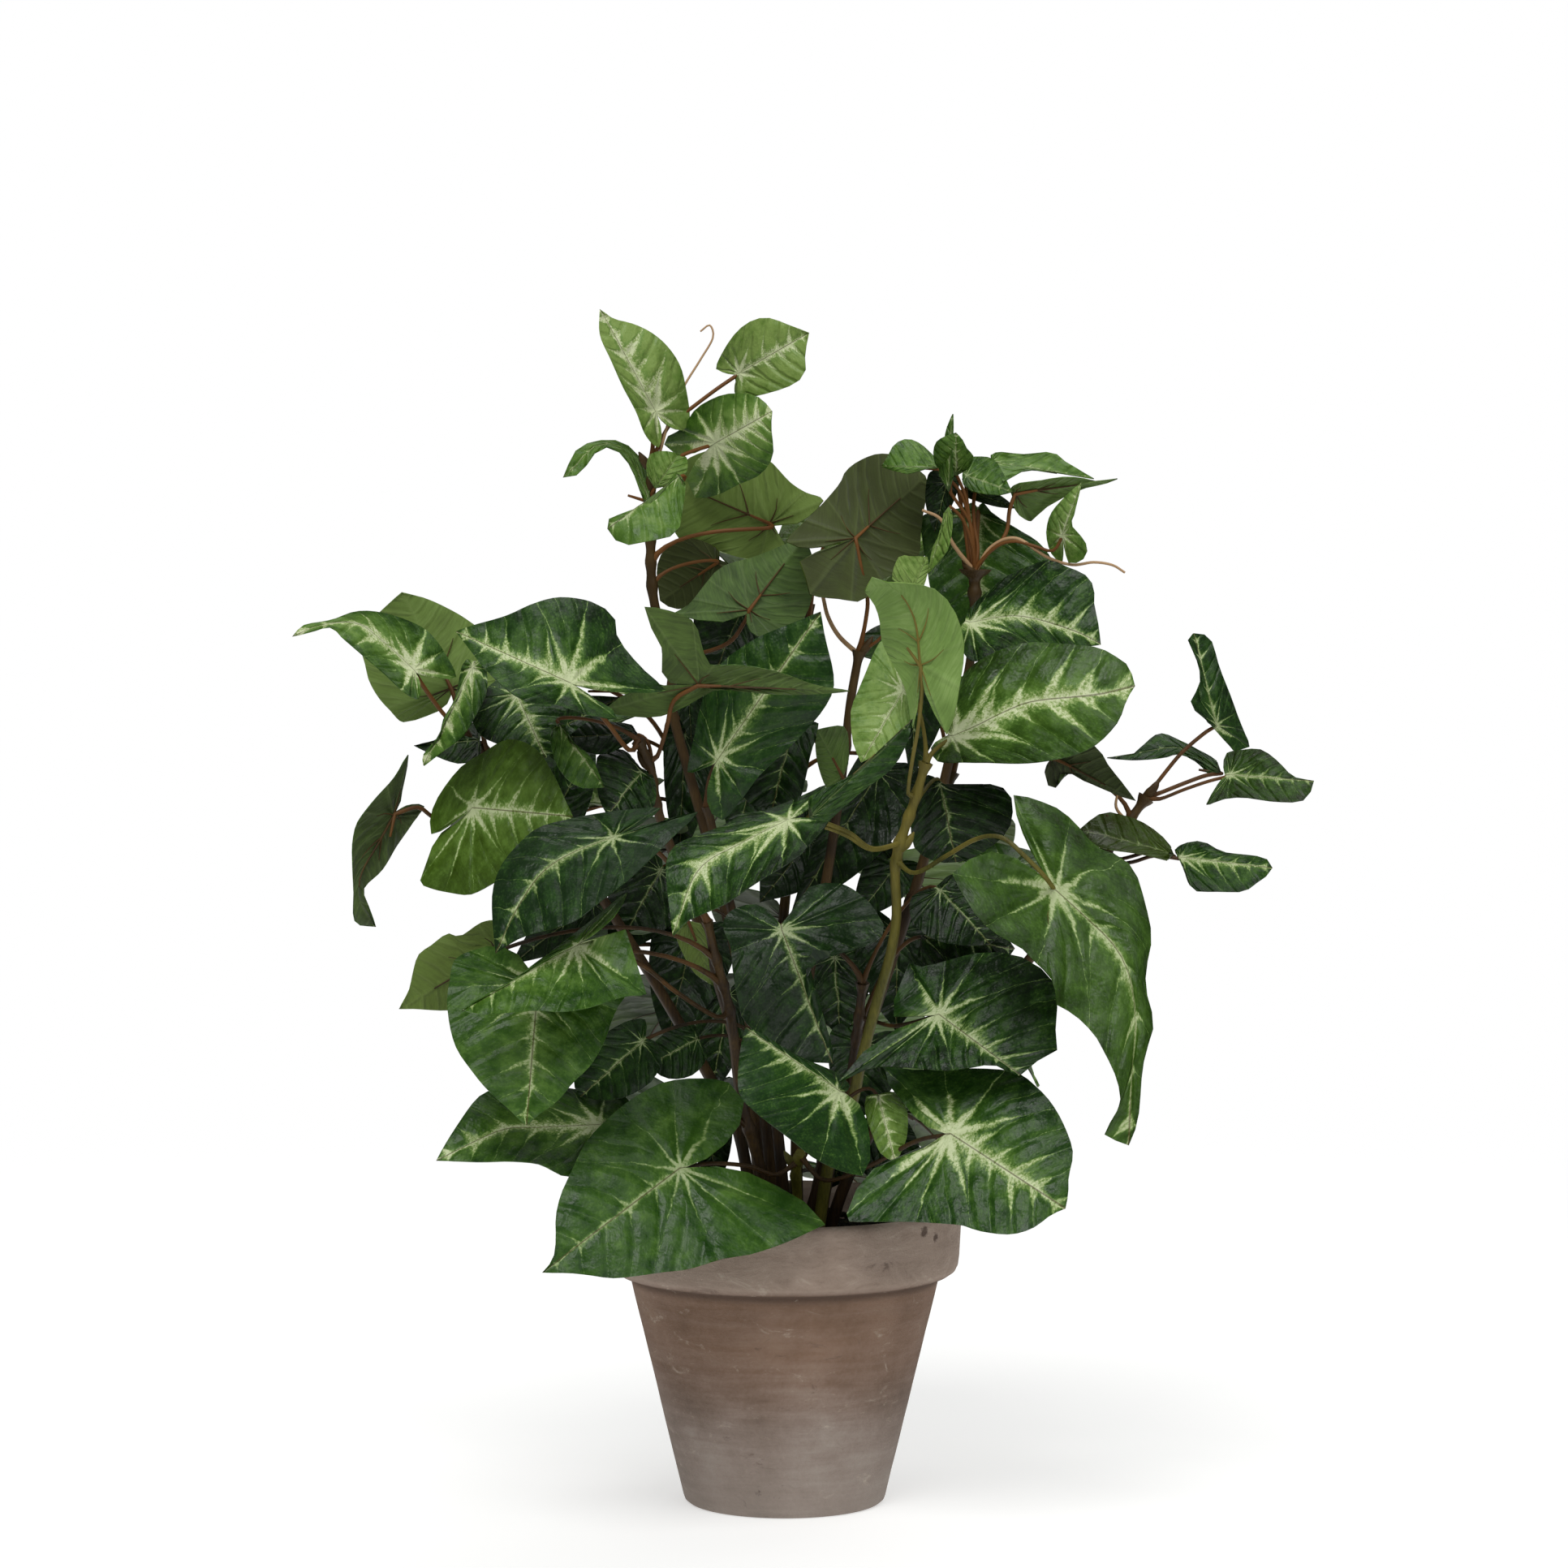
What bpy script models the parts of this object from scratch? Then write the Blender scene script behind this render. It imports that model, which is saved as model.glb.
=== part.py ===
"""Potted syngonium: a clay pot filled with dark soil, and fourteen leafy stems that fan out of it.

Leaves are drawn the way they look from the front: each has its joint and its tip as (x, z, depth), the angle
its blade is turned about its midrib, and its margin as points (x, z), all in millimetres. A point (x, z) is
where the leaf shows against the plane through the pot's axis, and the blade stands on that line of sight at
its own depth, so the outlines keep their place whatever the depth.
"""
import math

import bmesh
import bpy
import numpy as np
from mathutils import Vector
from mathutils.bvhtree import BVHTree

MM = 0.001
EYE = np.array([0.0, -1600.0, 324.0])   # the front viewpoint, mm

POT_RIM_R, POT_RIM_TOP, POT_COLLAR = 57.5, 96.4, 22.0
POT_WALL, POT_FLOOR = 4.5, 6.0
POT_SIDES = 30
SOIL_TOP, SOIL_BUMP, SOIL_GAP = 87.0, 1.6, 0.3
SOIL_BOTTOM = 7.6
HOLE_GAP, STEM_DEPTH = 0.45, 24.0
STEM_R0, STEM_R1 = 2.3, 1.7             # stem radius at the soil and at its last fork
PETIOLE_R, BUD_R, TENDRIL_R = 1.0, 1.6, 0.55
BLADE = 0.7                             # blade thickness
CLEAR = 0.45                            # least air between things of different stems

# Ways a leaf stalk may bow out of its straight way, mm.
BENDS = ((0, 0, 0), (0, 0, -10), (0, 0, 10), (0, 10, 0), (0, -10, 0), (10, 0, 0), (-10, 0, 0), (0, 14, -14),
         (0, -14, -14), (0, 14, 14), (14, 0, -14), (-14, 0, -14), (0, 24, 0), (0, -24, 0), (0, 0, -24),
         (22, 0, 0), (-22, 0, 0))

# The half outline of a plain leaf: along the midrib, and out from it.
EDGE = ((1, 0), (.93, .12), (.80, .36), (.60, .66), (.36, .88), (.10, .99), (-.25, 1.0), (-.70, .92),
        (-1.0, .66), (-.80, .27), (-.10, 0))

# Where each stem leaves the soil (x, y), and the points it passes as (x, z, depth).
STEMS = {
    "a": ((-3, -.5), [(-7, 130, 2), (-14, 170, 6), (-25, 215, 8), (-36, 255, 6), (-36, 267, 5), (-38.6, 279, 4), (-41.6, 289, 3), (-42.8, 299, 2.5), (-43, 318, 0), (-42.5, 336, -3)]),
    "b": ((-6.5, -7), [(-11, 125, -12), (-19, 160, -18), (-31, 196, -28), (-41, 224, -38), (-43, 237, -42), (-47, 246, -46)]),
    "c": ((4, -.5), [(4, 125, 4), (7, 165, 8), (14, 205, 6), (19, 240, 0), (21, 258, -4), (24, 275, -6)]),
    "d": ((11, -13), [(15, 113, -18), (22, 130, -25), (24, 140, -28), (30, 163, -34), (34, 177, -38), (36, 190, -41),
                      (35.5, 205, -44), (38, 216, -46), (41.5, 226, -48), (45.3, 239, -50)]),
    "e": ((7.5, -7), [(14, 112, -8), (20, 130, -13), (24, 157, -25), (25, 168, -29)]),
    "f": ((11.5, -.5), [(18, 125, 4), (31, 165, 6), (44, 205, 4), (54, 245, 0), (60, 275, -2), (61, 301, -3)]),
    "g": ((-10, -.5), [(-15, 120, 1), (-24, 137, 2), (-40, 165, 2), (-62, 200, -2), (-84, 228, -8), (-104, 250, -12)]),
    "h": ((-3, -13), [(-9, 112, -20), (-14, 130, -28), (-16.5, 150, -36), (-18, 160, -42), (-22, 175, -53), (-25, 188, -61)]),
    "i": ((.3, -7), [(-3, 125, -10), (-9, 160, -14), (-18, 195, -19), (-25, 225, -25)]),
    "j": ((15, -7), [(27, 118, -10), (50, 143, -10), (76, 172, -12), (100, 206, -14), (110.3, 219.7, -14.2), (116.2, 227.8, -13.2)]),
    "k": ((4, -14), [(4, 100, -17), (3.5, 106, -22), (5, 113, -30)]),
    "r1": ((-6, 6.5), [(-10, 125, 16), (-22, 170, 34), (-32, 215, 46), (-34, 250, 50)]),
    "r2": ((1.5, 6.5), [(-4, 125, 18), (-2, 170, 38), (2, 215, 54), (6, 262, 58), (8, 290, 58)]),
    "r3": ((9, 6.5), [(16, 125, 16), (30, 165, 32), (44, 205, 44), (54, 236, 48)]),
}

# Forks that carry a bud stub, as (stem, x, z, depth, sideways lean).
BUDS = (("a", -42.5, 333, -3, -1), ("b", -43, 237, -42, -1), ("c", 24, 274, -6, 1), ("d", 37.2, 211, -45, 1),
        ("f", 61, 299, -3, -1), ("j", 107.6, 216.6, -14.3, -1), ("j", 116, 228, -13, 1), ("k", 4, 108, -24, -1))

# Fine tendrils and bare twigs, as (stem, radius, points (x, z, depth)).
TENDRILS = (
    ("a", .6, [(-42.3, 330, -2), (-36, 352, 0), (-32, 360, 1), (-27, 368, 2), (-23, 375, 3), (-24, 379, 4), (-27, 377, 4)]),
    ("f", .8, [(61, 300, -3), (66, 308, -5), (74, 311, -9), (84, 305, -11), (92, 302.5, -10), (99, 303.3, -9), (105, 302.4, -8), (109, 300, -7)]),
    ("f", .9, [(61, 300, -3), (54, 309, -7), (50, 317, -8), (44, 320, -8)]),
    ("j", .7, [(110, 220, -14), (106.5, 224.6, -15.6), (107.2, 230, -16.3)]),
    ("c", 1.0, [(24, 273.5, -6), (17.5, 279.5, -3), (13.8, 286, 0), (12, 293, 2), (9, 300, 4)]),
)

# Drawn leaves: joint, tip, turn, the margin's two sides from the tip to the notch, and the shape.
# Plain leaves give a half width and a lobe length for each side in place of a margin.
LEAVES = {
"a": [
    ("A1", (-41.5, 351.5, -6), (-59, 384, -14), 43,
     [(-59, 376), (-55.5, 368), (-51.5, 359), (-47.5, 351.5), (-44.5, 344), (-40.5, 340), (-39.5, 345)],
     [(-54.5, 381), (-48.5, 379.4), (-42.5, 376.5), (-37.3, 372), (-33.5, 366), (-31.5, 358), (-30.5, 349),
     (-33, 345.5), (-37.5, 347)],
     dict(fold=.3, arch=3)),
    ("A2", (-14.6, 363.7, 5), (7.7, 376.6, -3), -15,
     [(1, 379.2), (-5.3, 381.4), (-10.5, 380.5), (-14.8, 377.5), (-18.2, 373.2), (-21.3, 367.5),
     (-21.9, 365), (-19, 363.8)],
     [(6.4, 369.7), (6.7, 364.5), (4.2, 361), (0, 359), (-6, 357.2), (-14, 355.6), (-16, 358),
     (-15.6, 361.5)],
     dict(fold=.1, arch=2, via=[(-37, 347, 2), (-30, 352.5, 3), (-22, 358.5, 4)])),
    ("A3", (-22, 341.5, -8), (-4, 351.6, -26), -10,
     [(-8.7, 356.3), (-17.8, 357.2), (-24.3, 355), (-29, 351.6), (-33, 345.5), (-36.4, 344.6),
     (-38.5, 341), (-35.5, 337.7), (-29.5, 338)],
     [(-4.4, 346.4), (-3.7, 338.6), (-5.3, 334.3), (-8.7, 330.8), (-14.8, 328.2), (-21.7, 324.8),
     (-28.6, 324), (-31, 327), (-31, 332), (-28, 336)],
     dict(fold=-.1, arch=3)),
    ("A4", (-43.5, 323, -4), (-71, 330.5, -10), 40,
     [(-69.5, 334), (-68, 337.5), (-65.5, 340.5), (-62, 341.5), (-58, 342.4), (-53, 342.1), (-50, 340.5),
     (-47, 337.5), (-44.5, 334), (-43, 329)],
     [(-68, 330.5), (-65, 332.5), (-62.5, 335.5), (-60, 339), (-57, 340), (-53, 338.5), (-49.5, 334),
     (-47, 328), (-45, 322.5)],
     dict(fold=.1, arch=0, wave=0, cols=(6, 1, 1), mid=[(-46.5, 331), (-50.5, 338), (-56, 341.3),
          (-62, 339.6), (-67, 334)])),
    ("A5", (-33.5, 331, -13), (-56.7, 314, -24), 35,
     [(-52.4, 309), (-44.2, 310), (-34.7, 312.7), (-32.7, 320.4), (-31.8, 328)],
     [(-56.7, 316.8), (-52, 318.8), (-47.6, 320.4), (-43.3, 321.5), (-38.5, 326.5), (-35, 332)],
     dict(fold=-.3, arch=2)),
    ("A5b", (-41.5, 327, -6), (-34, 338, -3), 10,
     [(-38, 338.8), (-43.3, 337.7), (-44, 331)],
     [(-31.5, 337), (-31.5, 332), (-36, 328)],
     dict(small=1)),
    ("A6", (-4.8, 315.7, 4), (-38, 330, 14), 172,
     [(-30, 337), (-18, 340), (-8, 337.5), (-4, 335), (1.6, 329), (6.8, 325.6), (12.4, 323), (5, 316),
     (0, 315.5)],
     [(-37, 318), (-33, 310), (-25, 308.5), (-15, 305), (-7, 304.5), (0, 307.5), (-2, 312)],
     dict(fold=.1)),
    ("A7", (-22.1, 303, 12), (-40, 291, 18), 170,
     [(-41, 302), (-37, 309), (-30, 311), (-22, 308)],
     [(-36, 288.5), (-30, 289), (-22, 295), (-18, 302)],
     dict()),
    ("B1", (-11.5, 288, -30), (6, 311, -12), -172,
     [(9, 305), (10, 297), (8, 290), (6, 285), (-1, 281), (-9, 279.5), (-12, 283)],
     [(0, 309), (-10, 305), (-20, 302), (-25, 297), (-31, 289.5), (-36, 286.8), (-26, 284.5), (-16, 284.5)],
     dict(fold=.1, via=[(-28, 274, -8), (-18, 277.5, -20), (-13, 284, -28)])),
],
"b": [
    ("D1", (-69, 264.5, -72), (-105.5, 281, -60), 40,
     [(-102, 276.5), (-97, 270), (-91, 264), (-86.5, 260.5), (-80.5, 258), (-73, 257.5), (-64, 254.5),
     (-54, 253), (-54, 255), (-61, 259.5)],
     [(-100, 283), (-89.5, 286), (-80.5, 290), (-72, 292), (-62, 290.5), (-55, 286), (-54, 280),
     (-50.5, 274.5), (-44, 267.5), (-38, 262), (-48, 261.5), (-58, 262)],
     dict(fold=.1, arch=6, cup=-4, via=[(-50, 243, -50), (-58, 253, -60), (-66, 261.5, -69)])),
    ("C18", (-27.5, 264, -52), (21, 262, -60), -150,
     [(10, 261), (-3, 261), (-15, 262), (-23, 262.2), (-30, 258), (-40, 253.8), (-50, 254), (-58, 256),
     (-50, 261.5), (-42, 263.5)],
     [(10, 264), (0, 267.5), (-8, 269.5), (-16, 270.5), (-24, 270.5), (-26.5, 276), (-29, 284),
     (-36, 287.5), (-45, 289), (-44.5, 285), (-39.8, 277), (-38.6, 269.5), (-41, 265.5)],
     dict(fold=.1, arch=3, roll=0, via=[(-41, 241, -43), (-38, 250, -46), (-35.5, 259, -50)])),
    ("D32", (-46, 236, -42), (-57, 222, -50), 20,
     [(-50, 220), (-42, 225), (-42, 234)],
     [(-60, 229), (-60, 241.5), (-52, 243)],
     dict(small=1)),
    ("D33", (-72.4, 251.6, -47.4), (-58, 231, -54), -15,
     [(-62.5, 241), (-68.5, 246), (-70.5, 251)],
     [(-66, 231), (-72, 236), (-75, 244), (-75, 250)],
     dict(small=1)),
    ("D34", (-47.5, 248.3, -40), (-70, 247, -30), 40,
     [(-63, 242), (-56, 242.3), (-49, 246)],
     [(-63, 252), (-56, 252), (-49, 251)],
     dict(small=1)),
],
"c": [
    ("C1", (22.5, 311, -10), (45, 331, 14), -170,
     [(46, 327), (44.5, 320), (43.5, 312), (43, 306), (38, 301), (30, 297), (25, 291), (18, 291.5),
     (8, 293), (6.5, 299), (5, 304)],
     [(38, 336.5), (30, 338), (23, 335.3), (19.2, 332), (18, 329), (12.5, 322.5), (6, 316), (.5, 309.8),
     (9, 307.8)],
     dict(fold=.1, arch=3, via=[(26, 285, -9), (26.5, 292, -10), (24.5, 301, -11)])),
    ("C15", (40.5, 293.6, -16.6), (45.5, 305, -12), 10,
     [(40, 305.2), (36.5, 305), (34.5, 298)],
     [(46, 303), (45.5, 299), (44, 295)],
     dict(small=1, via=[(29, 277.5, -8), (35, 284, -12)])),
    ("D36", (18.6, 234.6, -12.6), (10.5, 249.5, -16), 165,
     [(9.8, 245), (10.8, 238), (13.4, 231), (17, 230.5)],
     [(15, 250.5), (19.8, 250), (20.5, 240)],
     dict(small=1)),
    ("D37", (3, 252, -10), (-4, 224, -20), 10,
     [(4, 226), (6.5, 233), (8.3, 242), (10.8, 251.5)],
     [(-13, 227), (-14, 240), (-8, 250)],
     dict(small=1, via=[(15.5, 243.5, -6), (8, 247, -9)])),
],
"d": [
    ("C14", (43.5, 270.5, -66), (25.5, 294, -74), 155,
     [(28.8, 289.5), (30.4, 284.5), (31.2, 278), (34.5, 271), (38, 264.5), (39.8, 258), (41.2, 250),
     (42.8, 258)],
     [(28, 298.5), (32, 297), (41.5, 296.5), (48.5, 294.5), (53, 290), (56, 284), (57.6, 277), (57.2, 270),
     (56, 263), (54.6, 254.5), (52, 248), (49.5, 252), (46.5, 258), (44.8, 262.5)],
     dict(fold=.1, arch=5, mid=[(41.5, 285.7), (34.6, 295.3)], via=[(39.7, 229, -51), (41, 240, -56),
          (42.8, 250, -60), (44, 262, -64)])),
    ("C16", (38, 262, -48), (24.5, 239, -56), 12,
     [(31, 242.5), (36.5, 247), (40, 252), (42, 259), (41, 265)],
     [(22, 245), (21.4, 250), (21.2, 256), (23.5, 262), (26, 268), (29, 275), (32, 279), (36, 275)],
     dict(fold=.1)),
    ("C13", (54, 247.5, -44), (112.3, 263.5, -56), -37,
     [(110.2, 270), (105, 273.7), (100, 276), (90, 277), (78, 277.5), (69.5, 275.3), (60, 270), (54, 262),
     (50, 254)],
     [(109.7, 259), (107.5, 253), (104, 248.5), (99.5, 244.5), (92.5, 241.3), (82, 239.2), (73.5, 238.7),
     (65, 239), (56.5, 239), (49, 239.5), (47, 244)],
     dict(fold=.2, arch=4, mid=[(62, 251), (70, 255), (80, 258.7), (100, 260.7)])),
    ("D10", (1, 220.5, -88), (-36, 183, -108), 38,
     [(-32, 187.5), (-28, 189.5), (-19, 193.5), (-14, 197), (-6, 202.3), (0, 205.8), (5, 209.3), (10, 215),
     (14, 220), (8, 221)],
     [(-37, 191), (-38, 200), (-38, 207.5), (-35, 212.5), (-28, 215.5), (-19, 219), (-14, 222.3),
     (-7, 223.5), (1, 226.3), (8, 229.5), (13.5, 231.8), (9, 225)],
     dict(fold=.2, arch=4, mid=[(-14, 213), (-28, 204)], via=[(28, 211, -58), (20, 215.5, -68),
          (12, 218.5, -78)])),
    ("D10b", (8, 221.5, -86), (41, 253, -78), 30,
     [(35, 243), (26, 237.3), (16, 232), (8, 228)],
     [(39.5, 246), (34.3, 237), (25, 230), (16.5, 222.5), (10, 216.5)],
     dict(small=1, wave=0, via=[(28, 211.4, -58), (21, 216.2, -68), (14, 219.2, -78)])),
    ("D23a", (87, 198, -80), (111, 115.3, -96), -20,
     [(113, 120), (114.3, 127), (114.8, 136), (116, 144.5), (118.6, 153), (118.3, 158), (116.4, 165),
     (116.2, 172), (118, 182), (117, 189), (115, 197), (112, 205), (106, 209.5), (99.8, 212), (95, 217.6),
     (88.5, 223.7), (80, 227.2), (73.5, 228.5), (74.8, 221), (78, 213), (82.5, 205)],
     [(103.2, 118.8), (106, 124), (108.4, 130), (106.6, 138), (103, 145.5), (99.4, 151.7), (92.5, 158.3),
     (87.8, 160.5), (87, 166.5), (85, 170.5), (80, 175.3), (75.5, 179.8), (70, 182.5), (63.4, 187.6),
     (59, 193.7), (53.8, 203.2), (56.5, 206), (65, 210.2), (73.8, 208.4), (80, 204.5)],
     dict(fold=0, arch=5, mid=[(98, 188), (106, 180), (111, 170), (113, 155), (112, 140)],
          via=[(42, 203.5, -52), (52, 209, -64), (60, 213.7, -76), (66, 215.4, -83), (71, 214.3, -86),
          (76, 210, -88), (83, 203, -87)])),
    ("D28", (50, 232, -30), (55, 207, -36), 0,
     [(62, 209), (71, 216), (73.3, 223), (72, 229.5), (66, 232), (60, 231), (55, 230)],
     [(49, 207), (42, 211), (40.5, 220), (42, 230), (46, 235)],
     dict(small=1)),
],
"e": [
    ("D18", (17.5, 133, -62), (-12.7, 153.4, -72), 50,
     [(-14.5, 145), (-15, 133), (-11.5, 128), (-5, 122.5), (1, 118), (7, 113), (11.5, 110), (18, 107),
     (25, 105.5), (27.2, 108), (27.4, 114), (27, 121), (24, 128.5)],
     [(-8, 151.7), (2.5, 145.3), (11, 141.3), (17, 138.5), (21, 134.5)],
     dict(fold=-.2, arch=3)),
    ("D19", (-1, 185, -44), (15.3, 142, -60), -5,
     [(15.2, 147.3), (13, 155), (10.4, 164), (8.6, 171), (7, 177), (9.5, 178.7), (21, 178.5), (29, 181),
     (32.3, 185), (30, 190), (26, 195), (18, 200), (8, 199), (3, 192)],
     [(4, 143), (-6, 149), (-13.3, 156), (-15, 162), (-16.7, 171), (-17.5, 179.5), (-20, 187), (-16, 192),
     (-8, 193)],
     dict(fold=.1)),
    ("D20", (49.7, 157.7, -52), (75.8, 138, -68), -15,
     [(80, 141.5), (84, 144.5), (88.8, 147), (87.5, 151), (87.2, 156), (88, 162), (87.2, 168), (84.5, 171),
     (79, 175), (72, 177.5), (62, 177.5), (52, 175), (44.5, 173), (40, 174.3), (36.5, 164), (30, 157),
     (38, 157.2)],
     [(72.5, 139), (67, 141.5), (59, 140.3), (50.5, 139.5), (40, 140.5), (28, 140.5), (17.4, 135.8),
     (21, 141), (28, 148), (34, 152)],
     dict(fold=.1, via=[(29, 155.5, -25), (35, 154, -32), (43, 155.5, -43)])),
    ("D29", (50, 198, -36), (66, 180.5, -42), -10,
     [(69, 184), (68, 191), (62, 199), (54, 203)],
     [(58, 180), (48, 182), (41, 188), (41, 196)],
     dict(small=1)),
    ("D30", (44, 183, -28), (74, 179, -34), -20,
     [(70, 183.5), (60, 186), (50, 186)],
     [(70, 174), (60, 170), (50, 171), (43, 176)],
     dict(small=1)),
],
"f": [
    ("C2", (49, 333.5, -4), (31, 334, -8), 55,
     [(35, 332.6), (40, 331.5), (43, 333)],
     [(33, 337.2), (34.5, 340.2), (37.2, 342.3), (40.3, 342.5), (43.5, 341), (46.3, 338.5), (48.5, 336)],
     dict(arch=3, small=1, via=[(60.5, 308, -4), (59.3, 316, -4), (56, 326, -4)])),
    ("C3", (52.5, 326, -10), (53.8, 350.7, -14), -60,
     [(51.8, 346), (51, 341), (50, 336), (49.5, 331)],
     [(53.9, 346), (53.6, 341), (53.6, 336), (54, 331)],
     dict(small=1, wave=0, arch=1, via=[(60.5, 308, -4), (59.3, 316, -4)])),
    ("C4", (52.5, 321, -14), (46, 299.5, -20), 55,
     [(49.7, 304), (52.3, 307.6), (53.6, 314.4), (53.5, 319)],
     [(47.4, 307.6), (49.7, 312.8), (51, 319)],
     dict(small=1, wave=0, arch=1, via=[(60, 309, -6), (57, 317, -10)])),
    ("C5", (55, 331, -4), (54.8, 344.8, -18), -5,
     [(50, 343), (48, 341), (47.5, 337.5), (49, 333.5)],
     [(57, 342.4), (58.5, 339.3), (60.5, 337), (58.5, 333)],
     dict(small=1, wave=0, via=[(60.5, 308, -4), (59.3, 316, -4), (58, 324, -4)])),
    ("C6", (58, 331, 3), (72.8, 325.8, -6), -40,
     [(71, 329.5), (69, 333.5), (66.5, 336.5), (61, 337), (57, 336)],
     [(69, 324.8), (64, 325.2), (60, 326), (57, 328.5)],
     dict(small=1, wave=0, via=[(60.5, 308, -4), (59.3, 316, -4), (58.3, 324, -1)])),
    ("C7", (66, 335.5, 10), (99, 330, 6), -60,
     [(94, 333), (90, 335.2), (87, 337.8), (84, 338.5), (76, 337.8), (69.5, 338.5), (66, 337.5)],
     [(93, 331), (88, 331.8), (82, 332.6), (76.5, 332.6), (72, 330), (70, 329)],
     dict(fold=.1, arch=2, wave=0, small=1, via=[(61.8, 308, -1.2), (60.6, 316, 1.2), (61, 326, 5)])),
    ("C8", (74, 325.5, 4), (106.5, 330, 0), -135,
     [(103, 328.6), (95, 326.6), (88, 323.3), (83, 320.3), (79, 316.5), (75, 318.5), (73, 322)],
     [(100, 329.3), (95, 330.2), (90, 330.6), (85, 330.1), (80, 329.2), (75, 328.6), (72, 326.5)],
     dict(fold=-.1, arch=1, wave=0, via=[(65, 306, -3), (69, 309.5, -3), (71.3, 314, -1), (72, 320, 1)])),
    ("C9", (89, 312, -14), (95, 328.8, -20), -10,
     [(93.5, 322), (92.5, 317.5), (91.6, 315.3), (95, 311.5), (97, 308), (96.3, 305), (94.3, 303.4),
     (91, 303.2)],
     [(91.5, 326), (88, 322.5), (85, 318.5), (83.8, 313), (84.6, 308), (86.3, 305), (89, 303.3)],
     dict(small=1, wave=0, via=[(65, 306, -5), (69, 309, -7), (74, 310, -9), (80, 308.5, -11),
          (86, 307, -13)])),
    ("C11", (62, 319, 14), (63, 276, 8), 5,
     [(73, 283), (82, 292), (86, 302), (84.5, 306), (81, 310), (76, 313), (71, 316), (66, 319.5),
     (63.5, 322.5)],
     [(54, 280), (50, 287), (46.8, 294.5), (45.5, 302), (44, 311), (43.7, 317.8), (50, 319.5), (57, 320.8),
     (60, 322.5)],
     dict()),
    ("E21", (42.5, 268, 8), (40.5, 234, 6), 0, (11, 5), (4, 4), dict(wave=0)),
    ("E14", (52, 329, 0), (48, 313, 2), 0, (4, 6.5), (3, 3), dict(arch=1, wave=0)),
    ("E15", (60, 326, 6), (74, 320.5, 8), 0, (3, 2.5), (4, 4), dict(wave=0)),
    ("C12", (59.5, 284, -16), (101.4, 277, -28), -40,
     [(100.5, 284), (99.2, 290), (99, 295.5), (96, 299.5), (91, 301.5), (85, 304), (78, 302), (71, 298.7),
     (64, 293), (59, 288)],
     [(96, 276.3), (88, 276.3), (76, 275.3), (67, 273.6), (60.5, 271.5), (57, 275), (56, 281)],
     dict(fold=.3, arch=2, mid=[(75, 286), (92, 281.5)])),
],
"g": [
    ("D2", (-119.3, 268.9, -20), (-157.9, 279.5, -30), 40,
     [(-152, 281), (-145.5, 282.3), (-142, 279), (-135, 273), (-129, 268), (-122, 261.5), (-117.5, 259.5),
     (-117, 264)],
     [(-154.5, 283), (-149.5, 284), (-144.5, 285), (-138, 287.5), (-131, 287.5), (-122, 285),
     (-114.5, 281), (-109, 274), (-105.5, 266.5), (-110, 266), (-115.5, 267)],
     dict(fold=.2, arch=2, mid=[(-128, 277), (-137, 283.5), (-148, 283.3)], via=[(-109, 254, -13.5),
          (-115, 262, -17)])),
    ("D3", (-107, 263, 0), (-122.8, 293.6, 8), 170,
     [(-127, 290), (-133, 284), (-136, 277), (-134.5, 270), (-133.5, 265.5), (-130.5, 260),
     (-126.5, 255.5), (-122.5, 252), (-115, 254), (-109, 257)],
     [(-116, 292), (-109, 289), (-102, 285), (-95, 279), (-92, 270), (-95, 261), (-101, 258), (-104, 260)],
     dict(fold=.1)),
    ("D4", (-100, 270, -26), (-116, 238, -40), 60,
     [(-110, 242.5), (-103.5, 247.5), (-99, 254.5), (-96, 260.5), (-95.5, 266.5), (-97, 271.5)],
     [(-116, 241.5), (-111, 247.5), (-109.5, 253), (-106.5, 258), (-105, 262.5), (-104, 268.5),
     (-102, 272)],
     dict(fold=-.1)),
    ("D5", (-98, 246, -12), (-119, 244.5, -14), 50,
     [(-114, 242), (-108, 239.5), (-103.3, 238.8), (-98, 241)],
     [(-113, 246), (-105, 250), (-98, 252)],
     dict(small=1)),
    ("D6", (-86, 261, -22), (-77, 240.5, -28), -10,
     [(-71.5, 245), (-70, 254), (-73, 261), (-80, 265)],
     [(-84, 242), (-91, 244.5), (-98, 248), (-100.5, 255), (-95, 263.5), (-89, 267)],
     dict()),
    ("D7", (-100.3, 224.5, -34), (-68.2, 221.6, -58), -10,
     [(-71, 228), (-74.5, 235.5), (-80, 243.5), (-88.5, 246.5), (-97, 242), (-104, 237.5), (-110, 230),
     (-113.3, 223.5), (-113.6, 216), (-106, 220)],
     [(-75, 213), (-85, 205), (-93, 200.5), (-101, 196.5), (-107.5, 197), (-114, 198.5), (-117.2, 201),
     (-113.4, 211), (-112.8, 214.6), (-106, 218.8)],
     dict(fold=0)),
    ("D8", (-126, 222, -26), (-131.7, 186.2, -36), 125,
     [(-134, 193), (-135.3, 198.5), (-129.5, 204.3), (-125, 212), (-120, 219), (-116, 225), (-120, 225.6),
     (-123.3, 224.3)],
     [(-138.2, 187.6), (-138.8, 197), (-139, 206), (-139, 213), (-137.7, 219), (-134.5, 223.8),
     (-129.5, 229.8), (-125, 234.8), (-121, 241.5), (-122.5, 232), (-123.7, 226)],
     dict(fold=.1, arch=3, mid=[(-131.5, 212), (-136.6, 203), (-136.8, 194)], via=[(-99, 223, -14),
          (-108, 219.5, -18), (-113, 221.3, -21), (-118, 224.6, -24)])),
    ("E11", (-80, 246, 4), (-53, 260, 9), 0, (10, 12), (6, 6), dict()),
    ("E12", (-74, 222, 0), (-61, 247, 4), 0, (9, 9), (6, 6), dict()),
],
"h": [
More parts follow.
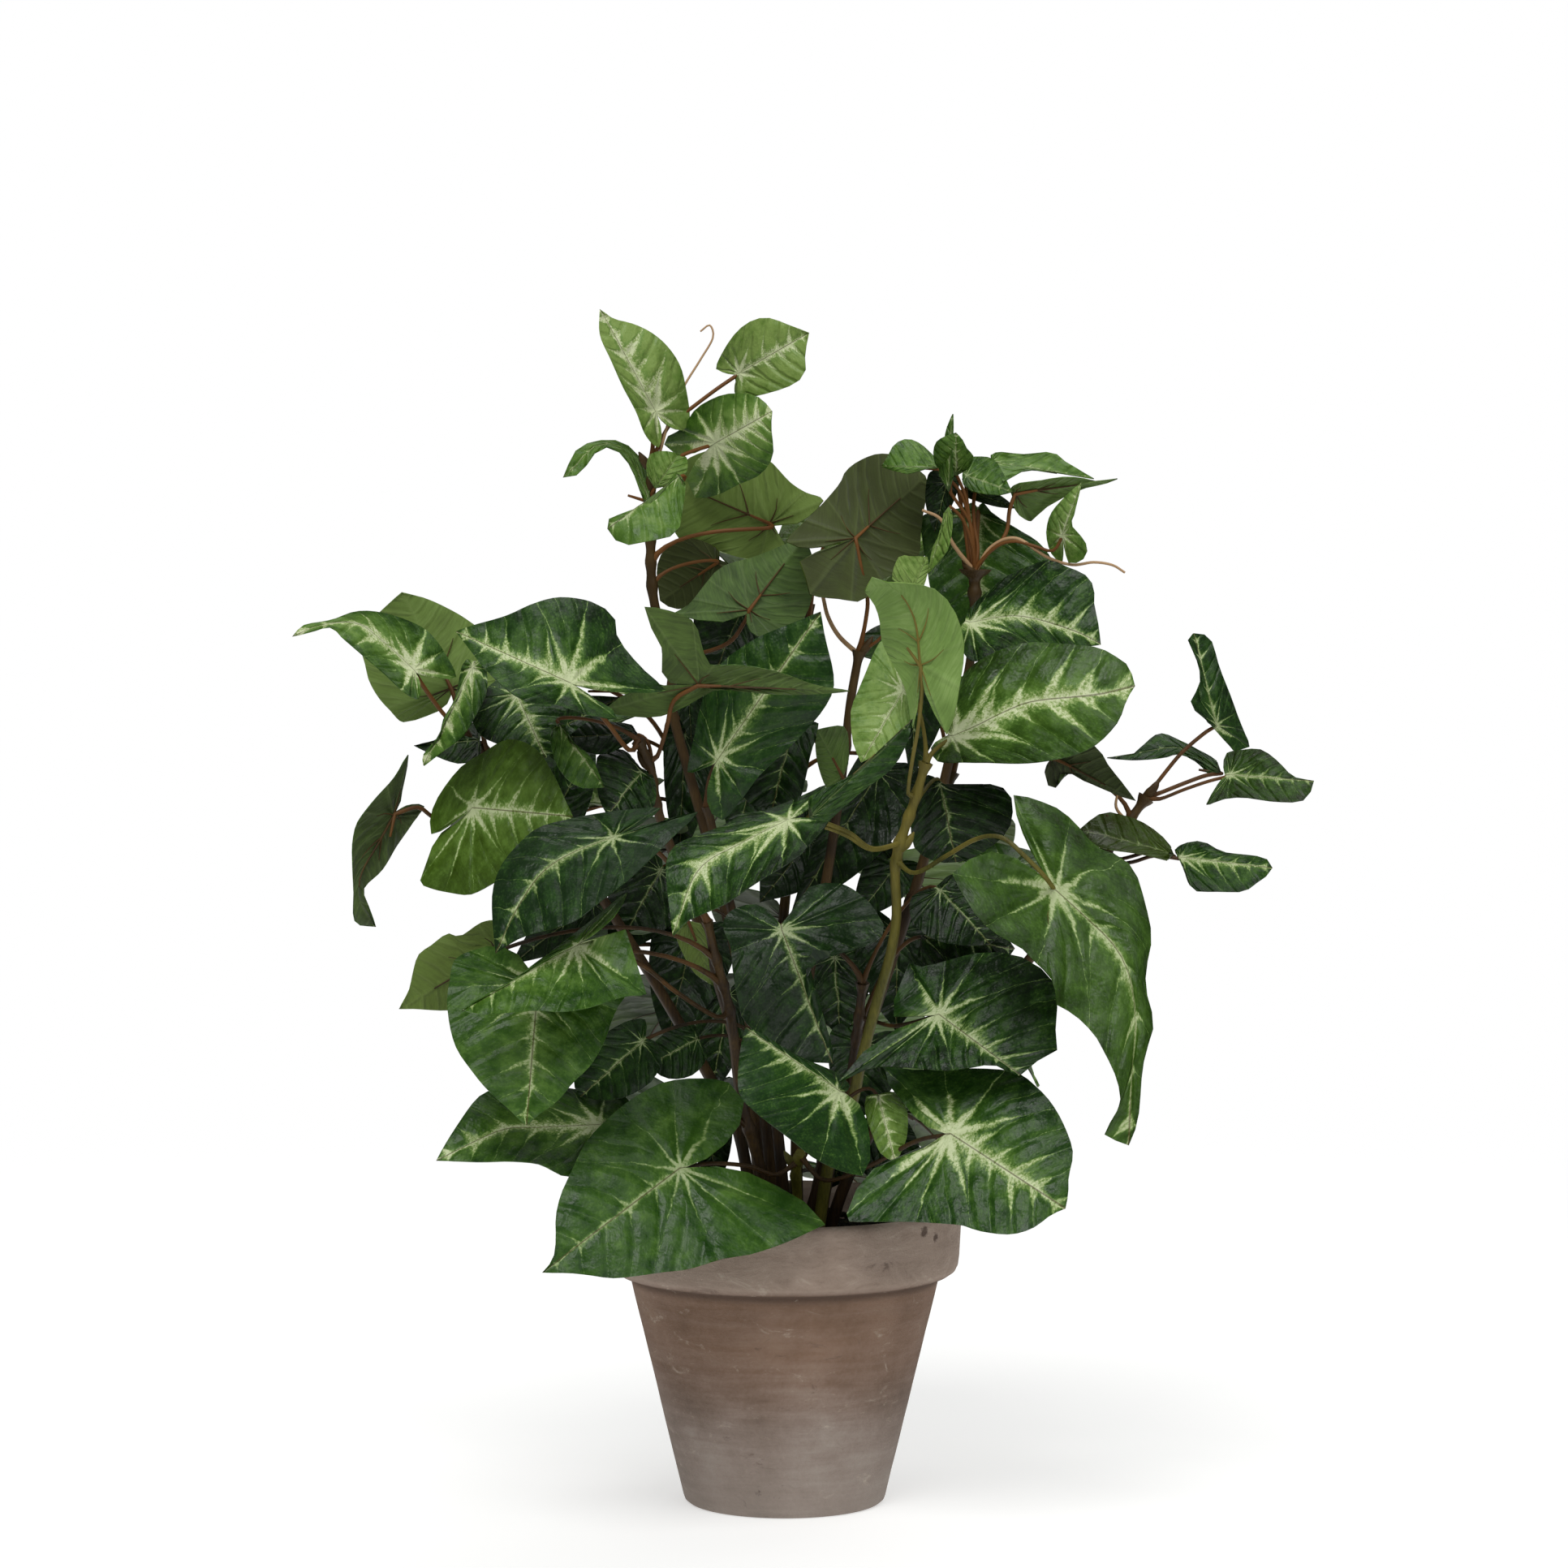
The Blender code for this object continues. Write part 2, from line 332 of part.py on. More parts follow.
    ("D9", (-55, 215, -86), (-93, 177.5, -106), 38,
     [(-85, 182.5), (-76.5, 185), (-67.5, 188), (-59, 194.5), (-50.5, 201), (-43.5, 207.5), (-36, 215),
     (-28, 223), (-38, 220.5), (-47, 218)],
     [(-94, 188), (-94, 197), (-92, 204), (-88.5, 209.5), (-80, 217.5), (-70, 220.5), (-60, 222.5),
     (-50, 223.8), (-40, 224.2), (-46, 219.5)],
     dict(fold=0, arch=5, cup=-3, mid=[(-68, 210), (-78, 203.5), (-86, 192)])),
    ("D11", (-67, 180, -94), (-104, 159, -108), 40,
     [(-98, 157.8), (-90, 158.2), (-80.2, 159), (-71.5, 158.6), (-62.8, 160), (-56.7, 162.1),
     (-49.8, 163.9), (-44.6, 164.3), (-46.7, 171), (-49, 178), (-50.5, 185), (-57, 183.5)],
     [(-95, 165), (-88.5, 168.3), (-78, 176), (-69, 182.8), (-60, 189.8), (-50.7, 197), (-56, 188)],
     dict(fold=-.2, arch=2, via=[(-22, 157, -44), (-35, 165, -58), (-45, 173, -72), (-56, 178.5, -85)])),
    ("D12", (-79.5, 167, -84), (-83.3, 121.9, -94), 5,
     [(-79.4, 125.3), (-73.3, 129.7), (-68, 135.9), (-62.8, 141), (-58.5, 148.2), (-56, 155),
     (-53.7, 160.3), (-51, 165), (-54, 172), (-64, 177), (-74, 174)],
     [(-84.6, 122.7), (-89, 127), (-95, 132.4), (-100.3, 138.6), (-106.4, 148), (-108.8, 160.5),
     (-108, 168.3), (-106.4, 175.2), (-101, 178.3), (-94, 180), (-87, 178), (-83, 173)],
     dict(fold=.1)),
    ("D13", (-93, 178, -68), (-124.2, 159.5, -78), 165,
     [(-121, 165.5), (-120, 170), (-118, 177), (-114, 180), (-108.5, 184), (-104.5, 183), (-97.7, 187.4),
     (-92, 188), (-88, 185)],
     [(-119.5, 159.5), (-115, 159.2), (-109, 159), (-101, 160), (-94, 164), (-88, 170), (-89, 175)],
     dict()),
    ("D14", (-60, 122, -54), (-112.4, 110.3, -74), 33,
     [(-97.7, 109.9), (-89, 110.1), (-80, 109.4), (-76, 107.7), (-71, 105.3), (-64, 106), (-55, 109),
     (-50, 114), (-53, 119)],
     [(-109, 116.5), (-104.5, 123.5), (-100, 129.7), (-96, 132.7), (-88, 135), (-78, 135), (-68, 133.5),
     (-60, 133), (-52, 131.5), (-50, 127)],
     dict(fold=.1, arch=3, mid=[(-80, 121), (-92, 120)])),
],
"i": [
    ("D15", (-46, 149, -44), (-66, 131, -54), 10,
     [(-58, 130), (-50, 131.5), (-43, 136), (-40, 142), (-41, 148)],
     [(-68, 135), (-67, 143), (-60, 150), (-52, 155), (-45, 156)],
     dict()),
    ("D16", (-28, 150, -34), (-44, 141, -38), 20,
     [(-38, 137), (-30, 138), (-25, 144)],
     [(-44, 146), (-38, 152), (-30, 155)],
     dict(small=1)),
    ("D31", (-31, 188, -40), (-23, 167, -44), -165,
     [(-24.5, 173), (-25, 181), (-27, 187)],
     [(-29, 171), (-33, 178), (-35, 184)],
     dict(small=1)),
    ("C17", (-21.5, 240, -34), (11.5, 287.5, -44), -10,
     [(3, 284), (-2, 282), (-9, 279), (-16, 274.5), (-21, 270), (-25, 263), (-27.5, 255), (-29, 247.5),
     (-31.2, 236), (-27, 237)],
     [(12.8, 280), (14, 275), (15.6, 268), (15.5, 262), (12, 255.5), (6, 248.5), (0, 242.5), (-8, 235),
     (-14, 227), (-20, 220.5), (-24, 223.5), (-25, 230)],
     dict(fold=-.1, arch=3)),
],
"j": [
    ("D24a", (138.5, 251, -10), (131, 280.5, -4), 50,
     [(129, 279.7), (132.6, 271), (133.5, 266), (132.8, 263), (130.3, 257.7), (134.5, 253.5)],
     [(135.5, 279.8), (137.3, 277), (139.3, 270), (141.4, 264.6), (143.4, 259.5), (145.3, 254.2),
     (147.4, 249), (149.2, 244.1), (144, 242.5), (141, 246.5)],
     dict(fold=.1, wave=.4, via=[(119.5, 232.3, -12.6), (126, 240.5, -12), (130, 244.5, -11.5),
          (135.5, 249, -11)])),
    ("D24c", (143, 235, -16), (170, 233, -22), -40,
     [(163.5, 234.3), (160.7, 237), (156.5, 241), (152.5, 243.3), (147, 243), (142, 242), (140.8, 238.5)],
     [(169, 229.5), (166, 226.5), (157, 226.5), (148, 227.8), (141.5, 227.4), (135.5, 225.5), (138.5, 231)],
     dict(fold=.1, wave=.4, via=[(120.5, 227.3, -14), (128.3, 230.3, -15.5), (136.2, 233, -16.5)])),
    ("D24d", (140, 236, -8), (103.6, 240.5, -4), 50,
     [(111, 241.2), (114, 243.5), (120.2, 248.3), (127, 246), (133.6, 242.7), (138.8, 239.4)],
     [(110.1, 239.8), (118.6, 240.2), (123.1, 240.8), (126.4, 241.8), (132.3, 239.2), (136, 235.5)],
     dict(arch=0, wave=0, cols=(5, 1, 1), mid=[(132.5, 240.8), (126, 243.8), (118, 242.8)],
          via=[(121, 229.4, -12), (128.5, 232.4, -10.8), (135.5, 234.9, -9.6)])),
    ("D25b", (127, 208.5, -24), (156.8, 205, -30), -42,
     [(155.5, 207.5), (152, 208.8), (143.3, 209.7), (139.8, 210.5), (137.2, 212.3), (133.7, 213.6),
     (129.4, 213.1), (125.5, 211)],
     [(155.5, 202.8), (151, 199.7), (147.6, 197.5), (139.8, 197.5), (132, 197.7), (130.2, 199.7),
     (128.5, 204.5)],
     dict(fold=.1, wave=.4, via=[(106, 206.5, -17), (112, 207, -19), (119, 209, -22)])),
    ("D25a", (125, 209.5, -22), (95, 217.5, -18), 55,
     [(98, 213), (104, 211), (112, 210), (118, 208.8), (123, 207.5)],
     [(100, 221.7), (104, 223), (108.5, 222), (114, 220.3), (120, 216.3), (124, 212)],
     dict(arch=3, fold=.1, small=1, via=[(107, 208, -15), (112, 208.9, -17), (119, 210.8, -20)])),
    ("D26", (86, 241, -22), (112.8, 226.7, -34), -150,
     [(108.5, 232.5), (104, 238), (101, 243), (96, 246), (89, 246)],
     [(107, 228.5), (103.5, 230), (96.3, 233), (89.5, 236.3), (86.3, 229.5), (83.5, 236)],
     dict(small=1)),
],
"k": [
    ("D17", (-34, 107.8, -66), (-78.3, 74, -90), 12,
     [(-70, 73.8), (-62.8, 73), (-55.9, 72.1), (-49.8, 72.6), (-40, 74), (-30.6, 75.2), (-20, 78.5),
     (-10.6, 80), (1, 84), (9.5, 88), (13, 89.5), (12, 92), (7, 96.4), (-2, 101.7), (-10.6, 106),
     (-20, 108.3)],
     [(-75, 78), (-74, 84), (-74, 92), (-72.4, 99), (-69.5, 105.5), (-64.6, 115.6), (-58.5, 122.6),
     (-51.5, 128.8), (-44.6, 133.2), (-38, 136), (-28, 137), (-18, 135.5), (-13, 129), (-15, 121),
     (-20, 115), (-27, 110)],
     dict(fold=-0, arch=3, via=[(-3, 105.8, -32), (-12, 108.6, -46), (-24, 109.4, -59)])),
    ("D21", (53.6, 119, -60), (90.5, 94.8, -78), -15,
     [(91.5, 100), (91.6, 105), (93, 113), (90, 122), (85.5, 129.7), (80, 135.3), (75.8, 138.4),
     (69.7, 139.8), (59, 140.2), (50.5, 139.9), (40, 139.8), (32.2, 140.8), (34, 134), (39, 128.5),
     (44, 122.5)],
     [(86, 92.7), (80, 88.4), (72.4, 86.4), (62.7, 87.5), (57.5, 89.3), (50, 90), (40, 90.5), (26, 90.5),
     (20.9, 90.5), (20, 93), (21.7, 98), (25.2, 104.3), (31.3, 109.5), (40, 112), (48, 116)],
     dict(fold=0, arch=2, via=[(13, 104, -34), (27, 108.5, -44), (42, 116.5, -54)])),
    ("D22", (30, 131.5, -46), (35.5, 110, -52), -20,
     [(37.5, 113), (39.5, 119), (39.3, 127), (35, 132.5)],
     [(31, 112.5), (28, 119.5), (26, 126), (26.2, 131)],
     dict(small=1)),
],
"r1": [
    ("E7", (-40, 204, 26), (-56, 176, 18), 0, (14, 14), (8, 8), dict()),
    ("E8", (-30, 182, 24), (-38, 148, 16), 0, (15, 13), (8, 8), dict()),
    ("E9", (-18, 164, 20), (-24, 130, 12), 0, (9, 10), (7, 7), dict()),
    ("E10", (-32, 248, 36), (-34, 206, 30), 0, (10, 7), (6, 6), dict()),
    ("E13", (-14, 288, 34), (-24, 264, 28), 0, (11, 15), (6, 6), dict()),
    ("E20", (-31, 264, 34), (-30, 246, 32), 0, (5, 5), (4, 4), dict()),
    ("E16", (-62, 194, 14), (-88, 174, 8), 0, (9, 9), (6, 6), dict()),
    ("E18", (-25, 126, 16), (-22, 101, 14), 0, (8, 8), (6, 6), dict()),
],
"r2": [
    ("E1", (30, 236, 26), (2, 190, 20), 0, (17, 8), (8, 8), dict()),
    ("E22", (-10, 236, 32), (-16, 212, 28), 0, (9, 10), (5, 5), dict()),
    ("E2", (8, 214, 34), (-8, 194, 30), 0, (12, 12), (8, 8), dict()),
],
"r3": [
    ("E19", (36, 206, 28), (22, 188, 24), 0, (9, 9), (5, 5), dict()),
    ("E3", (16, 176, 30), (18, 150, 24), 0, (13, 13), (8, 8), dict()),
    ("E4", (36, 184, 26), (36, 152, 20), 0, (13, 14), (8, 8), dict()),
    ("E5", (26, 148, 22), (22, 122, 16), 0, (14, 12), (6, 6), dict()),
    ("E6", (30, 116, 18), (44, 98, 14), 0, (12, 10), (8, 8), dict()),
    ("E17", (24, 122, 20), (14, 101, 18), 0, (10, 9), (6, 6), dict()),
],
}

# Leaves of the rear stems: compass angle (0 straight back, + to the right), radius and height of the joint,
# radius and height of the tip, roll about the midrib, half width, lobe length.
REAR = {
    "r1": [("R1", -46, 54, 124, 84, 100, 8, 22, 18), ("R2", -60, 62, 178, 106, 154, -8, 23, 19),
           ("R3", -36, 58, 158, 98, 128, 5, 23, 19), ("R4", -67, 66, 224, 108, 206, -10, 22, 18),
           ("R5", -40, 52, 210, 98, 188, 8, 25, 20), ("R6", -72, 60, 262, 100, 258, 6, 23, 17),
           ("R7", -52, 78, 248, 108, 238, -12, 13, 10), ("R8", -20, 48, 286, 66, 288, 10, 13, 10)],
    "r2": [("R9", 16, 62, 99, 94, 78, -6, 20, 9), ("R10", 0, 60, 184, 106, 160, 8, 26, 22),
           ("R11", 20, 64, 148, 106, 120, -8, 25, 20), ("R12", -12, 66, 224, 108, 204, 6, 21, 17),
           ("R13", -10, 60, 266, 98, 256, -10, 23, 18), ("R14", -12, 46, 302, 84, 308, 12, 20, 15),
           ("R15", 24, 36, 313, 68, 322, -8, 18, 13)],
    "r3": [("R16", 46, 54, 122, 90, 92, 6, 22, 18), ("R17", 70, 58, 158, 86, 132, 10, 20, 16),
           ("R18", 38, 58, 200, 102, 180, -6, 25, 20), ("R19", 76, 75, 204, 106, 190, 8, 19, 15),
           ("R20", 52, 60, 220, 100, 202, 8, 23, 18), ("R21", 64, 72, 258, 102, 260, -12, 20, 16),
           ("R22", 54, 56, 280, 88, 290, -6, 20, 16), ("R23", 47, 52, 304, 82, 314, 6, 17, 13)],
}

NAMES = {"a": "leafy_stem_top_left", "b": "leafy_stem_left_fork", "c": "leafy_stem_top_middle",
         "d": "leafy_stem_front_olive", "e": "leafy_stem_middle", "f": "leafy_stem_top_right",
         "g": "leafy_stem_far_left", "h": "leafy_stem_front_left", "i": "leafy_stem_inner",
         "j": "leafy_stem_far_right", "k": "leafy_stem_low_front", "r1": "leafy_stem_rear_left",
         "r2": "leafy_stem_rear_middle", "r3": "leafy_stem_rear_right"}

COLOURS = {                              # base colour (linear), roughness
    "clay": ((0.20, 0.155, 0.125), .9), "soil": ((0.012, 0.013, 0.010), 1.0),
    "leaf": ((0.045, 0.13, 0.04), .55), "stem": ((0.13, 0.06, 0.022), .6)}


def unit(v):
    return v / np.linalg.norm(v)


def seen(p):
    """The point at depth y that shows at (x, z)."""
    x, z, y = p
    return EYE + (np.array([x, 0.0, z]) - EYE) * ((y + 1600.0) / 1600.0)


def rail(points, n):
    """n + 1 points spaced evenly along a polyline."""
    points = np.array(points, float)
    d = np.concatenate([[0], np.cumsum(np.linalg.norm(np.diff(points, axis=0), axis=1))])
    s = np.linspace(0, d[-1], n + 1)
    return np.stack([np.interp(s, d, points[:, k]) for k in range(points.shape[1])], 1)


def smooth(points, step):
    """A curve through the points, read off about every step."""
    P = np.array(points, float)
    P = np.vstack([2 * P[0] - P[1], P, 2 * P[-1] - P[-2]])
    out = [P[1]]
    for a, b, c, d in zip(P, P[1:], P[2:], P[3:]):
        n = max(1, int(round(np.linalg.norm(c - b) / step)))
        for k in range(1, n + 1):
            t = k / n
            out.append(.5 * (2 * b + (c - a) * t + (2 * a - 5 * b + 4 * c - d) * t * t
                             + (3 * b - a - 3 * c + d) * t ** 3))
    return np.array(out)


class Leaf:
    """A blade as a bent sheet: its joint, its axes, its points and triangles, and its rim."""

    def __init__(self, name, J, T, N, shape, mid, margins, sight):
        self.name, self.J, self.T, self.N, self.shape = name, J, T, N, shape
        self.mid, self.margins, self.sight = mid, margins, sight
        self.U = unit(T - J)
        self.V = np.cross(N, self.U)
        self.L = np.linalg.norm(T - J)
        small = "small" in shape or self.L < 30
        self.coarse(shape.get("cols") or ((2, 1, 1) if not sight else (3, 1, 1) if small else
                                          (5, 2, 2) if self.L > 60 else (4, 2, 1)))

    def strips(self, cols, fine=0):
        """For each side, the points of the midrib and of the margin that face each other, from the tip round to
        the notch: as far as the shoulder, to the end of the lobe, and back to the joint."""
        na, nb, nc = cols
        joint, tip = self.mid[0], self.mid[-1]
        U = unit(self.mid[1] - joint)
        L = np.linalg.norm(tip - joint)
        middle = rail(smooth(self.mid, fine) if fine and len(self.mid) > 2 else self.mid, na)[::-1]
        middle = np.vstack([middle, np.repeat(middle[-1:], nb + nc, 0)])
        ends = [np.array(m, float) for m in self.margins]
        notch = (ends[0][-1] + ends[1][-1]) / 2 - joint
        notch = joint + notch * min(1, 1.6 / (np.linalg.norm(notch) + 1e-9))
        made = []
        for m in ends:
            m = np.vstack([tip, m, notch])
            u = (m - joint) @ U
            sh = next((i for i in range(1, len(m) - 1) if u[i] < .16 * L), len(m) - 2)
            far = -u[sh:-1] + .6 * np.linalg.norm(m[sh:-1] - joint, axis=1)
            lo = sh + int(np.argmax(far))
            if fine:
                curve, at = smooth(m, fine), [0]
                for i in (sh, lo, len(m) - 1):
                    at.append(int(np.argmin(np.linalg.norm(curve - m[i], axis=1))))
                m, (sh, lo) = curve, at[1:3]
            if lo > sh:
                edge = np.vstack([rail(m[:sh + 1], na), rail(m[sh:lo + 1], nb)[1:], rail(m[lo:], nc)[1:]])
            else:
                edge = np.vstack([rail(m[:sh + 1], na), rail(m[sh:], nb + nc)[1:]])
            made.append((middle, edge))
        return made

    def place(self, flat, share, relief=0):
        """Points of the bent blade for points of the flat outline."""
        J, U, V, N = self.J, self.U, self.V, self.N
        if self.sight:
            ray = np.stack([flat[:, 0], np.zeros(len(flat)), flat[:, 1]], 1) - EYE
            ray /= np.linalg.norm(ray, axis=1)[:, None]
            P = EYE + ray * (((J - EYE) @ N) / (ray @ N))[:, None]
            u, v = (P - J) @ U, (P - J) @ V
            c = ray @ N
            push = ray / (np.sign(c) * np.maximum(np.abs(c), .45))[:, None]
        else:
            u, v = flat.T
            P, push = J + u[:, None] * U + v[:, None] * V, N[None, :]
        return P + (self.lift(u, v, share) + relief)[:, None] * push

    def lift(self, u, v, share):
        """Height of the bent blade over its plane: arched along the midrib, folded about it, waved at the rim."""
        k, s = self.shape, u / self.L
        w = np.where(s >= 0, 4 * s * (1 - s), 2.4 * s) * k.get("arch", 2)
        w = w + k.get("fold", .1) * (np.sqrt(v * v + 4) - 2) + k.get("cup", 0) * (v / max(8, np.abs(v).max())) ** 2
        w = w + k.get("wave", .8) * np.sin(np.arctan2(v, u) * 4 + sum(map(ord, self.name))) * share ** 2
        return w + k.get("roll", 0) * s * v

    def coarse(self, cols):
        points, share, index, strips = [], [], {}, []

        def put(key, p, s):
            if key not in index:
                index[key] = len(points)
                points.append(p)
                share.append(s)
            return index[key]

        na, last = cols[0], sum(cols)
        for sign, (middle, edge) in zip((1, -1), self.strips(cols)):
            strip = []
            for i in range(last + 1):
                a = put(("m", min(i, na)), middle[i], 0)
                strip.append((a, a if i == 0 else put("notch" if i == last else (sign, i), edge[i], 1)))
            strips.append(strip)
        faces = []
        for sign, strip in zip((1, -1), strips):
            for (a, b), (d, c) in zip(strip, strip[1:]):
                for tri in ((a, b, c), (a, c, d)):
                    if len(set(tri)) == 3:
                        faces.append(tri if sign == 1 else tri[::-1])
        self.faces = np.array(faces)
        self.rim = np.array([b for _, b in strips[0]] + [b for _, b in strips[1][::-1][1:-1]])
        self.P = self.place(np.array(points), np.array(share, float))
        tri = self.P[self.faces]
        if np.cross(tri[:, 1] - tri[:, 0], tri[:, 2] - tri[:, 0]).sum(0).dot(self.N) < 0:
            self.faces, self.rim = self.faces[:, ::-1], self.rim[::-1]

    def keel(self):
        """Where the leaf stalk ends: under the joint, then along the midrib inside the blade."""
        ahead = self.P[np.argsort(np.abs((self.P - self.J) @ self.V) + 1e3 * ((self.P - self.J) @ self.U < 2))[:1]][0]
        step = ahead - self.J
        step = step * min(1, 7 / np.linalg.norm(step))
        return [self.J - self.N * .65 - self.U * .4, self.J + step - self.N * .2]


def plain(L, half, lobes):
    """Midrib and margins of a leaf that is given by its half widths and lobes."""
    return np.array([(0, 0), (L, 0)], float), [
        [(x * (L if x > 0 else lobes[k]), s * y * half[k]) for x, y in EDGE[1:-1]] for k, s in ((0, 1), (1, -1))]


def front_leaf(row):
    name, joint, tip, turn, a, b, shape = row
    J, T = seen(joint), seen(tip)
    U = unit(T - J)
    C = EYE - J
    C = unit(C - U * C.dot(U))
    r = math.radians(turn)
    N = math.cos(r) * C + math.sin(r) * np.cross(U, C)
    if isinstance(a, list):
        mid = np.array([joint[:2]] + list(shape.get("mid", [])) + [tip[:2]], float)
        return Leaf(name, J, T, N, shape, mid, [a, b], True)
    mid, margins = plain(np.linalg.norm(T - J), a, b)
    return Leaf(name, J, T, N, shape, mid, margins, False)


def rear_leaf(row):
    name, az, rj, zj, rt, zt, roll, half, lobe = row
    out = np.array([math.sin(math.radians(az)), math.cos(math.radians(az)), 0])
    aside = 7 if int(name[1:]) % 2 else -7
    J = out * rj + (0, 0, zj)
    T = out * rt + (out[1] * aside, -out[0] * aside, zt)
    U = unit(T - J)
    up = unit(np.array([0, 0, 1.0]) - U * U[2])
    r = math.radians(roll)
    N = math.cos(r) * up + math.sin(r) * np.cross(U, up)
    mid, margins = plain(np.linalg.norm(T - J), (half, half * .94), (lobe, lobe * 1.1))
    return Leaf(name, J, T, N, dict(arch=4, fold=.18, wave=1.2), mid, margins, False)


def leaves_of(key):
    return [front_leaf(row) for row in LEAVES.get(key, [])] + [rear_leaf(row) for row in REAR.get(key, [])]


def stem_line(key):
    (x, y), via = STEMS[key]
    base = [(x, y, SOIL_TOP - STEM_DEPTH), (x, y, SOIL_TOP - 8), (x, y, SOIL_TOP + 4)]
    return np.vstack([base[:1], smooth(base[1:] + [seen(p) for p in via], 60)])


def bezier(a, b, c, d, n):
    t = np.linspace(0, 1, n + 1)[:, None]
    return a * (1 - t) ** 3 + 3 * b * t * (1 - t) ** 2 + 3 * c * t * t * (1 - t) + d * t ** 3


def dense(points, step=1.5):
    return rail(points, max(2, int(np.linalg.norm(np.diff(points, axis=0), axis=1).sum() / step)))


def air(points, lines, radius):
    """Least air between a stalk on these points and the round things laid so far, as (points, radius)."""
    least = 1e9
    for line, r in lines:
        d = np.linalg.norm(points[:, None, :] - line[None, :, :], axis=2).min()
        least = min(least, d - r - radius)
    return least


def blade_air(points, trees, radius):
    least = 1e9
    for tree in trees:
        for p in points:
            hit = tree.find_nearest(Vector(p), least + BLADE / 2 + radius)
            if hit[0] is not None:
                least = min(least, hit[3] - BLADE / 2 - radius)
    return least


def stalk(leaf, line, trees, lines, used):
    """The leaf stalk from its stem to the joint, as a fine and a coarse line, with its least air: through the
    points that the leaf names, or bent until it clears what belongs to other stems."""
    keel = leaf.keel()
    end = keel[0]
    via = [seen(p) for p in leaf.shape.get("via", ())]
    if via:
        S = line[np.argmin(np.linalg.norm(line - via[0], axis=1) + np.where(line[:, 2] < SOIL_TOP + 6, 1e3, 0))]
        fine = smooth([S] + via + [end], 2)
        path = rail(fine, max(2, min(4, int(np.linalg.norm(np.diff(fine, axis=0), axis=1).sum() / 12))))
        probe = dense(np.vstack([path, keel[1:]]))
        probe = probe[np.linalg.norm(probe - S, axis=1) > 2]
        least = min(air(probe, lines, PETIOLE_R), blade_air(probe, trees, PETIOLE_R))
        return fine, np.vstack([path, keel[1:]]), least
    cost = np.linalg.norm(line - end, axis=1) + np.maximum(0, line[:, 2] - end[2] + 4) * 1.5
    cost = cost + np.where(line[:, 2] < SOIL_TOP + 6, 1e3, 0)
    for u in used:
        cost = cost + 14 * (np.linalg.norm(line - u, axis=1) < 7)
    best, best_air = None, -1e9
    for start in np.argsort(cost)[:5]:
        S = line[start]
        up = unit(line[min(start + 4, len(line) - 1)] - line[max(start - 4, 0)])
        reach = np.linalg.norm(end - S)
        for bend in BENDS:
            bend = np.array(bend, float) * min(1, reach / 25)
            B = S + (up * .3 + unit(end - S) * .2) * reach + bend
            C = end - (leaf.U * .75 + leaf.N * .45) * reach * .3 + bend * .6
            path = bezier(S, B, C, end, 2 if reach < 32 else 3)
            probe = dense(np.vstack([path, keel[1:]]))
            probe = probe[np.linalg.norm(probe - S, axis=1) > 2]
            a = min(air(probe, lines, PETIOLE_R), blade_air(probe, trees, PETIOLE_R))
            if a > best_air:
                best, best_air = (S, B, C, end, path), a
            if a > CLEAR:
                break
        if best_air > CLEAR:
            break
    return bezier(*best[:4], 14), np.vstack([best[4], keel[1:]]), best_air


def route(stems):
    """Every leaf and its stalk: (leaf, the stalk's fine line, its coarse line), by stem, and the least air of each."""
    leaves = {key: leaves_of(key) for key in stems}
    lines = {key: stem_line(key) for key in stems}
    trees = {key: [BVHTree.FromPolygons([Vector(p) for p in leaf.P], [tuple(f) for f in leaf.faces])
                   for leaf in made] for key, made in leaves.items()}
    laid = {key: [(dense(line), STEM_R0)] for key, line in lines.items()}
    made, airs = {}, []
    for key in stems:
        fine = dense(lines[key])
        others = [t for k, ts in trees.items() if k != key for t in ts]
        made[key], used = [], []
        for leaf in leaves[key]:
            rounds = [one for k, ls in laid.items() if k != key for one in ls]
            curve, path, least = stalk(leaf, fine, others, rounds, used)
            used.append(path[0])
            laid[key].append((dense(path), PETIOLE_R))
            made[key].append((leaf, curve, path))
            airs.append((key, leaf.name, round(least, 2)))
    return made, lines, trees, laid, airs

def tube(points, radii, sides):
    P = np.array(points, float)
    n = len(P)
    radii = np.linspace(radii[0], radii[1], n) if len(radii) == 2 else np.array(radii)
    run = np.zeros_like(P)
    run[1:-1] = P[2:] - P[:-2]
    run[0], run[-1] = P[1] - P[0], P[-1] - P[-2]
    run /= np.linalg.norm(run, axis=1)[:, None]
    a = unit(np.cross(run[0], (0.3, 1.0, 0.2) if abs(run[0][1]) < .8 else (1.0, .2, .3)))
    verts, faces = [], []
    for i in range(n):
        a = unit(a - run[i] * a.dot(run[i]))
        b = np.cross(run[i], a)
        for k in range(sides):
            f = 2 * math.pi * k / sides
            verts.append(P[i] + radii[i] * (a * math.cos(f) + b * math.sin(f)))
    for i in range(n - 1):
        for k in range(sides):
            p, q = i * sides + k, i * sides + (k + 1) % sides
            faces += [(p, q, q + sides), (p, q + sides, p + sides)]
    e = (n - 1) * sides
    faces += [(0, k + 1, k) for k in range(1, sides - 1)] + [(e, e + k, e + k + 1) for k in range(1, sides - 1)]
    return np.array(verts), faces


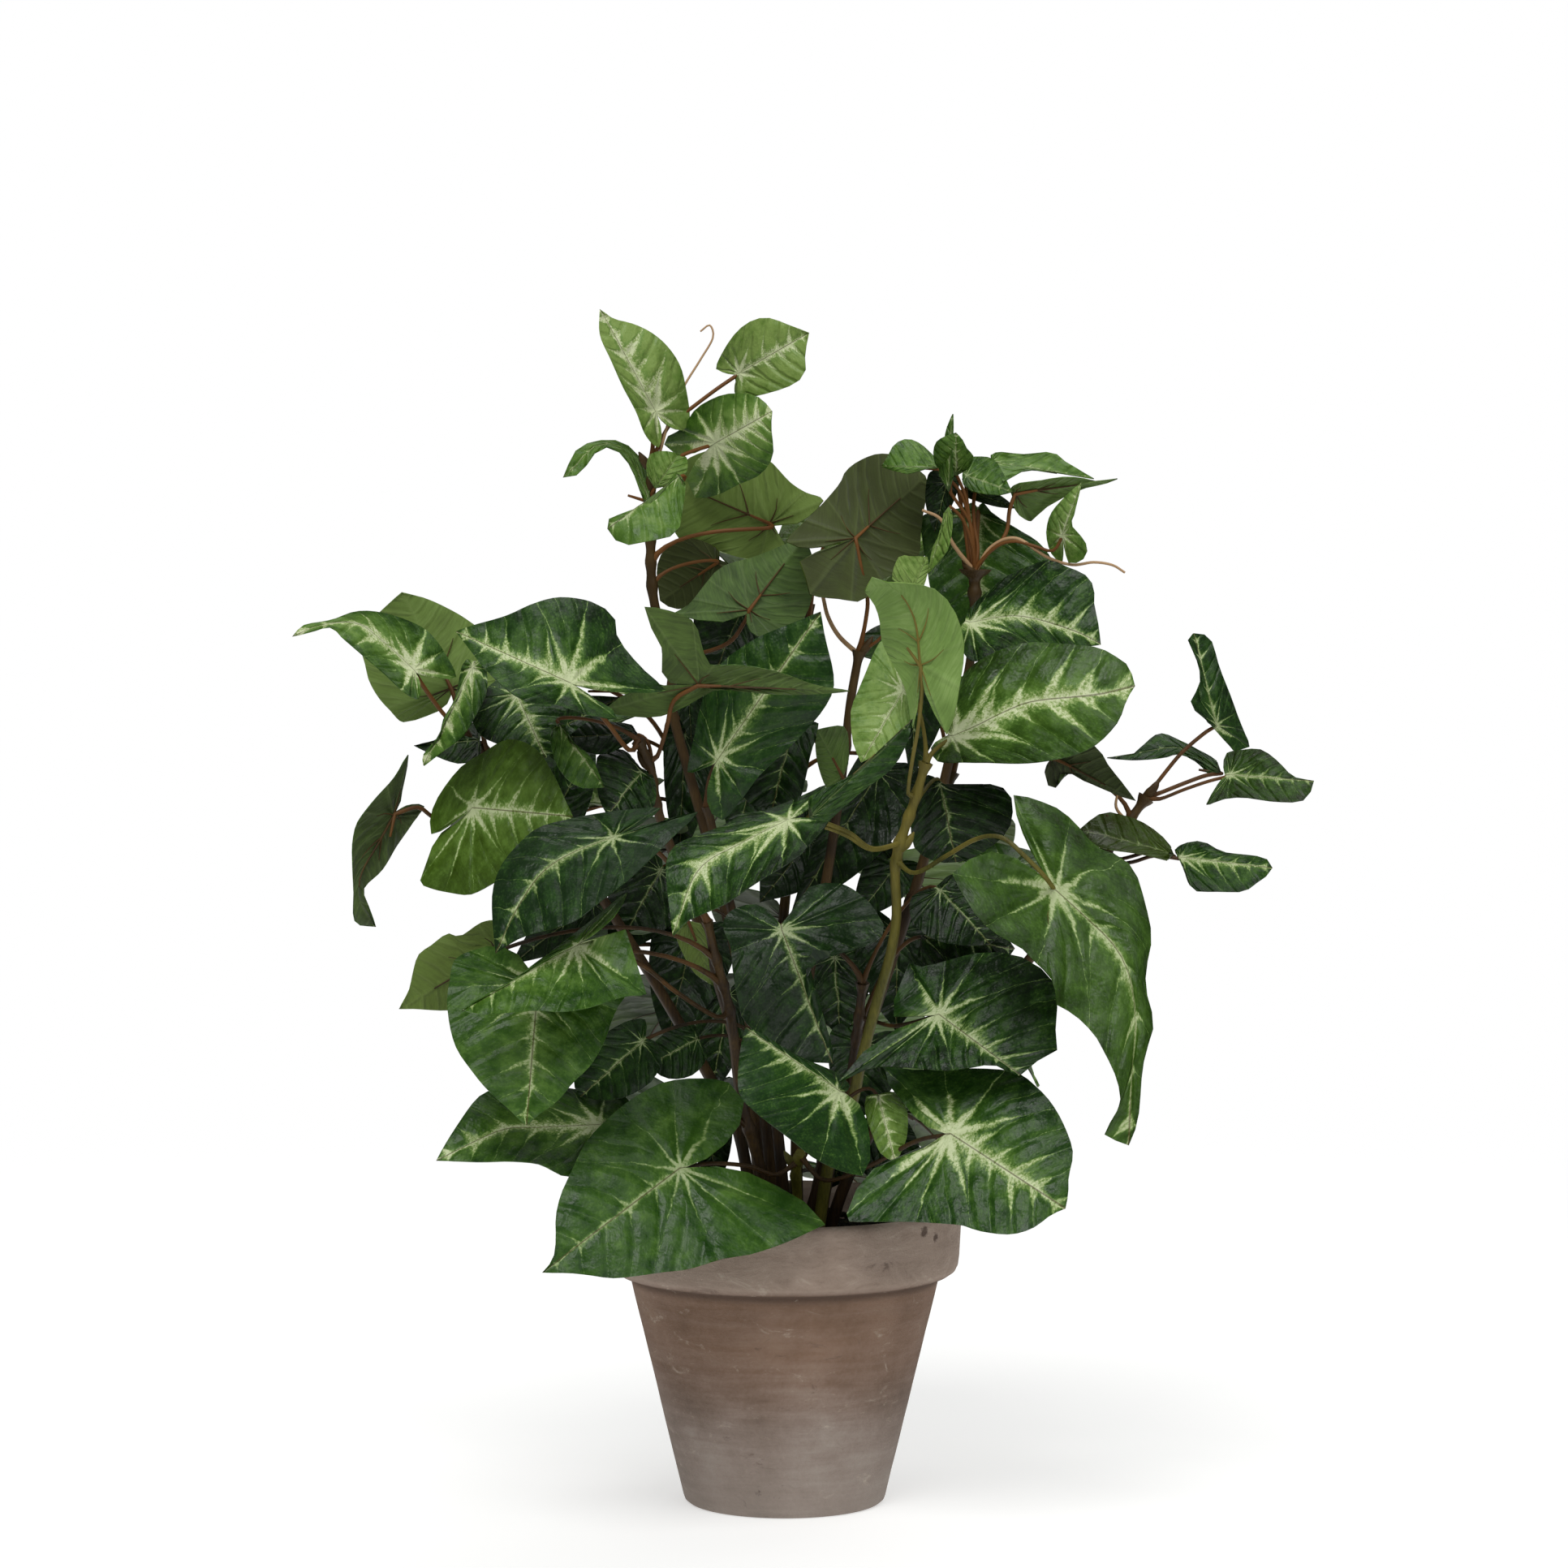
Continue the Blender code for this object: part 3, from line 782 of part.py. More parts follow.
def blade_solid(leaf):
    """The sheet given its thickness along its own normals, with a strip of faces round the rim."""
    tri = leaf.P[leaf.faces]
    fn = np.cross(tri[:, 1] - tri[:, 0], tri[:, 2] - tri[:, 0])
    nv = np.zeros_like(leaf.P)
    for k in range(3):
        np.add.at(nv, leaf.faces[:, k], fn)
    nv /= np.linalg.norm(nv, axis=1)[:, None] + 1e-12
    n, ring = len(leaf.P), list(leaf.rim)
    edges = {(f[i], f[(i + 1) % 3]) for f in leaf.faces for i in range(3)}
    if (ring[0], ring[1]) not in edges:
        ring = ring[::-1]
    faces = [tuple(f) for f in leaf.faces] + [(a + n, c + n, b + n) for a, b, c in leaf.faces]
    for p, q in zip(ring, ring[1:] + ring[:1]):
        faces += [(p, p + n, q + n), (p, q + n, q)]
    return np.vstack([leaf.P + nv * BLADE / 2, leaf.P - nv * BLADE / 2]), faces


def material(name):
    (r, g, b), rough = COLOURS[name]
    m = bpy.data.materials.get(name) or bpy.data.materials.new(name)
    m.use_nodes = True
    bsdf = m.node_tree.nodes["Principled BSDF"]
    bsdf.inputs["Base Color"].default_value = (r, g, b, 1)
    bsdf.inputs["Roughness"].default_value = rough
    bsdf.inputs["Metallic"].default_value = 0
    m.diffuse_color = (r, g, b, 1)
    return m


def add(name, verts, faces, look, where=None, slots=None):
    mesh = bpy.data.meshes.new(name)
    mesh.from_pydata([tuple(v) for v in np.array(verts) * MM], [], faces)
    mesh.update()
    bm = bmesh.new()
    bm.from_mesh(mesh)
    bmesh.ops.recalc_face_normals(bm, faces=bm.faces)
    bm.to_mesh(mesh)
    bm.free()
    for s in slots or (look,):
        mesh.materials.append(material(s))
    if slots:
        mesh.polygons.foreach_set("material_index", [slots.index(look)] * len(mesh.polygons))
    obj = bpy.data.objects.new(name, mesh)
    (where or bpy.context.scene.collection).objects.link(obj)
    return obj


def apply(obj):
    bpy.context.view_layer.update()
    graph = bpy.context.evaluated_depsgraph_get()
    mesh = bpy.data.meshes.new_from_object(obj.evaluated_get(graph))
    obj.modifiers.clear()
    obj.data = mesh


def boolean(obj, operation, collection, solver="MANIFOLD"):
    mod = obj.modifiers.new(operation.lower(), "BOOLEAN")
    mod.operation, mod.operand_type, mod.collection, mod.solver = operation, "COLLECTION", collection, solver
    apply(obj)
    for other in list(collection.objects):
        bpy.data.objects.remove(other, do_unlink=True)
    bpy.data.collections.remove(collection)


def turned(name, profile, sides, look):
    """A profile of (radius, height) from the axis round to the axis, turned about Z."""
    verts, rings = [], []
    for r, z in profile:
        n = sides if r else 1
        rings.append([len(verts) + k * (n > 1) for k in range(sides)])
        verts += [(r * math.cos(2 * math.pi * k / sides), r * math.sin(2 * math.pi * k / sides), z) for k in range(n)]
    faces = []
    for lower, upper in zip(rings, rings[1:]):
        for k in range(sides):
            face = []
            for i in (lower[k], lower[(k + 1) % sides], upper[(k + 1) % sides], upper[k]):
                if i not in face:
                    face.append(i)
            faces.append(face)
    obj = add(name, verts, faces, look)
    obj.data.shade_smooth()
    obj.data.set_sharp_from_angle(angle=math.radians(32))
    return obj


def pot():
    R, top, low = POT_RIM_R, POT_RIM_TOP, POT_RIM_TOP - POT_COLLAR
    w = POT_WALL
    outside = [(0, 0), (31.4, 0), (32.8, 1.2), (33.4, 3.2), (50.0, low - .9), (53.6, low + .3), (55.9, low + 2.2),
               (56.5, low + 5), (R, top - 2.6), (R - 1.0, top - .4), (R - 2.2, top)]
    inside = [(R - w + .8, top), (R - w - .6, top - 1.2), (R - w - 1.6, low + 2), (48.9 - w, low - 8),
              (33.4 - w + 1.6, POT_FLOOR + 3.5), (28.6, POT_FLOOR), (0, POT_FLOOR)]
    return turned("pot", outside + inside, POT_SIDES, "clay")


def soil():
    """The fill: up to a bumpy mossy top, clear of the pot's inside, with a plain hole for each stem."""
    w, g, low = POT_WALL, SOIL_GAP + .15, POT_RIM_TOP - POT_COLLAR
    R = POT_RIM_R
    wall = [(26.6, SOIL_BOTTOM), (33.4 - w + 1.6 - g - .4, POT_FLOOR + 4), (48.9 - w - g, low - 8.2),
            (R - w - 1.6 - g, low + 2), (R - w - 1.3 - g, SOIL_TOP - 1.2)]
    sides = 20
    verts = [(0, 0, SOIL_BOTTOM)]
    rings = []
    for r, z in wall:
        rings.append(len(verts))
        verts += [(r * math.cos(2 * math.pi * k / sides), r * math.sin(2 * math.pi * k / sides), z) for k in range(sides)]
    for r in (43, 33):
        rings.append(len(verts))
        for k in range(sides):
            f = 2 * math.pi * k / sides
            x, y = r * math.cos(f), r * math.sin(f)
            verts.append((x, y, SOIL_TOP + SOIL_BUMP * (math.sin(x * .31 + 1) * math.cos(y * .27 - .6)
                                                       + .5 * math.sin(x * .7 + y * .55))))
    centre = len(verts)
    verts.append((0, 0, SOIL_TOP))
    faces = [(0, rings[0] + (k + 1) % sides, rings[0] + k) for k in range(sides)]
    for a, b in zip(rings, rings[1:]):
        for k in range(sides):
            p, q = k, (k + 1) % sides
            faces += [(a + p, a + q, b + q), (a + p, b + q, b + p)]
    faces += [(rings[-1] + k, rings[-1] + (k + 1) % sides, centre) for k in range(sides)]
    obj = add("soil", verts, faces, "soil")
    holes = bpy.data.collections.new("holes")
    bpy.context.scene.collection.children.link(holes)
    for key, ((x, y), _) in STEMS.items():
        line = [(x, y, SOIL_TOP - STEM_DEPTH - HOLE_GAP), (x, y, SOIL_TOP + 12)]
        v, f = tube(line, (STEM_R0 + HOLE_GAP, STEM_R0 + HOLE_GAP), 6)
        add("hole_" + key, v, f, "soil", holes)
    boolean(obj, "DIFFERENCE", holes, "EXACT")
    return obj


def leafy_stem(key, line, stalks):
    both = ("stem", "leaf")
    parts = bpy.data.collections.new(key + "_parts")
    bpy.context.scene.collection.children.link(parts)
    v, f = tube(line, (STEM_R0, STEM_R1), 5)
    stem = add(NAMES[key], v, f, "stem", None, both)
    for leaf, _, path in stalks:
        v, f = blade_solid(leaf)
        add(leaf.name, v, f, "leaf", parts, both)
        small = leaf.L < 24
        r = PETIOLE_R * (1.35 if small else 1)
        v, f = tube(path, [r * 1.25] + [r] * (len(path) - 2) + [.5], 3)
        add(leaf.name + "_stalk", v, f, "stem", parts, both)
    for k, x, z, y, lean in BUDS:
        if k == key:
            p = seen((x, z, y))
            v, f = tube([p, p + (lean * 2.4, -.6, 2.6), p + (lean * 4.2, -1.0, 5.6)], (1.5, BUD_R, .5), 4)
            add("bud", v, f, "stem", parts, both)
    for k, r, points in TENDRILS:
        if k == key:
            v, f = tube(smooth([seen(p) for p in points], 9), (r, r * .7), 3)
            add("tendril", v, f, "stem", parts, both)
    boolean(stem, "UNION", parts)


def build():
    for obj in list(bpy.data.objects):
        bpy.data.objects.remove(obj, do_unlink=True)
    pot()
    soil()
    made, lines, trees, laid, airs = route(STEMS)
    for key in STEMS:
        leafy_stem(key, lines[key], made[key])
    return made, lines, trees, laid, airs


LAID = build()
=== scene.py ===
"""Looks of the potted syngonium: printed cloth leaves on moulded stems, an aged clay pot and a mossy fill."""
import math
import random

import bmesh
import bpy
import numpy as np
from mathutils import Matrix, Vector, noise
from mathutils.bvhtree import BVHTree


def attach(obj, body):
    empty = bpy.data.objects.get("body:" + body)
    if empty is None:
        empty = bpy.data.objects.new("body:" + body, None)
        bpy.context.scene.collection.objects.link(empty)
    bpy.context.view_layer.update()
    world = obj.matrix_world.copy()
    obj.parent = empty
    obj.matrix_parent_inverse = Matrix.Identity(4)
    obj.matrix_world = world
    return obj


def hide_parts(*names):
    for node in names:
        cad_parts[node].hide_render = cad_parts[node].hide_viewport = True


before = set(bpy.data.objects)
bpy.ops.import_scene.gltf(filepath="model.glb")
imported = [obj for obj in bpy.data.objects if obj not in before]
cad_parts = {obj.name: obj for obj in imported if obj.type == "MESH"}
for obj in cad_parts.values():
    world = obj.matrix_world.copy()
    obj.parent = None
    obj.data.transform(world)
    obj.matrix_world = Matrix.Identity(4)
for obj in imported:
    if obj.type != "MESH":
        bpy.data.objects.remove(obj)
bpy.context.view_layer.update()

bl_info = {"name": "Potted syngonium looks", "version": (1, 0, 0), "blender": (4, 5, 0),
           "location": "View3D > Sidebar > Syngonium", "category": "Object",
           "description": "Dresses the potted syngonium: leaves, stalks, clay pot, moss and stage"}

MM = 0.001
EYE = np.array([0.0, -1600.0, 324.0])   # the front viewpoint, mm

POT_RIM_R, POT_RIM_TOP, POT_COLLAR = 57.5, 96.4, 22.0
POT_WALL, POT_FLOOR = 4.5, 6.0
SOIL_TOP = 87.0
STEM_DEPTH = 24.0                       # how far a stem stands in the soil
STEM_R0, STEM_R1 = 2.3, 1.7             # stem radius at the soil and at its last fork
PETIOLE_R, BUD_R = 1.0, 1.6
STALK_FOOT = 6.0                        # no stalk leaves its stem lower than this over the soil
NODE_GAP, NODE_COST = 7.0, 14.0         # stalks of a stem start this far apart, or count as this much longer
BLADE = 0.7                             # blade thickness in CAD
CLEAR = 0.45                            # least air between things of different stems

# Ways a leaf stalk may bow out of its straight way, mm.
BENDS = ((0, 0, 0), (0, 0, -10), (0, 0, 10), (0, 10, 0), (0, -10, 0), (10, 0, 0), (-10, 0, 0), (0, 14, -14),
         (0, -14, -14), (0, 14, 14), (14, 0, -14), (-14, 0, -14), (0, 24, 0), (0, -24, 0), (0, 0, -24),
         (22, 0, 0), (-22, 0, 0))

# The half outline of a plain leaf: along the midrib, and out from it.
EDGE = ((1, 0), (.93, .12), (.80, .36), (.60, .66), (.36, .88), (.10, .99), (-.25, 1.0), (-.70, .92),
        (-1.0, .66), (-.80, .27), (-.10, 0))

# Where each stem leaves the soil (x, y), and the points it passes as (x, z, depth).
STEMS = {
    "a": ((-3, -.5), [(-7, 130, 2), (-14, 170, 6), (-25, 215, 8), (-36, 255, 6), (-36, 267, 5), (-38.6, 279, 4),
                      (-41.6, 289, 3), (-42.8, 299, 2.5), (-43, 318, 0), (-42.5, 336, -3)]),
    "b": ((-6.5, -7), [(-11, 125, -12), (-19, 160, -18), (-31, 196, -28), (-41, 224, -38), (-43, 237, -42),
                       (-47, 246, -46)]),
    "c": ((4, -.5), [(4, 125, 4), (7, 165, 8), (14, 205, 6), (19, 240, 0), (21, 258, -4), (24, 275, -6)]),
    "d": ((11, -13), [(15, 113, -18), (22, 130, -25), (24, 140, -28), (30, 163, -34), (34, 177, -38), (36, 190, -41),
                      (35.5, 205, -44), (38, 216, -46), (41.5, 226, -48), (45.3, 239, -50)]),
    "e": ((7.5, -7), [(14, 112, -8), (20, 130, -13), (24, 157, -25), (25, 168, -29)]),
    "f": ((11.5, -.5), [(18, 125, 4), (31, 165, 6), (44, 205, 4), (54, 245, 0), (60, 275, -2), (61, 301, -3)]),
    "g": ((-10, -.5), [(-15, 120, 1), (-24, 137, 2), (-40, 165, 2), (-62, 200, -2), (-84, 228, -8),
                       (-104, 250, -12)]),
    "h": ((-3, -13), [(-9, 112, -20), (-14, 130, -28), (-16.5, 150, -36), (-18, 160, -42), (-22, 175, -53),
                      (-25, 188, -61)]),
    "i": ((.3, -7), [(-3, 125, -10), (-9, 160, -14), (-18, 195, -19), (-25, 225, -25)]),
    "j": ((15, -7), [(27, 118, -10), (50, 143, -10), (76, 172, -12), (100, 206, -14), (110.3, 219.7, -14.2),
                     (116.2, 227.8, -13.2)]),
    "k": ((4, -14), [(4, 100, -17), (3.5, 106, -22), (5, 113, -30)]),
    "r1": ((-6, 6.5), [(-10, 125, 16), (-22, 170, 34), (-32, 215, 46), (-34, 250, 50)]),
    "r2": ((1.5, 6.5), [(-4, 125, 18), (-2, 170, 38), (2, 215, 54), (6, 262, 58), (8, 290, 58)]),
    "r3": ((9, 6.5), [(16, 125, 16), (30, 165, 32), (44, 205, 44), (54, 236, 48)]),
}

# Forks that carry a bud stub, as (stem, x, z, depth, sideways lean).
BUDS = (("a", -42.5, 333, -3, -1), ("b", -43, 237, -42, -1), ("c", 24, 274, -6, 1), ("d", 37.2, 211, -45, 1),
        ("f", 61, 299, -3, -1), ("j", 107.6, 216.6, -14.3, -1), ("j", 116, 228, -13, 1), ("k", 4, 108, -24, -1))

# Fine tendrils and bare twigs, as (stem, radius, points (x, z, depth)).
TENDRILS = (
    ("a", .6, [(-42.3, 330, -2), (-36, 352, 0), (-32, 360, 1), (-27, 368, 2), (-23, 375, 3), (-24, 379, 4),
              (-27, 377, 4)]),
    ("f", .8, [(61, 300, -3), (66, 308, -5), (74, 311, -9), (84, 305, -11), (92, 302.5, -10),
              (99, 303.3, -9), (105, 302.4, -8), (109, 300, -7)]),
    ("f", .9, [(61, 300, -3), (54, 309, -7), (50, 317, -8), (44, 320, -8)]),
    ("j", .7, [(110, 220, -14), (106.5, 224.6, -15.6), (107.2, 230, -16.3)]),
    ("c", 1.0, [(24, 273.5, -6), (17.5, 279.5, -3), (13.8, 286, 0), (12, 293, 2), (9, 300, 4)]),
)

# Leaves of each stem: name, joint and tip as (x, z, depth), turn about the midrib in degrees, the margin's two sides
# as (x, z) from the tip round to the notch, and the shape. Leaves that stand hidden behind others give a half
# width and a lobe length for each side in place of a margin. In a shape, fold, arch, cup, wave and roll bend the
# blade, mid is a midrib that curves, via is where the stalk passes, and small marks a young leaf.
LEAVES = {
"a": [
    ("A1", (-41.5, 351.5, -6), (-59, 384, -14), 43,
     [(-59, 376), (-55.5, 368), (-51.5, 359), (-47.5, 351.5), (-44.5, 344), (-40.5, 340), (-39.5, 345)],
     [(-54.5, 381), (-48.5, 379.4), (-42.5, 376.5), (-37.3, 372), (-33.5, 366), (-31.5, 358), (-30.5, 349),
     (-33, 345.5), (-37.5, 347)],
     dict(fold=.3, arch=3)),
    ("A2", (-14.6, 363.7, 5), (7.7, 376.6, -3), -15,
     [(1, 379.2), (-5.3, 381.4), (-10.5, 380.5), (-14.8, 377.5), (-18.2, 373.2), (-21.3, 367.5),
     (-21.9, 365), (-19, 363.8)],
     [(6.4, 369.7), (6.7, 364.5), (4.2, 361), (0, 359), (-6, 357.2), (-14, 355.6), (-16, 358),
     (-15.6, 361.5)],
     dict(fold=.1, arch=2, via=[(-37, 347, 2), (-30, 352.5, 3), (-22, 358.5, 4)])),
    ("A3", (-22, 341.5, -8), (-4, 351.6, -26), -10,
     [(-8.7, 356.3), (-17.8, 357.2), (-24.3, 355), (-29, 351.6), (-33, 345.5), (-36.4, 344.6),
     (-38.5, 341), (-35.5, 337.7), (-29.5, 338)],
     [(-4.4, 346.4), (-3.7, 338.6), (-5.3, 334.3), (-8.7, 330.8), (-14.8, 328.2), (-21.7, 324.8),
     (-28.6, 324), (-31, 327), (-31, 332), (-28, 336)],
     dict(fold=-.1, arch=3)),
    ("A4", (-43.5, 323, -4), (-71, 330.5, -10), 40,
     [(-69.5, 334), (-68, 337.5), (-65.5, 340.5), (-62, 341.5), (-58, 342.4), (-53, 342.1), (-50, 340.5),
     (-47, 337.5), (-44.5, 334), (-43, 329)],
     [(-68, 330.5), (-65, 332.5), (-62.5, 335.5), (-60, 339), (-57, 340), (-53, 338.5), (-49.5, 334),
     (-47, 328), (-45, 322.5)],
     dict(fold=.1, arch=0, wave=0, cols=(6, 1, 1), mid=[(-46.5, 331), (-50.5, 338), (-56, 341.3),
          (-62, 339.6), (-67, 334)])),
    ("A5", (-33.5, 331, -13), (-56.7, 314, -24), 35,
     [(-52.4, 309), (-44.2, 310), (-34.7, 312.7), (-32.7, 320.4), (-31.8, 328)],
     [(-56.7, 316.8), (-52, 318.8), (-47.6, 320.4), (-43.3, 321.5), (-38.5, 326.5), (-35, 332)],
     dict(fold=-.3, arch=2)),
    ("A5b", (-41.5, 327, -6), (-34, 338, -3), 10,
     [(-38, 338.8), (-43.3, 337.7), (-44, 331)],
     [(-31.5, 337), (-31.5, 332), (-36, 328)],
     dict(small=1)),
    ("A6", (-4.8, 315.7, 4), (-38, 330, 14), 172,
     [(-30, 337), (-18, 340), (-8, 337.5), (-4, 335), (1.6, 329), (6.8, 325.6), (12.4, 323), (5, 316),
     (0, 315.5)],
     [(-37, 318), (-33, 310), (-25, 308.5), (-15, 305), (-7, 304.5), (0, 307.5), (-2, 312)],
     dict(fold=.1)),
    ("A7", (-22.1, 303, 12), (-40, 291, 18), 170,
     [(-41, 302), (-37, 309), (-30, 311), (-22, 308)],
     [(-36, 288.5), (-30, 289), (-22, 295), (-18, 302)],
     dict()),
    ("B1", (-11.5, 288, -30), (6, 311, -12), -172,
     [(9, 305), (10, 297), (8, 290), (6, 285), (-1, 281), (-9, 279.5), (-12, 283)],
     [(0, 309), (-10, 305), (-20, 302), (-25, 297), (-31, 289.5), (-36, 286.8), (-26, 284.5), (-16, 284.5)],
     dict(fold=.1, via=[(-28, 274, -8), (-18, 277.5, -20), (-13, 284, -28)])),
],
"b": [
    ("D1", (-69, 264.5, -72), (-105.5, 281, -60), 40,
     [(-102, 276.5), (-97, 270), (-91, 264), (-86.5, 260.5), (-80.5, 258), (-73, 257.5), (-64, 254.5),
     (-54, 253), (-54, 255), (-61, 259.5)],
     [(-100, 283), (-89.5, 286), (-80.5, 290), (-72, 292), (-62, 290.5), (-55, 286), (-54, 280),
     (-50.5, 274.5), (-44, 267.5), (-38, 262), (-48, 261.5), (-58, 262)],
     dict(fold=.1, arch=6, cup=-4, via=[(-50, 243, -50), (-58, 253, -60), (-66, 261.5, -69)])),
    ("C18", (-27.5, 264, -52), (21, 262, -60), -150,
     [(10, 261), (-3, 261), (-15, 262), (-23, 262.2), (-30, 258), (-40, 253.8), (-50, 254), (-58, 256),
     (-50, 261.5), (-42, 263.5)],
     [(10, 264), (0, 267.5), (-8, 269.5), (-16, 270.5), (-24, 270.5), (-26.5, 276), (-29, 284),
     (-36, 287.5), (-45, 289), (-44.5, 285), (-39.8, 277), (-38.6, 269.5), (-41, 265.5)],
     dict(fold=.1, arch=3, roll=0, via=[(-41, 241, -43), (-38, 250, -46), (-35.5, 259, -50)])),
    ("D32", (-46, 236, -42), (-57, 222, -50), 20,
     [(-50, 220), (-42, 225), (-42, 234)],
     [(-60, 229), (-60, 241.5), (-52, 243)],
     dict(small=1)),
    ("D33", (-72.4, 251.6, -47.4), (-58, 231, -54), -15,
     [(-62.5, 241), (-68.5, 246), (-70.5, 251)],
     [(-66, 231), (-72, 236), (-75, 244), (-75, 250)],
     dict(small=1)),
    ("D34", (-47.5, 248.3, -40), (-70, 247, -30), 40,
     [(-63, 242), (-56, 242.3), (-49, 246)],
     [(-63, 252), (-56, 252), (-49, 251)],
     dict(small=1)),
],
"c": [
    ("C1", (22.5, 311, -10), (45, 331, 14), -170,
     [(46, 327), (44.5, 320), (43.5, 312), (43, 306), (38, 301), (30, 297), (25, 291), (18, 291.5),
     (8, 293), (6.5, 299), (5, 304)],
     [(38, 336.5), (30, 338), (23, 335.3), (19.2, 332), (18, 329), (12.5, 322.5), (6, 316), (.5, 309.8),
     (9, 307.8)],
     dict(fold=.1, arch=3, via=[(26, 285, -9), (26.5, 292, -10), (24.5, 301, -11)])),
    ("C15", (40.5, 293.6, -16.6), (45.5, 305, -12), 10,
     [(40, 305.2), (36.5, 305), (34.5, 298)],
     [(46, 303), (45.5, 299), (44, 295)],
     dict(small=1, via=[(29, 277.5, -8), (35, 284, -12)])),
    ("D36", (18.6, 234.6, -12.6), (10.5, 249.5, -16), 165,
     [(9.8, 245), (10.8, 238), (13.4, 231), (17, 230.5)],
     [(15, 250.5), (19.8, 250), (20.5, 240)],
     dict(small=1)),
    ("D37", (3, 252, -10), (-4, 224, -20), 10,
     [(4, 226), (6.5, 233), (8.3, 242), (10.8, 251.5)],
     [(-13, 227), (-14, 240), (-8, 250)],
     dict(small=1, via=[(15.5, 243.5, -6), (8, 247, -9)])),
],
"d": [
    ("C14", (43.5, 270.5, -66), (25.5, 294, -74), 155,
     [(28.8, 289.5), (30.4, 284.5), (31.2, 278), (34.5, 271), (38, 264.5), (39.8, 258), (41.2, 250),
     (42.8, 258)],
     [(28, 298.5), (32, 297), (41.5, 296.5), (48.5, 294.5), (53, 290), (56, 284), (57.6, 277), (57.2, 270),
     (56, 263), (54.6, 254.5), (52, 248), (49.5, 252), (46.5, 258), (44.8, 262.5)],
     dict(fold=.1, arch=5, mid=[(41.5, 285.7), (34.6, 295.3)], via=[(39.7, 229, -51), (41, 240, -56),
          (42.8, 250, -60), (44, 262, -64)])),
    ("C16", (38, 262, -48), (24.5, 239, -56), 12,
     [(31, 242.5), (36.5, 247), (40, 252), (42, 259), (41, 265)],
     [(22, 245), (21.4, 250), (21.2, 256), (23.5, 262), (26, 268), (29, 275), (32, 279), (36, 275)],
     dict(fold=.1)),
    ("C13", (54, 247.5, -44), (112.3, 263.5, -56), -37,
     [(110.2, 270), (105, 273.7), (100, 276), (90, 277), (78, 277.5), (69.5, 275.3), (60, 270), (54, 262),
     (50, 254)],
     [(109.7, 259), (107.5, 253), (104, 248.5), (99.5, 244.5), (92.5, 241.3), (82, 239.2), (73.5, 238.7),
     (65, 239), (56.5, 239), (49, 239.5), (47, 244)],
     dict(fold=.2, arch=4, mid=[(62, 251), (70, 255), (80, 258.7), (100, 260.7)])),
    ("D10", (1, 220.5, -88), (-36, 183, -108), 38,
     [(-32, 187.5), (-28, 189.5), (-19, 193.5), (-14, 197), (-6, 202.3), (0, 205.8), (5, 209.3), (10, 215),
     (14, 220), (8, 221)],
     [(-37, 191), (-38, 200), (-38, 207.5), (-35, 212.5), (-28, 215.5), (-19, 219), (-14, 222.3),
     (-7, 223.5), (1, 226.3), (8, 229.5), (13.5, 231.8), (9, 225)],
     dict(fold=.2, arch=4, mid=[(-14, 213), (-28, 204)], via=[(28, 211, -58), (20, 215.5, -68),
          (12, 218.5, -78)])),
    ("D10b", (8, 221.5, -86), (41, 253, -78), 30,
     [(35, 243), (26, 237.3), (16, 232), (8, 228)],
     [(39.5, 246), (34.3, 237), (25, 230), (16.5, 222.5), (10, 216.5)],
     dict(small=1, wave=0, via=[(28, 211.4, -58), (21, 216.2, -68), (14, 219.2, -78)])),
    ("D23a", (87, 198, -80), (111, 115.3, -96), -20,
     [(113, 120), (114.3, 127), (114.8, 136), (116, 144.5), (118.6, 153), (118.3, 158), (116.4, 165),
     (116.2, 172), (118, 182), (117, 189), (115, 197), (112, 205), (106, 209.5), (99.8, 212), (95, 217.6),
     (88.5, 223.7), (80, 227.2), (73.5, 228.5), (74.8, 221), (78, 213), (82.5, 205)],
     [(103.2, 118.8), (106, 124), (108.4, 130), (106.6, 138), (103, 145.5), (99.4, 151.7), (92.5, 158.3),
     (87.8, 160.5), (87, 166.5), (85, 170.5), (80, 175.3), (75.5, 179.8), (70, 182.5), (63.4, 187.6),
     (59, 193.7), (53.8, 203.2), (56.5, 206), (65, 210.2), (73.8, 208.4), (80, 204.5)],
     dict(fold=0, arch=5, mid=[(98, 188), (106, 180), (111, 170), (113, 155), (112, 140)],
          via=[(42, 203.5, -52), (52, 209, -64), (60, 213.7, -76), (66, 215.4, -83), (71, 214.3, -86),
          (76, 210, -88), (83, 203, -87)])),
    ("D28", (50, 232, -30), (55, 207, -36), 0,
     [(62, 209), (71, 216), (73.3, 223), (72, 229.5), (66, 232), (60, 231), (55, 230)],
     [(49, 207), (42, 211), (40.5, 220), (42, 230), (46, 235)],
     dict(small=1)),
],
"e": [
    ("D18", (17.5, 133, -62), (-12.7, 153.4, -72), 50,
     [(-14.5, 145), (-15, 133), (-11.5, 128), (-5, 122.5), (1, 118), (7, 113), (11.5, 110), (18, 107),
     (25, 105.5), (27.2, 108), (27.4, 114), (27, 121), (24, 128.5)],
     [(-8, 151.7), (2.5, 145.3), (11, 141.3), (17, 138.5), (21, 134.5)],
     dict(fold=-.2, arch=3)),
    ("D19", (-1, 185, -44), (15.3, 142, -60), -5,
     [(15.2, 147.3), (13, 155), (10.4, 164), (8.6, 171), (7, 177), (9.5, 178.7), (21, 178.5), (29, 181),
     (32.3, 185), (30, 190), (26, 195), (18, 200), (8, 199), (3, 192)],
     [(4, 143), (-6, 149), (-13.3, 156), (-15, 162), (-16.7, 171), (-17.5, 179.5), (-20, 187), (-16, 192),
     (-8, 193)],
     dict(fold=.1)),
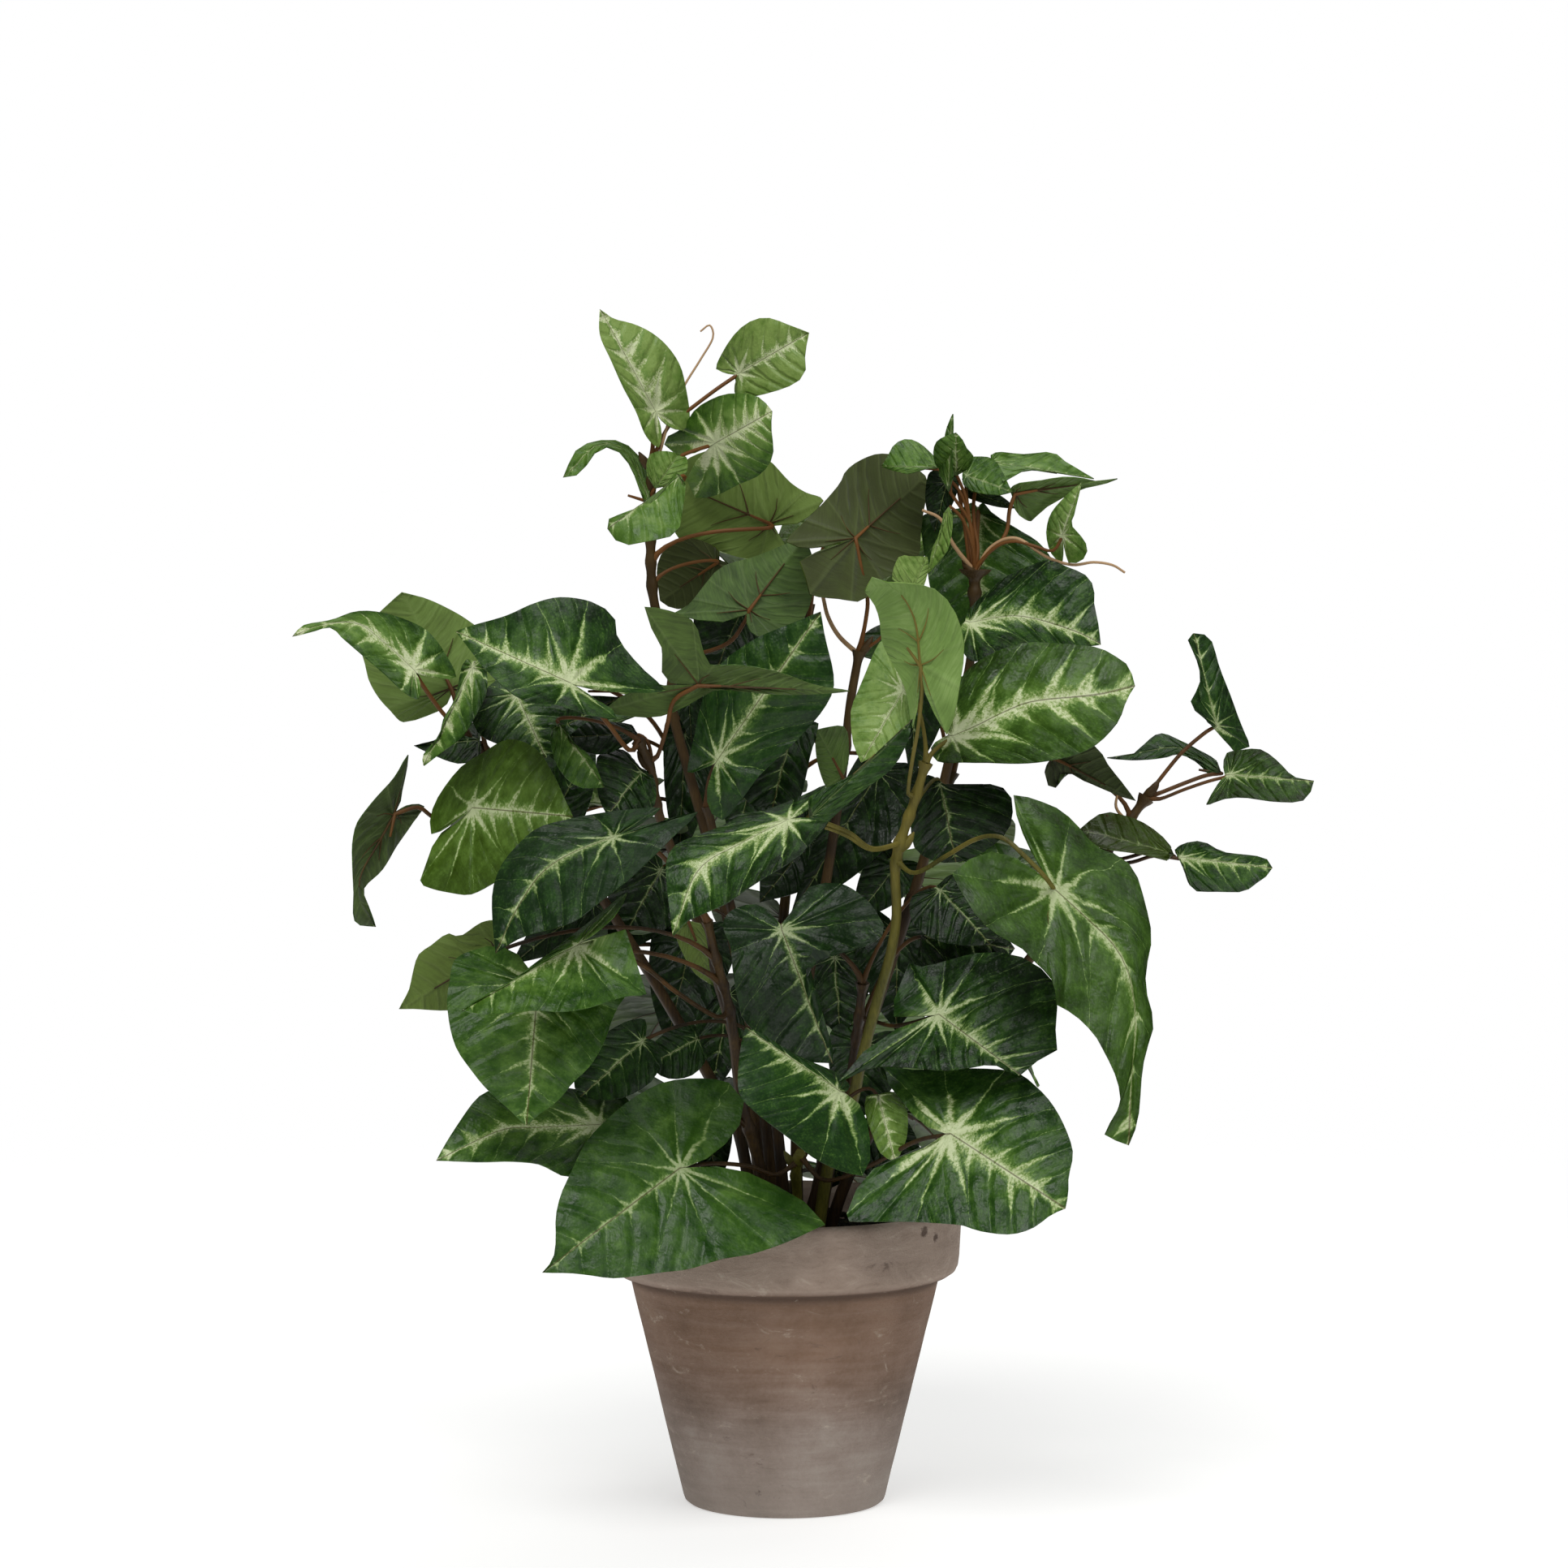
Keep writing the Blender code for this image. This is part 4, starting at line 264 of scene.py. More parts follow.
    ("D20", (49.7, 157.7, -52), (75.8, 138, -68), -15,
     [(80, 141.5), (84, 144.5), (88.8, 147), (87.5, 151), (87.2, 156), (88, 162), (87.2, 168), (84.5, 171),
     (79, 175), (72, 177.5), (62, 177.5), (52, 175), (44.5, 173), (40, 174.3), (36.5, 164), (30, 157),
     (38, 157.2)],
     [(72.5, 139), (67, 141.5), (59, 140.3), (50.5, 139.5), (40, 140.5), (28, 140.5), (17.4, 135.8),
     (21, 141), (28, 148), (34, 152)],
     dict(fold=.1, via=[(29, 155.5, -25), (35, 154, -32), (43, 155.5, -43)])),
    ("D29", (50, 198, -36), (66, 180.5, -42), -10,
     [(69, 184), (68, 191), (62, 199), (54, 203)],
     [(58, 180), (48, 182), (41, 188), (41, 196)],
     dict(small=1)),
    ("D30", (44, 183, -28), (74, 179, -34), -20,
     [(70, 183.5), (60, 186), (50, 186)],
     [(70, 174), (60, 170), (50, 171), (43, 176)],
     dict(small=1)),
],
"f": [
    ("C2", (49, 333.5, -4), (31, 334, -8), 55,
     [(35, 332.6), (40, 331.5), (43, 333)],
     [(33, 337.2), (34.5, 340.2), (37.2, 342.3), (40.3, 342.5), (43.5, 341), (46.3, 338.5), (48.5, 336)],
     dict(arch=3, small=1, via=[(60.5, 308, -4), (59.3, 316, -4), (56, 326, -4)])),
    ("C3", (52.5, 326, -10), (53.8, 350.7, -14), -60,
     [(51.8, 346), (51, 341), (50, 336), (49.5, 331)],
     [(53.9, 346), (53.6, 341), (53.6, 336), (54, 331)],
     dict(small=1, wave=0, arch=1, via=[(60.5, 308, -4), (59.3, 316, -4)])),
    ("C4", (52.5, 321, -14), (46, 299.5, -20), 55,
     [(49.7, 304), (52.3, 307.6), (53.6, 314.4), (53.5, 319)],
     [(47.4, 307.6), (49.7, 312.8), (51, 319)],
     dict(small=1, wave=0, arch=1, via=[(60, 309, -6), (57, 317, -10)])),
    ("C5", (55, 331, -4), (54.8, 344.8, -18), -5,
     [(50, 343), (48, 341), (47.5, 337.5), (49, 333.5)],
     [(57, 342.4), (58.5, 339.3), (60.5, 337), (58.5, 333)],
     dict(small=1, wave=0, via=[(60.5, 308, -4), (59.3, 316, -4), (58, 324, -4)])),
    ("C6", (58, 331, 3), (72.8, 325.8, -6), -40,
     [(71, 329.5), (69, 333.5), (66.5, 336.5), (61, 337), (57, 336)],
     [(69, 324.8), (64, 325.2), (60, 326), (57, 328.5)],
     dict(small=1, wave=0, via=[(60.5, 308, -4), (59.3, 316, -4), (58.3, 324, -1)])),
    ("C7", (66, 335.5, 10), (99, 330, 6), -60,
     [(94, 333), (90, 335.2), (87, 337.8), (84, 338.5), (76, 337.8), (69.5, 338.5), (66, 337.5)],
     [(93, 331), (88, 331.8), (82, 332.6), (76.5, 332.6), (72, 330), (70, 329)],
     dict(fold=.1, arch=2, wave=0, small=1, via=[(61.8, 308, -1.2), (60.6, 316, 1.2), (61, 326, 5)])),
    ("C8", (74, 325.5, 4), (106.5, 330, 0), -135,
     [(103, 328.6), (95, 326.6), (88, 323.3), (83, 320.3), (79, 316.5), (75, 318.5), (73, 322)],
     [(100, 329.3), (95, 330.2), (90, 330.6), (85, 330.1), (80, 329.2), (75, 328.6), (72, 326.5)],
     dict(fold=-.1, arch=1, wave=0, via=[(65, 306, -3), (69, 309.5, -3), (71.3, 314, -1), (72, 320, 1)])),
    ("C9", (89, 312, -14), (95, 328.8, -20), -10,
     [(93.5, 322), (92.5, 317.5), (91.6, 315.3), (95, 311.5), (97, 308), (96.3, 305), (94.3, 303.4),
     (91, 303.2)],
     [(91.5, 326), (88, 322.5), (85, 318.5), (83.8, 313), (84.6, 308), (86.3, 305), (89, 303.3)],
     dict(small=1, wave=0, via=[(65, 306, -5), (69, 309, -7), (74, 310, -9), (80, 308.5, -11),
          (86, 307, -13)])),
    ("C11", (62, 319, 14), (63, 276, 8), 5,
     [(73, 283), (82, 292), (86, 302), (84.5, 306), (81, 310), (76, 313), (71, 316), (66, 319.5),
     (63.5, 322.5)],
     [(54, 280), (50, 287), (46.8, 294.5), (45.5, 302), (44, 311), (43.7, 317.8), (50, 319.5), (57, 320.8),
     (60, 322.5)],
     dict()),
    ("E21", (42.5, 268, 8), (40.5, 234, 6), 0, (11, 5), (4, 4), dict(wave=0)),
    ("E14", (52, 329, 0), (48, 313, 2), 0, (4, 6.5), (3, 3), dict(arch=1, wave=0)),
    ("E15", (60, 326, 6), (74, 320.5, 8), 0, (3, 2.5), (4, 4), dict(wave=0)),
    ("C12", (59.5, 284, -16), (101.4, 277, -28), -40,
     [(100.5, 284), (99.2, 290), (99, 295.5), (96, 299.5), (91, 301.5), (85, 304), (78, 302), (71, 298.7),
     (64, 293), (59, 288)],
     [(96, 276.3), (88, 276.3), (76, 275.3), (67, 273.6), (60.5, 271.5), (57, 275), (56, 281)],
     dict(fold=.3, arch=2, mid=[(75, 286), (92, 281.5)])),
],
"g": [
    ("D2", (-119.3, 268.9, -20), (-157.9, 279.5, -30), 40,
     [(-152, 281), (-145.5, 282.3), (-142, 279), (-135, 273), (-129, 268), (-122, 261.5), (-117.5, 259.5),
     (-117, 264)],
     [(-154.5, 283), (-149.5, 284), (-144.5, 285), (-138, 287.5), (-131, 287.5), (-122, 285),
     (-114.5, 281), (-109, 274), (-105.5, 266.5), (-110, 266), (-115.5, 267)],
     dict(fold=.2, arch=2, mid=[(-128, 277), (-137, 283.5), (-148, 283.3)], via=[(-109, 254, -13.5),
          (-115, 262, -17)])),
    ("D3", (-107, 263, 0), (-122.8, 293.6, 8), 170,
     [(-127, 290), (-133, 284), (-136, 277), (-134.5, 270), (-133.5, 265.5), (-130.5, 260),
     (-126.5, 255.5), (-122.5, 252), (-115, 254), (-109, 257)],
     [(-116, 292), (-109, 289), (-102, 285), (-95, 279), (-92, 270), (-95, 261), (-101, 258), (-104, 260)],
     dict(fold=.1)),
    ("D4", (-100, 270, -26), (-116, 238, -40), 60,
     [(-110, 242.5), (-103.5, 247.5), (-99, 254.5), (-96, 260.5), (-95.5, 266.5), (-97, 271.5)],
     [(-116, 241.5), (-111, 247.5), (-109.5, 253), (-106.5, 258), (-105, 262.5), (-104, 268.5),
     (-102, 272)],
     dict(fold=-.1)),
    ("D5", (-98, 246, -12), (-119, 244.5, -14), 50,
     [(-114, 242), (-108, 239.5), (-103.3, 238.8), (-98, 241)],
     [(-113, 246), (-105, 250), (-98, 252)],
     dict(small=1)),
    ("D6", (-86, 261, -22), (-77, 240.5, -28), -10,
     [(-71.5, 245), (-70, 254), (-73, 261), (-80, 265)],
     [(-84, 242), (-91, 244.5), (-98, 248), (-100.5, 255), (-95, 263.5), (-89, 267)],
     dict()),
    ("D7", (-100.3, 224.5, -34), (-68.2, 221.6, -58), -10,
     [(-71, 228), (-74.5, 235.5), (-80, 243.5), (-88.5, 246.5), (-97, 242), (-104, 237.5), (-110, 230),
     (-113.3, 223.5), (-113.6, 216), (-106, 220)],
     [(-75, 213), (-85, 205), (-93, 200.5), (-101, 196.5), (-107.5, 197), (-114, 198.5), (-117.2, 201),
     (-113.4, 211), (-112.8, 214.6), (-106, 218.8)],
     dict(fold=0)),
    ("D8", (-126, 222, -26), (-131.7, 186.2, -36), 125,
     [(-134, 193), (-135.3, 198.5), (-129.5, 204.3), (-125, 212), (-120, 219), (-116, 225), (-120, 225.6),
     (-123.3, 224.3)],
     [(-138.2, 187.6), (-138.8, 197), (-139, 206), (-139, 213), (-137.7, 219), (-134.5, 223.8),
     (-129.5, 229.8), (-125, 234.8), (-121, 241.5), (-122.5, 232), (-123.7, 226)],
     dict(fold=.1, arch=3, mid=[(-131.5, 212), (-136.6, 203), (-136.8, 194)], via=[(-99, 223, -14),
          (-108, 219.5, -18), (-113, 221.3, -21), (-118, 224.6, -24)])),
    ("E11", (-80, 246, 4), (-53, 260, 9), 0, (10, 12), (6, 6), dict()),
    ("E12", (-74, 222, 0), (-61, 247, 4), 0, (9, 9), (6, 6), dict()),
],
"h": [
    ("D9", (-55, 215, -86), (-93, 177.5, -106), 38,
     [(-85, 182.5), (-76.5, 185), (-67.5, 188), (-59, 194.5), (-50.5, 201), (-43.5, 207.5), (-36, 215),
     (-28, 223), (-38, 220.5), (-47, 218)],
     [(-94, 188), (-94, 197), (-92, 204), (-88.5, 209.5), (-80, 217.5), (-70, 220.5), (-60, 222.5),
     (-50, 223.8), (-40, 224.2), (-46, 219.5)],
     dict(fold=0, arch=5, cup=-3, mid=[(-68, 210), (-78, 203.5), (-86, 192)])),
    ("D11", (-67, 180, -94), (-104, 159, -108), 40,
     [(-98, 157.8), (-90, 158.2), (-80.2, 159), (-71.5, 158.6), (-62.8, 160), (-56.7, 162.1),
     (-49.8, 163.9), (-44.6, 164.3), (-46.7, 171), (-49, 178), (-50.5, 185), (-57, 183.5)],
     [(-95, 165), (-88.5, 168.3), (-78, 176), (-69, 182.8), (-60, 189.8), (-50.7, 197), (-56, 188)],
     dict(fold=-.2, arch=2, via=[(-22, 157, -44), (-35, 165, -58), (-45, 173, -72), (-56, 178.5, -85)])),
    ("D12", (-79.5, 167, -84), (-83.3, 121.9, -94), 5,
     [(-79.4, 125.3), (-73.3, 129.7), (-68, 135.9), (-62.8, 141), (-58.5, 148.2), (-56, 155),
     (-53.7, 160.3), (-51, 165), (-54, 172), (-64, 177), (-74, 174)],
     [(-84.6, 122.7), (-89, 127), (-95, 132.4), (-100.3, 138.6), (-106.4, 148), (-108.8, 160.5),
     (-108, 168.3), (-106.4, 175.2), (-101, 178.3), (-94, 180), (-87, 178), (-83, 173)],
     dict(fold=.1)),
    ("D13", (-93, 178, -68), (-124.2, 159.5, -78), 165,
     [(-121, 165.5), (-120, 170), (-118, 177), (-114, 180), (-108.5, 184), (-104.5, 183), (-97.7, 187.4),
     (-92, 188), (-88, 185)],
     [(-119.5, 159.5), (-115, 159.2), (-109, 159), (-101, 160), (-94, 164), (-88, 170), (-89, 175)],
     dict()),
    ("D14", (-60, 122, -54), (-112.4, 110.3, -74), 33,
     [(-97.7, 109.9), (-89, 110.1), (-80, 109.4), (-76, 107.7), (-71, 105.3), (-64, 106), (-55, 109),
     (-50, 114), (-53, 119)],
     [(-109, 116.5), (-104.5, 123.5), (-100, 129.7), (-96, 132.7), (-88, 135), (-78, 135), (-68, 133.5),
     (-60, 133), (-52, 131.5), (-50, 127)],
     dict(fold=.1, arch=3, mid=[(-80, 121), (-92, 120)])),
],
"i": [
    ("D15", (-46, 149, -44), (-66, 131, -54), 10,
     [(-58, 130), (-50, 131.5), (-43, 136), (-40, 142), (-41, 148)],
     [(-68, 135), (-67, 143), (-60, 150), (-52, 155), (-45, 156)],
     dict()),
    ("D16", (-28, 150, -34), (-44, 141, -38), 20,
     [(-38, 137), (-30, 138), (-25, 144)],
     [(-44, 146), (-38, 152), (-30, 155)],
     dict(small=1)),
    ("D31", (-31, 188, -40), (-23, 167, -44), -165,
     [(-24.5, 173), (-25, 181), (-27, 187)],
     [(-29, 171), (-33, 178), (-35, 184)],
     dict(small=1)),
    ("C17", (-21.5, 240, -34), (11.5, 287.5, -44), -10,
     [(3, 284), (-2, 282), (-9, 279), (-16, 274.5), (-21, 270), (-25, 263), (-27.5, 255), (-29, 247.5),
     (-31.2, 236), (-27, 237)],
     [(12.8, 280), (14, 275), (15.6, 268), (15.5, 262), (12, 255.5), (6, 248.5), (0, 242.5), (-8, 235),
     (-14, 227), (-20, 220.5), (-24, 223.5), (-25, 230)],
     dict(fold=-.1, arch=3)),
],
"j": [
    ("D24a", (138.5, 251, -10), (131, 280.5, -4), 50,
     [(129, 279.7), (132.6, 271), (133.5, 266), (132.8, 263), (130.3, 257.7), (134.5, 253.5)],
     [(135.5, 279.8), (137.3, 277), (139.3, 270), (141.4, 264.6), (143.4, 259.5), (145.3, 254.2),
     (147.4, 249), (149.2, 244.1), (144, 242.5), (141, 246.5)],
     dict(fold=.1, wave=.4, via=[(119.5, 232.3, -12.6), (126, 240.5, -12), (130, 244.5, -11.5),
          (135.5, 249, -11)])),
    ("D24c", (143, 235, -16), (170, 233, -22), -40,
     [(163.5, 234.3), (160.7, 237), (156.5, 241), (152.5, 243.3), (147, 243), (142, 242), (140.8, 238.5)],
     [(169, 229.5), (166, 226.5), (157, 226.5), (148, 227.8), (141.5, 227.4), (135.5, 225.5), (138.5, 231)],
     dict(fold=.1, wave=.4, via=[(120.5, 227.3, -14), (128.3, 230.3, -15.5), (136.2, 233, -16.5)])),
    ("D24d", (140, 236, -8), (103.6, 240.5, -4), 50,
     [(111, 241.2), (114, 243.5), (120.2, 248.3), (127, 246), (133.6, 242.7), (138.8, 239.4)],
     [(110.1, 239.8), (118.6, 240.2), (123.1, 240.8), (126.4, 241.8), (132.3, 239.2), (136, 235.5)],
     dict(arch=0, wave=0, cols=(5, 1, 1), mid=[(132.5, 240.8), (126, 243.8), (118, 242.8)],
          via=[(121, 229.4, -12), (128.5, 232.4, -10.8), (135.5, 234.9, -9.6)])),
    ("D25b", (127, 208.5, -24), (156.8, 205, -30), -42,
     [(155.5, 207.5), (152, 208.8), (143.3, 209.7), (139.8, 210.5), (137.2, 212.3), (133.7, 213.6),
     (129.4, 213.1), (125.5, 211)],
     [(155.5, 202.8), (151, 199.7), (147.6, 197.5), (139.8, 197.5), (132, 197.7), (130.2, 199.7),
     (128.5, 204.5)],
     dict(fold=.1, wave=.4, via=[(106, 206.5, -17), (112, 207, -19), (119, 209, -22)])),
    ("D25a", (125, 209.5, -22), (95, 217.5, -18), 55,
     [(98, 213), (104, 211), (112, 210), (118, 208.8), (123, 207.5)],
     [(100, 221.7), (104, 223), (108.5, 222), (114, 220.3), (120, 216.3), (124, 212)],
     dict(arch=3, fold=.1, small=1, via=[(107, 208, -15), (112, 208.9, -17), (119, 210.8, -20)])),
    ("D26", (86, 241, -22), (112.8, 226.7, -34), -150,
     [(108.5, 232.5), (104, 238), (101, 243), (96, 246), (89, 246)],
     [(107, 228.5), (103.5, 230), (96.3, 233), (89.5, 236.3), (86.3, 229.5), (83.5, 236)],
     dict(small=1)),
],
"k": [
    ("D17", (-34, 107.8, -66), (-78.3, 74, -90), 12,
     [(-70, 73.8), (-62.8, 73), (-55.9, 72.1), (-49.8, 72.6), (-40, 74), (-30.6, 75.2), (-20, 78.5),
     (-10.6, 80), (1, 84), (9.5, 88), (13, 89.5), (12, 92), (7, 96.4), (-2, 101.7), (-10.6, 106),
     (-20, 108.3)],
     [(-75, 78), (-74, 84), (-74, 92), (-72.4, 99), (-69.5, 105.5), (-64.6, 115.6), (-58.5, 122.6),
     (-51.5, 128.8), (-44.6, 133.2), (-38, 136), (-28, 137), (-18, 135.5), (-13, 129), (-15, 121),
     (-20, 115), (-27, 110)],
     dict(fold=-0, arch=3, via=[(-3, 105.8, -32), (-12, 108.6, -46), (-24, 109.4, -59)])),
    ("D21", (53.6, 119, -60), (90.5, 94.8, -78), -15,
     [(91.5, 100), (91.6, 105), (93, 113), (90, 122), (85.5, 129.7), (80, 135.3), (75.8, 138.4),
     (69.7, 139.8), (59, 140.2), (50.5, 139.9), (40, 139.8), (32.2, 140.8), (34, 134), (39, 128.5),
     (44, 122.5)],
     [(86, 92.7), (80, 88.4), (72.4, 86.4), (62.7, 87.5), (57.5, 89.3), (50, 90), (40, 90.5), (26, 90.5),
     (20.9, 90.5), (20, 93), (21.7, 98), (25.2, 104.3), (31.3, 109.5), (40, 112), (48, 116)],
     dict(fold=0, arch=2, via=[(13, 104, -34), (27, 108.5, -44), (42, 116.5, -54)])),
    ("D22", (30, 131.5, -46), (35.5, 110, -52), -20,
     [(37.5, 113), (39.5, 119), (39.3, 127), (35, 132.5)],
     [(31, 112.5), (28, 119.5), (26, 126), (26.2, 131)],
     dict(small=1)),
],
"r1": [
    ("E7", (-40, 204, 26), (-56, 176, 18), 0, (14, 14), (8, 8), dict()),
    ("E8", (-30, 182, 24), (-38, 148, 16), 0, (15, 13), (8, 8), dict()),
    ("E9", (-18, 164, 20), (-24, 130, 12), 0, (9, 10), (7, 7), dict()),
    ("E10", (-32, 248, 36), (-34, 206, 30), 0, (10, 7), (6, 6), dict()),
    ("E13", (-14, 288, 34), (-24, 264, 28), 0, (11, 15), (6, 6), dict()),
    ("E20", (-31, 264, 34), (-30, 246, 32), 0, (5, 5), (4, 4), dict()),
    ("E16", (-62, 194, 14), (-88, 174, 8), 0, (9, 9), (6, 6), dict()),
    ("E18", (-25, 126, 16), (-22, 101, 14), 0, (8, 8), (6, 6), dict()),
],
"r2": [
    ("E1", (30, 236, 26), (2, 190, 20), 0, (17, 8), (8, 8), dict()),
    ("E22", (-10, 236, 32), (-16, 212, 28), 0, (9, 10), (5, 5), dict()),
    ("E2", (8, 214, 34), (-8, 194, 30), 0, (12, 12), (8, 8), dict()),
],
"r3": [
    ("E19", (36, 206, 28), (22, 188, 24), 0, (9, 9), (5, 5), dict()),
    ("E3", (16, 176, 30), (18, 150, 24), 0, (13, 13), (8, 8), dict()),
    ("E4", (36, 184, 26), (36, 152, 20), 0, (13, 14), (8, 8), dict()),
    ("E5", (26, 148, 22), (22, 122, 16), 0, (14, 12), (6, 6), dict()),
    ("E6", (30, 116, 18), (44, 98, 14), 0, (12, 10), (8, 8), dict()),
    ("E17", (24, 122, 20), (14, 101, 18), 0, (10, 9), (6, 6), dict()),
],
}

# Leaves of the rear stems: compass angle (0 straight back, + to the right), radius and height of the joint,
# radius and height of the tip, roll about the midrib, half width, lobe length.
REAR = {
    "r1": [("R1", -46, 54, 124, 84, 100, 8, 22, 18), ("R2", -60, 62, 178, 106, 154, -8, 23, 19),
           ("R3", -36, 58, 158, 98, 128, 5, 23, 19), ("R4", -67, 66, 224, 108, 206, -10, 22, 18),
           ("R5", -40, 52, 210, 98, 188, 8, 25, 20), ("R6", -72, 60, 262, 100, 258, 6, 23, 17),
           ("R7", -52, 78, 248, 108, 238, -12, 13, 10), ("R8", -20, 48, 286, 66, 288, 10, 13, 10)],
    "r2": [("R9", 16, 62, 99, 94, 78, -6, 20, 9), ("R10", 0, 60, 184, 106, 160, 8, 26, 22),
           ("R11", 20, 64, 148, 106, 120, -8, 25, 20), ("R12", -12, 66, 224, 108, 204, 6, 21, 17),
           ("R13", -10, 60, 266, 98, 256, -10, 23, 18), ("R14", -12, 46, 302, 84, 308, 12, 20, 15),
           ("R15", 24, 36, 313, 68, 322, -8, 18, 13)],
    "r3": [("R16", 46, 54, 122, 90, 92, 6, 22, 18), ("R17", 70, 58, 158, 86, 132, 10, 20, 16),
           ("R18", 38, 58, 200, 102, 180, -6, 25, 20), ("R19", 76, 75, 204, 106, 190, 8, 19, 15),
           ("R20", 52, 60, 220, 100, 202, 8, 23, 18), ("R21", 64, 72, 258, 102, 260, -12, 20, 16),
           ("R22", 54, 56, 280, 88, 290, -6, 20, 16), ("R23", 47, 52, 304, 82, 314, 6, 17, 13)],
}

# The solid that each stem stands for.
NAMES = {"a": "leafy_stem_top_left", "b": "leafy_stem_left_fork", "c": "leafy_stem_top_middle",
         "d": "leafy_stem_front_olive", "e": "leafy_stem_middle", "f": "leafy_stem_top_right",
         "g": "leafy_stem_far_left", "h": "leafy_stem_front_left", "i": "leafy_stem_inner",
         "j": "leafy_stem_far_right", "k": "leafy_stem_low_front", "r1": "leafy_stem_rear_left",
         "r2": "leafy_stem_rear_middle", "r3": "leafy_stem_rear_right"}

# How each leaf is printed: tone from dark to light, share of cream, and lean from bluish to olive.
PRINT = {
    "A1": (.88, 1.6, .1), "A2": (.85, 1, .2), "A3": (.52, 1.5, -.2), "A4": (.6, .4, 0), "A5": (.6, .5, -.1),
    "A5b": (.8, .15, 0), "A6": (.75, .3, .7), "A7": (0, .2, .5), "D1": (.17, .9, -.1), "C18": (.42, .3, .1),
    "D32": (.05, .2, 0), "D33": (.4, .6, 0), "D34": (0, 0, 0), "C1": (.05, .3, .5), "B1": (.45, .3, -.2),
    "C15": (.95, .1, 0), "D36": (.5, .2, 0), "D37": (.05, .15, 0), "C14": (.85, .2, 0), "C16": (.8, .7, 0),
    "C13": (.22, 1.1, .1), "D10": (.08, .95, 0), "D10b": (.25, .1, 0), "D23a": (.26, .5, .1),
    "D28": (.03, .15, 0), "D18": (.08, .7, -.8), "D19": (0, .3, -.4), "D20": (.08, .6, -.1),
    "D29": (0, .2, 0), "D30": (0, .3, 0), "C2": (.6, .1, 0), "C3": (.5, .7, -.3), "C4": (.8, .4, 0),
    "C5": (.5, .6, 0), "C6": (.45, .3, 0), "C7": (.6, .3, 0), "C8": (.65, .3, 0), "C9": (.7, .8, 0),
    "C11": (.28, .4, -.1), "C12": (.07, .95, -.1), "D2": (.42, 1.3, 0), "D3": (.65, .3, .4),
    "D4": (.3, 1.35, 0), "D5": (.05, .1, 0), "D6": (.1, .75, 0), "D7": (.4, .7, .3), "D8": (.3, .3, .1),
    "D9": (.02, .34, -.5), "D11": (.38, .7, 0), "D12": (.4, .45, -.2), "D13": (.5, .4, .6),
    "D14": (.28, .85, 0), "D15": (.08, .3, -.3), "D16": (.08, .3, -.3), "D31": (.5, .2, .6),
    "C17": (.16, .6, -.7), "D24a": (.12, .45, -.3), "D24c": (.12, .5, .1), "D24d": (.2, .1, 0),
    "D25b": (.15, .75, 0), "D25a": (.15, .2, .4), "D26": (.15, .1, .2), "D17": (.36, .22, -.3),
    # The E leaves fill the inside of the plant; their tones near 0 are painted shade for the dark inside of the plant.
    "D21": (.22, .8, -.3), "D22": (.5, 1.05, .3), "E1": (0, .05, 0), "E2": (0, 0, 0), "E3": (.04, .15, 0),
    "E4": (0, .05, 0), "E5": (.05, .15, 0), "E6": (0, 0, 0), "E7": (0, .1, 0), "E8": (0, 0, 0),
    "E9": (.04, .15, 0), "E10": (0, 0, 0), "E11": (.04, .1, 0), "E12": (.05, .1, 0), "E13": (0, 0, 0),
    "E14": (0, .1, 0), "E15": (.04, .1, 0), "E16": (0, .1, 0), "E17": (0, 0, 0), "E18": (0, .05, 0),
    "E19": (.04, .1, 0), "E20": (0, 0, 0), "E21": (0, .1, 0), "E22": (.04, .1, 0), "D35": (.02, .1, 0),
}


def unit(v):
    """The vector at length 1."""
    return v / np.linalg.norm(v)


def seen(p):
    """The point at depth y that shows at (x, z)."""
    x, z, y = p
    return EYE + (np.array([x, 0.0, z]) - EYE) * ((y - EYE[1]) / -EYE[1])


def rail(points, n):
    """n + 1 points spaced evenly along a polyline."""
    points = np.array(points, float)
    d = np.concatenate([[0], np.cumsum(np.linalg.norm(np.diff(points, axis=0), axis=1))])
    s = np.linspace(0, d[-1], n + 1)
    return np.stack([np.interp(s, d, points[:, k]) for k in range(points.shape[1])], 1)


def smooth(points, step):
    """A curve through the points, read off about every step."""
    P = np.array(points, float)
    P = np.vstack([2 * P[0] - P[1], P, 2 * P[-1] - P[-2]])
    out = [P[1]]
    for a, b, c, d in zip(P, P[1:], P[2:], P[3:]):
        n = max(1, int(round(np.linalg.norm(c - b) / step)))
        for k in range(1, n + 1):
            t = k / n
            out.append(.5 * (2 * b + (c - a) * t + (2 * a - 5 * b + 4 * c - d) * t * t
                             + (3 * b - a - 3 * c + d) * t ** 3))
    return np.array(out)


